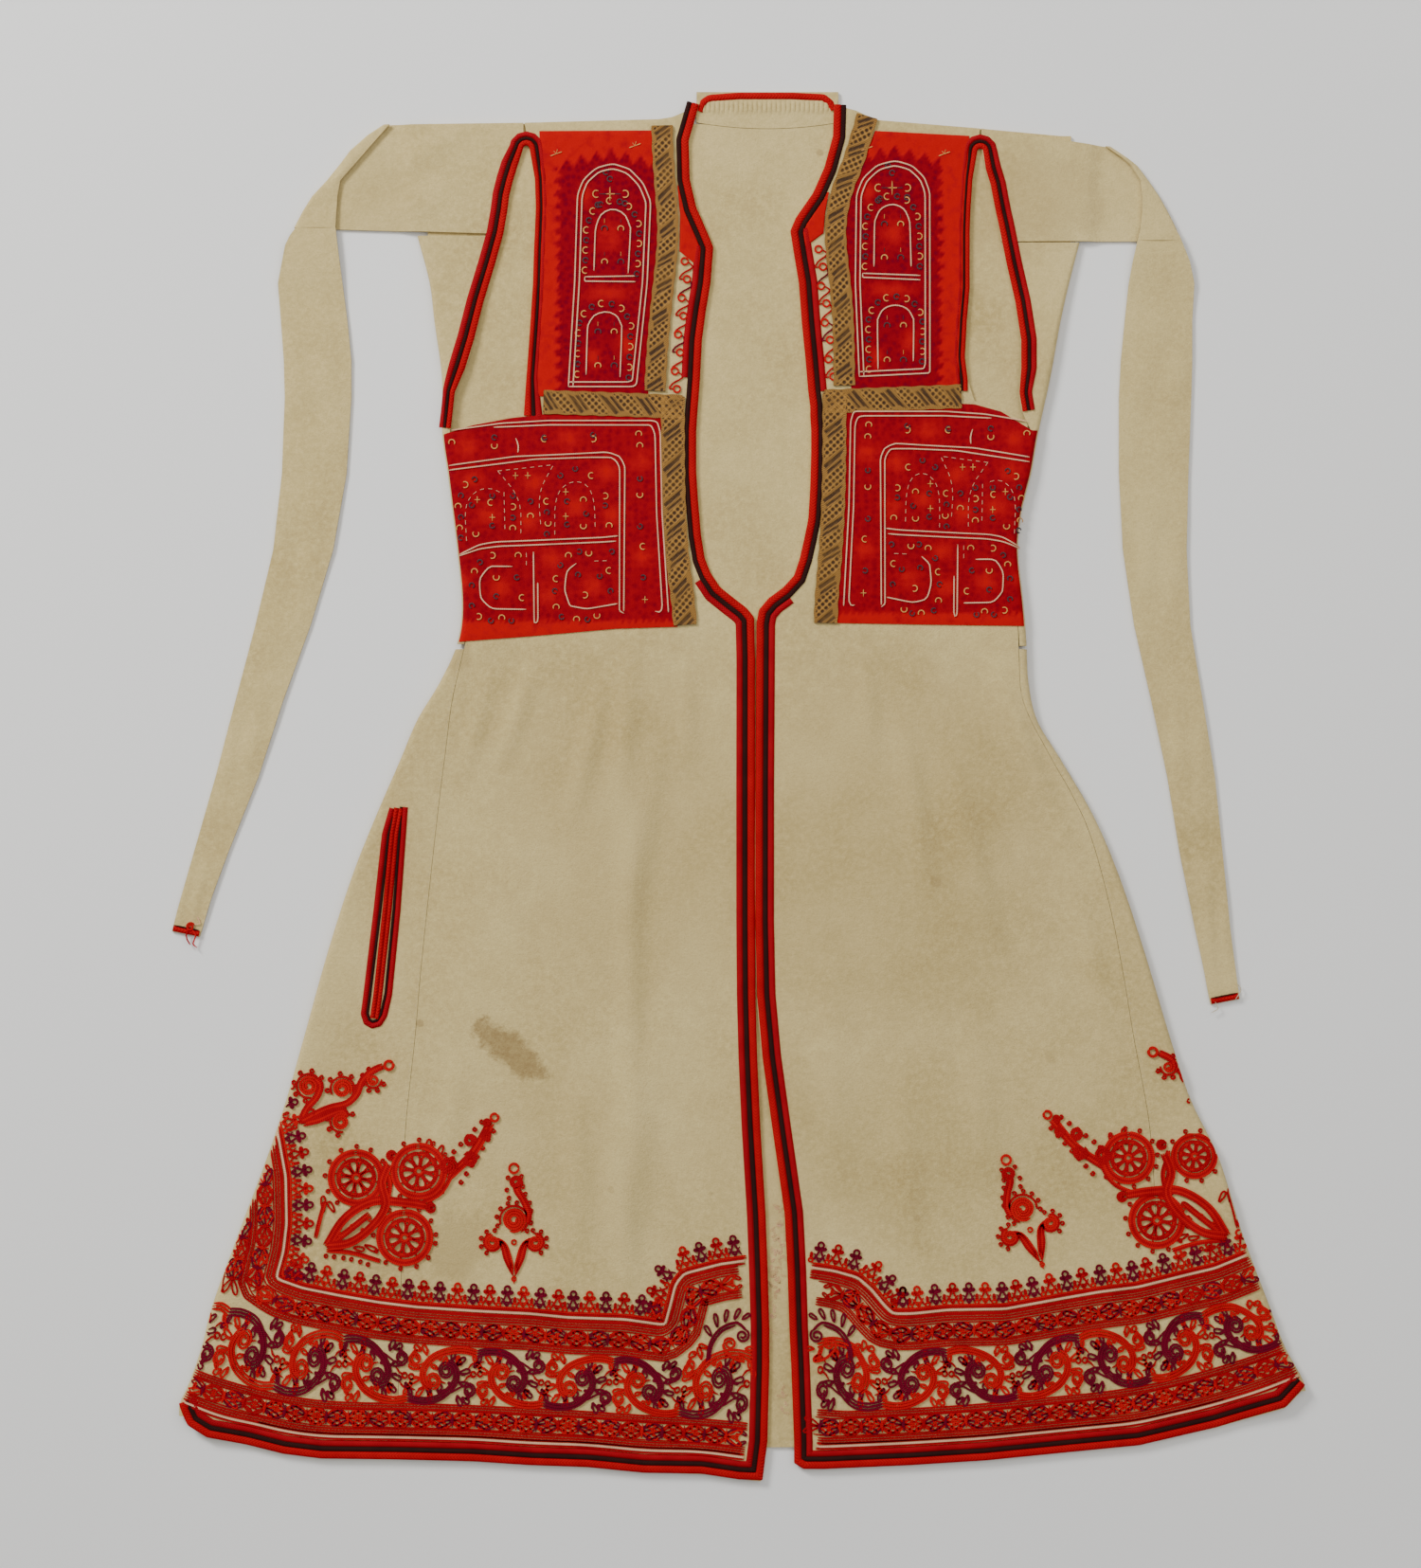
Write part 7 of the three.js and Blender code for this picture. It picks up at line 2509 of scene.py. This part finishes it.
            work.lay(arc(x, y, 1.8, 40 * k, 40 * k + 310, 0.9), Thread.SLATE, 0.6)
        for x, y in self.place(crosses):
            work.lay(along([(x - 2.2, y), (x + 2.2, y)], 1.0), Thread.YELLOW, 0.45)
            work.lay(along([(x, y - 2.6), (x, y + 2.6)], 1.0), Thread.YELLOW, 0.45)


@dataclass
class Pocket:
    """Bound slit on the left gore."""

    rim: tuple = ((-256.9, -15.4), (-262.5, -35), (-268.8, -91), (-276.5, -154), (-278.4, -168),
                  (-276, -175.5), (-270, -179), (-263, -177), (-258.5, -170), (-254.8, -154),
                  (-248.5, -91),
                  (-244.3, -35), (-242.9, -15.4))
    middle: tuple = ((-249.9, -16), (-253.4, -35), (-258.6, -91), (-265.6, -154), (-268, -171))

    def build(self) -> list[bpy.types.Object]:
        """Makes the binding and the welt.

        Returns:
            Their pieces.
        """
        def braid(name: str, node: tuple, finish: PlaitedBraid, slot: str, path: tuple, near: float,
                  far: float,
                  **more: float) -> bpy.types.Object:
            """One braid of the pocket."""
            return Braid(name, node, finish, slot, path, near, far, -1, 5, step=1.0, **more).build()

        return [
            braid("pocket_dark", ("pocket_binding",), DARK_BRAID, "dark_braid", self.rim, 0.2, 4.3),
            braid("pocket_black", (), BLACK_BRAID, "black_braid", self.rim, 4.2, 6.2, thick=1.0),
            braid("pocket_welt_left", ("pocket_welt",), BRIGHT_BRAID, "bright_braid", self.middle, -3.4,
                  0.05, thick=1.5),
            braid("pocket_welt_right", (), BRIGHT_BRAID, "bright_braid", self.middle, 0.05, 3.4,
                  thick=1.5),
        ]


@dataclass
class Finishing:
    """Small sewing: sleeve ends, seams and loose threads."""

    def sleeve_end(self, side: Side) -> list[bpy.types.Object]:
        """Red binding across the end of a hanging sleeve, with its loose threads.

        Args:
            side: the half of the coat.

        Returns:
            The pieces.
        """
        y, outer, inner = SLEEVE_STRIPS[side][-1]
        into = side.into
        path = [(outer + into * 0.6, y + 0.2), ((outer + inner) / 2, y - 1.8),
                (inner - into * 0.6, y - 3.8)]
        level: Height = lambda a, b: np.full(np.shape(a), 2.35)
        band = Braid(f"sleeve_binding_{side.word}", (f"sleeve_end_{side.word}",), BRIGHT_BRAID,
                     "bright_braid",
                     path, 0.0, 4.2, -into, 5, step=1.0, face=level)
        work = Stitching(face=level, lift=1.2, clip=False)
        work.lay(offset(along(path, 2.0), 4.6, -into), Thread.BLACK, 0.6)
        if side is Side.LEFT:
            work.lay(spiral(-404, -103.5, 3.2, 20, 1.6), Thread.BRIGHT, 0.9)
            work.lay(curve((-404, -104), (-400, -110), (-402, -116), (-399, -119)), Thread.BRIGHT, 0.7)
            work.lay(curve((-405, -104), (-407, -111), (-404, -117)), Thread.MIDDLE, 0.7)
            work.lay(curve((-403, -102), (-397, -101), (-399, -96)), Thread.IVORY, 0.45)
        else:
            work.lay(curve((352, -159), (354, -164), (349, -167)), Thread.WHITE, 0.4)
            work.lay(curve((367, -157), (371, -150), (368, -145)), Thread.WHITE, 0.4)
        return [band.build(), *work.build(f"sleeve_threads_{side.word}")]

    def seams(self) -> list[bpy.types.Object]:
        """Stitches along the gore seams.

        Returns:
            Their pieces.
        """
        work = Stitching(clip=True)
        for side in Side:
            seam = SHAPE.gore_seam(side.column, 40)[:-10]
            for dash in dashes(offset(seam, 1.6, side.into), 2.6, 2.6):
                work.lay(dash, Thread.WHITE, 0.3, -0.22)
        return work.build("seam_stitches")

    def wedge(self, side: Side) -> bpy.types.Object:
        """Makes the red cloth between the lace and the braids beside the neck.

        Args:
            side: the half of the coat.

        Returns:
            Its piece.
        """
        neck = offset(Edges.opening(side)[0], 9.3, side.into)
        neck = neck[np.argsort(neck[:, 1])]
        inner = Profile(tuple(neck[:, 1]), tuple(neck[:, 0]))
        if side is Side.LEFT:
            top, bottom = ((-50, 443), (-20, 443)), ((-45, 396), (-28, 382))
            outer = ((380, -43.6), (399, -43.0), (420, -42.6), (445, -44.8))
        else:
            top, bottom = ((40, 438), (70, 438)), ((50, 398), (66, 410))
            outer = ((398, 62.8), (406, 62.8), (423.5, 64.4), (440, 67.4))
        shape = [Profile.column(table) for table in (top, bottom, outer)]
        return RedPanel(f"neck_cloth_{side.word}", f"neck_wedge_{side.word}", *shape, inner,
                        lambda x, y: np.zeros(np.shape(x)), 16, 40).build()

    def reverse(self) -> list[bpy.types.Object]:
        """Ends of the border's stitches that show on the back, inside the slit."""
        work = Stitching(face=lambda x, y: np.full(np.shape(x), 2.15), clip=False)
        for k in range(150):
            x = 8 + 27 * ((k * 0.618) % 1.0)
            y = -310 - 158 * ((k * 0.3819 + 0.17 * math.sin(k)) % 1.0)
            if x < SHAPE.front_edge(Side.LEFT, y) - 4 or x > SHAPE.front_edge(Side.RIGHT, y) + 4:
                continue
            work.lay(turned(loop(0, 0, 3.4 + k % 3, 1.6, 0), x, y, 37.0 * k),
                     Thread.STRAW if k % 3 else Thread.IVORY, 0.3)
        return work.build("reverse_stitches")

    def build(self) -> list[bpy.types.Object]:
        """Makes all of it.

        Returns:
            The pieces.
        """
        return [self.wedge(Side.LEFT), self.wedge(Side.RIGHT), *self.sleeve_end(Side.LEFT),
                *self.sleeve_end(Side.RIGHT), *self.seams(), *self.reverse()]
def trims() -> list:
    """Trims in the order of making."""
    pairs = [part(side) for part in (HemBorder, SkirtMotifs, ChestScroll, Bib, WaistPanel) for side in Side]
    return [collar_braid(), *edge_braids(Side.LEFT), *edge_braids(Side.RIGHT), *laces(), *pairs, Pocket(),
            Finishing()]




# ---- Studio ----


@dataclass
class Studio:
    """Floor, soft lights and the camera straight above."""

    width_px: int = 1500
    height_px: int = 1655
    scale: float = 0.7
    middle_px: tuple[float, float] = (779.0, 830.0)
    lens: float = 70.0
    sensor: float = 36.0
    floor_half: float = 6.0
    floor_drop: float = 0.0004

    def lamp(self, name: str, place: Row, size: float, watts: float, aim: Row = (0.0, 0.0, 0.0)) -> None:
        """Hangs one soft area light.

        Args:
            name: its name.
            place: where it hangs, in metres.
            size: its side, in metres.
            watts: its strength.
            aim: what it points at.
        """
        data = bpy.data.lights.new(name, "AREA")
        data.energy = watts
        data.size = size
        lamp = bpy.data.objects.new(name, data)
        lamp.location = place
        direction = np.array(aim) - np.array(place)
        level = math.hypot(direction[0], direction[1])
        lamp.rotation_euler = (math.atan2(level, -direction[2]), 0.0,
                               math.atan2(direction[1], direction[0]) - math.pi / 2)
        bpy.context.scene.collection.objects.link(lamp)

    def build(self) -> None:
        """Sets the floor, the lights and the camera."""
        scene = bpy.context.scene
        mesh = bpy.data.meshes.new("floor")
        half = self.floor_half
        mesh.from_pydata([(-half, -half, 0), (half, -half, 0), (half, half, 0), (-half, half, 0)], [],
                         [(0, 1, 2, 3)])
        mesh.materials.append(material_of(PaleFloor()))
        floor = bpy.data.objects.new("floor", mesh)
        floor.location.z = -self.floor_drop
        scene.collection.objects.link(floor)
        floor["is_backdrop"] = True
        self.lamp("key_light", (-1.9, 1.9, 2.0), 0.9, 106.0)
        self.lamp("fill_light", (1.6, 0.8, 2.6), 2.0, 22.0)
        self.lamp("sky_light", (0.0, 0.9, 3.2), 2.4, 27.0)
        world = bpy.data.worlds.new("studio")
        world.use_nodes = True
        world.node_tree.nodes["Background"].inputs["Color"].default_value = (1.0, 0.99, 0.97, 1.0)
        world.node_tree.nodes["Background"].inputs["Strength"].default_value = 0.42
        scene.world = world
        camera = bpy.data.cameras.new("camera")
        camera.lens = self.lens
        camera.sensor_width = self.sensor
        seen = self.height_px * self.scale * MM
        x = (self.width_px / 2 - self.middle_px[0]) * self.scale * MM
        y = (self.middle_px[1] - self.height_px / 2) * self.scale * MM
        eye = bpy.data.objects.new("camera", camera)
        eye.location = (x, y, seen * self.lens / self.sensor)
        scene.collection.objects.link(eye)
        scene.camera = eye


def note_sizes() -> None:
    """Works out the box of what shows, beside the box of the solids, and keeps neither."""
    boxes = {"cad": CAD_BOX, "visual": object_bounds()}
    {name: [[float(v) for v in corner] for corner in box] for name, box in boxes.items()}


def main() -> None:
    """Builds the coat, piece by piece."""
    logging.basicConfig(level=logging.INFO, format="%(message)s")
    Studio().build()
    parts = [Back(), Collar()]
    for side in Side:
        parts += [Front(side), Gore(side), Sleeve(side)]
    parts += trims()
    for part in parts:
        made = part.build()
        for piece in made if isinstance(made, list) else [made]:
            log.info("%s: %d faces", piece.name, len(piece.data.polygons))
    note_sizes()


if __name__ == "__main__":
    main()
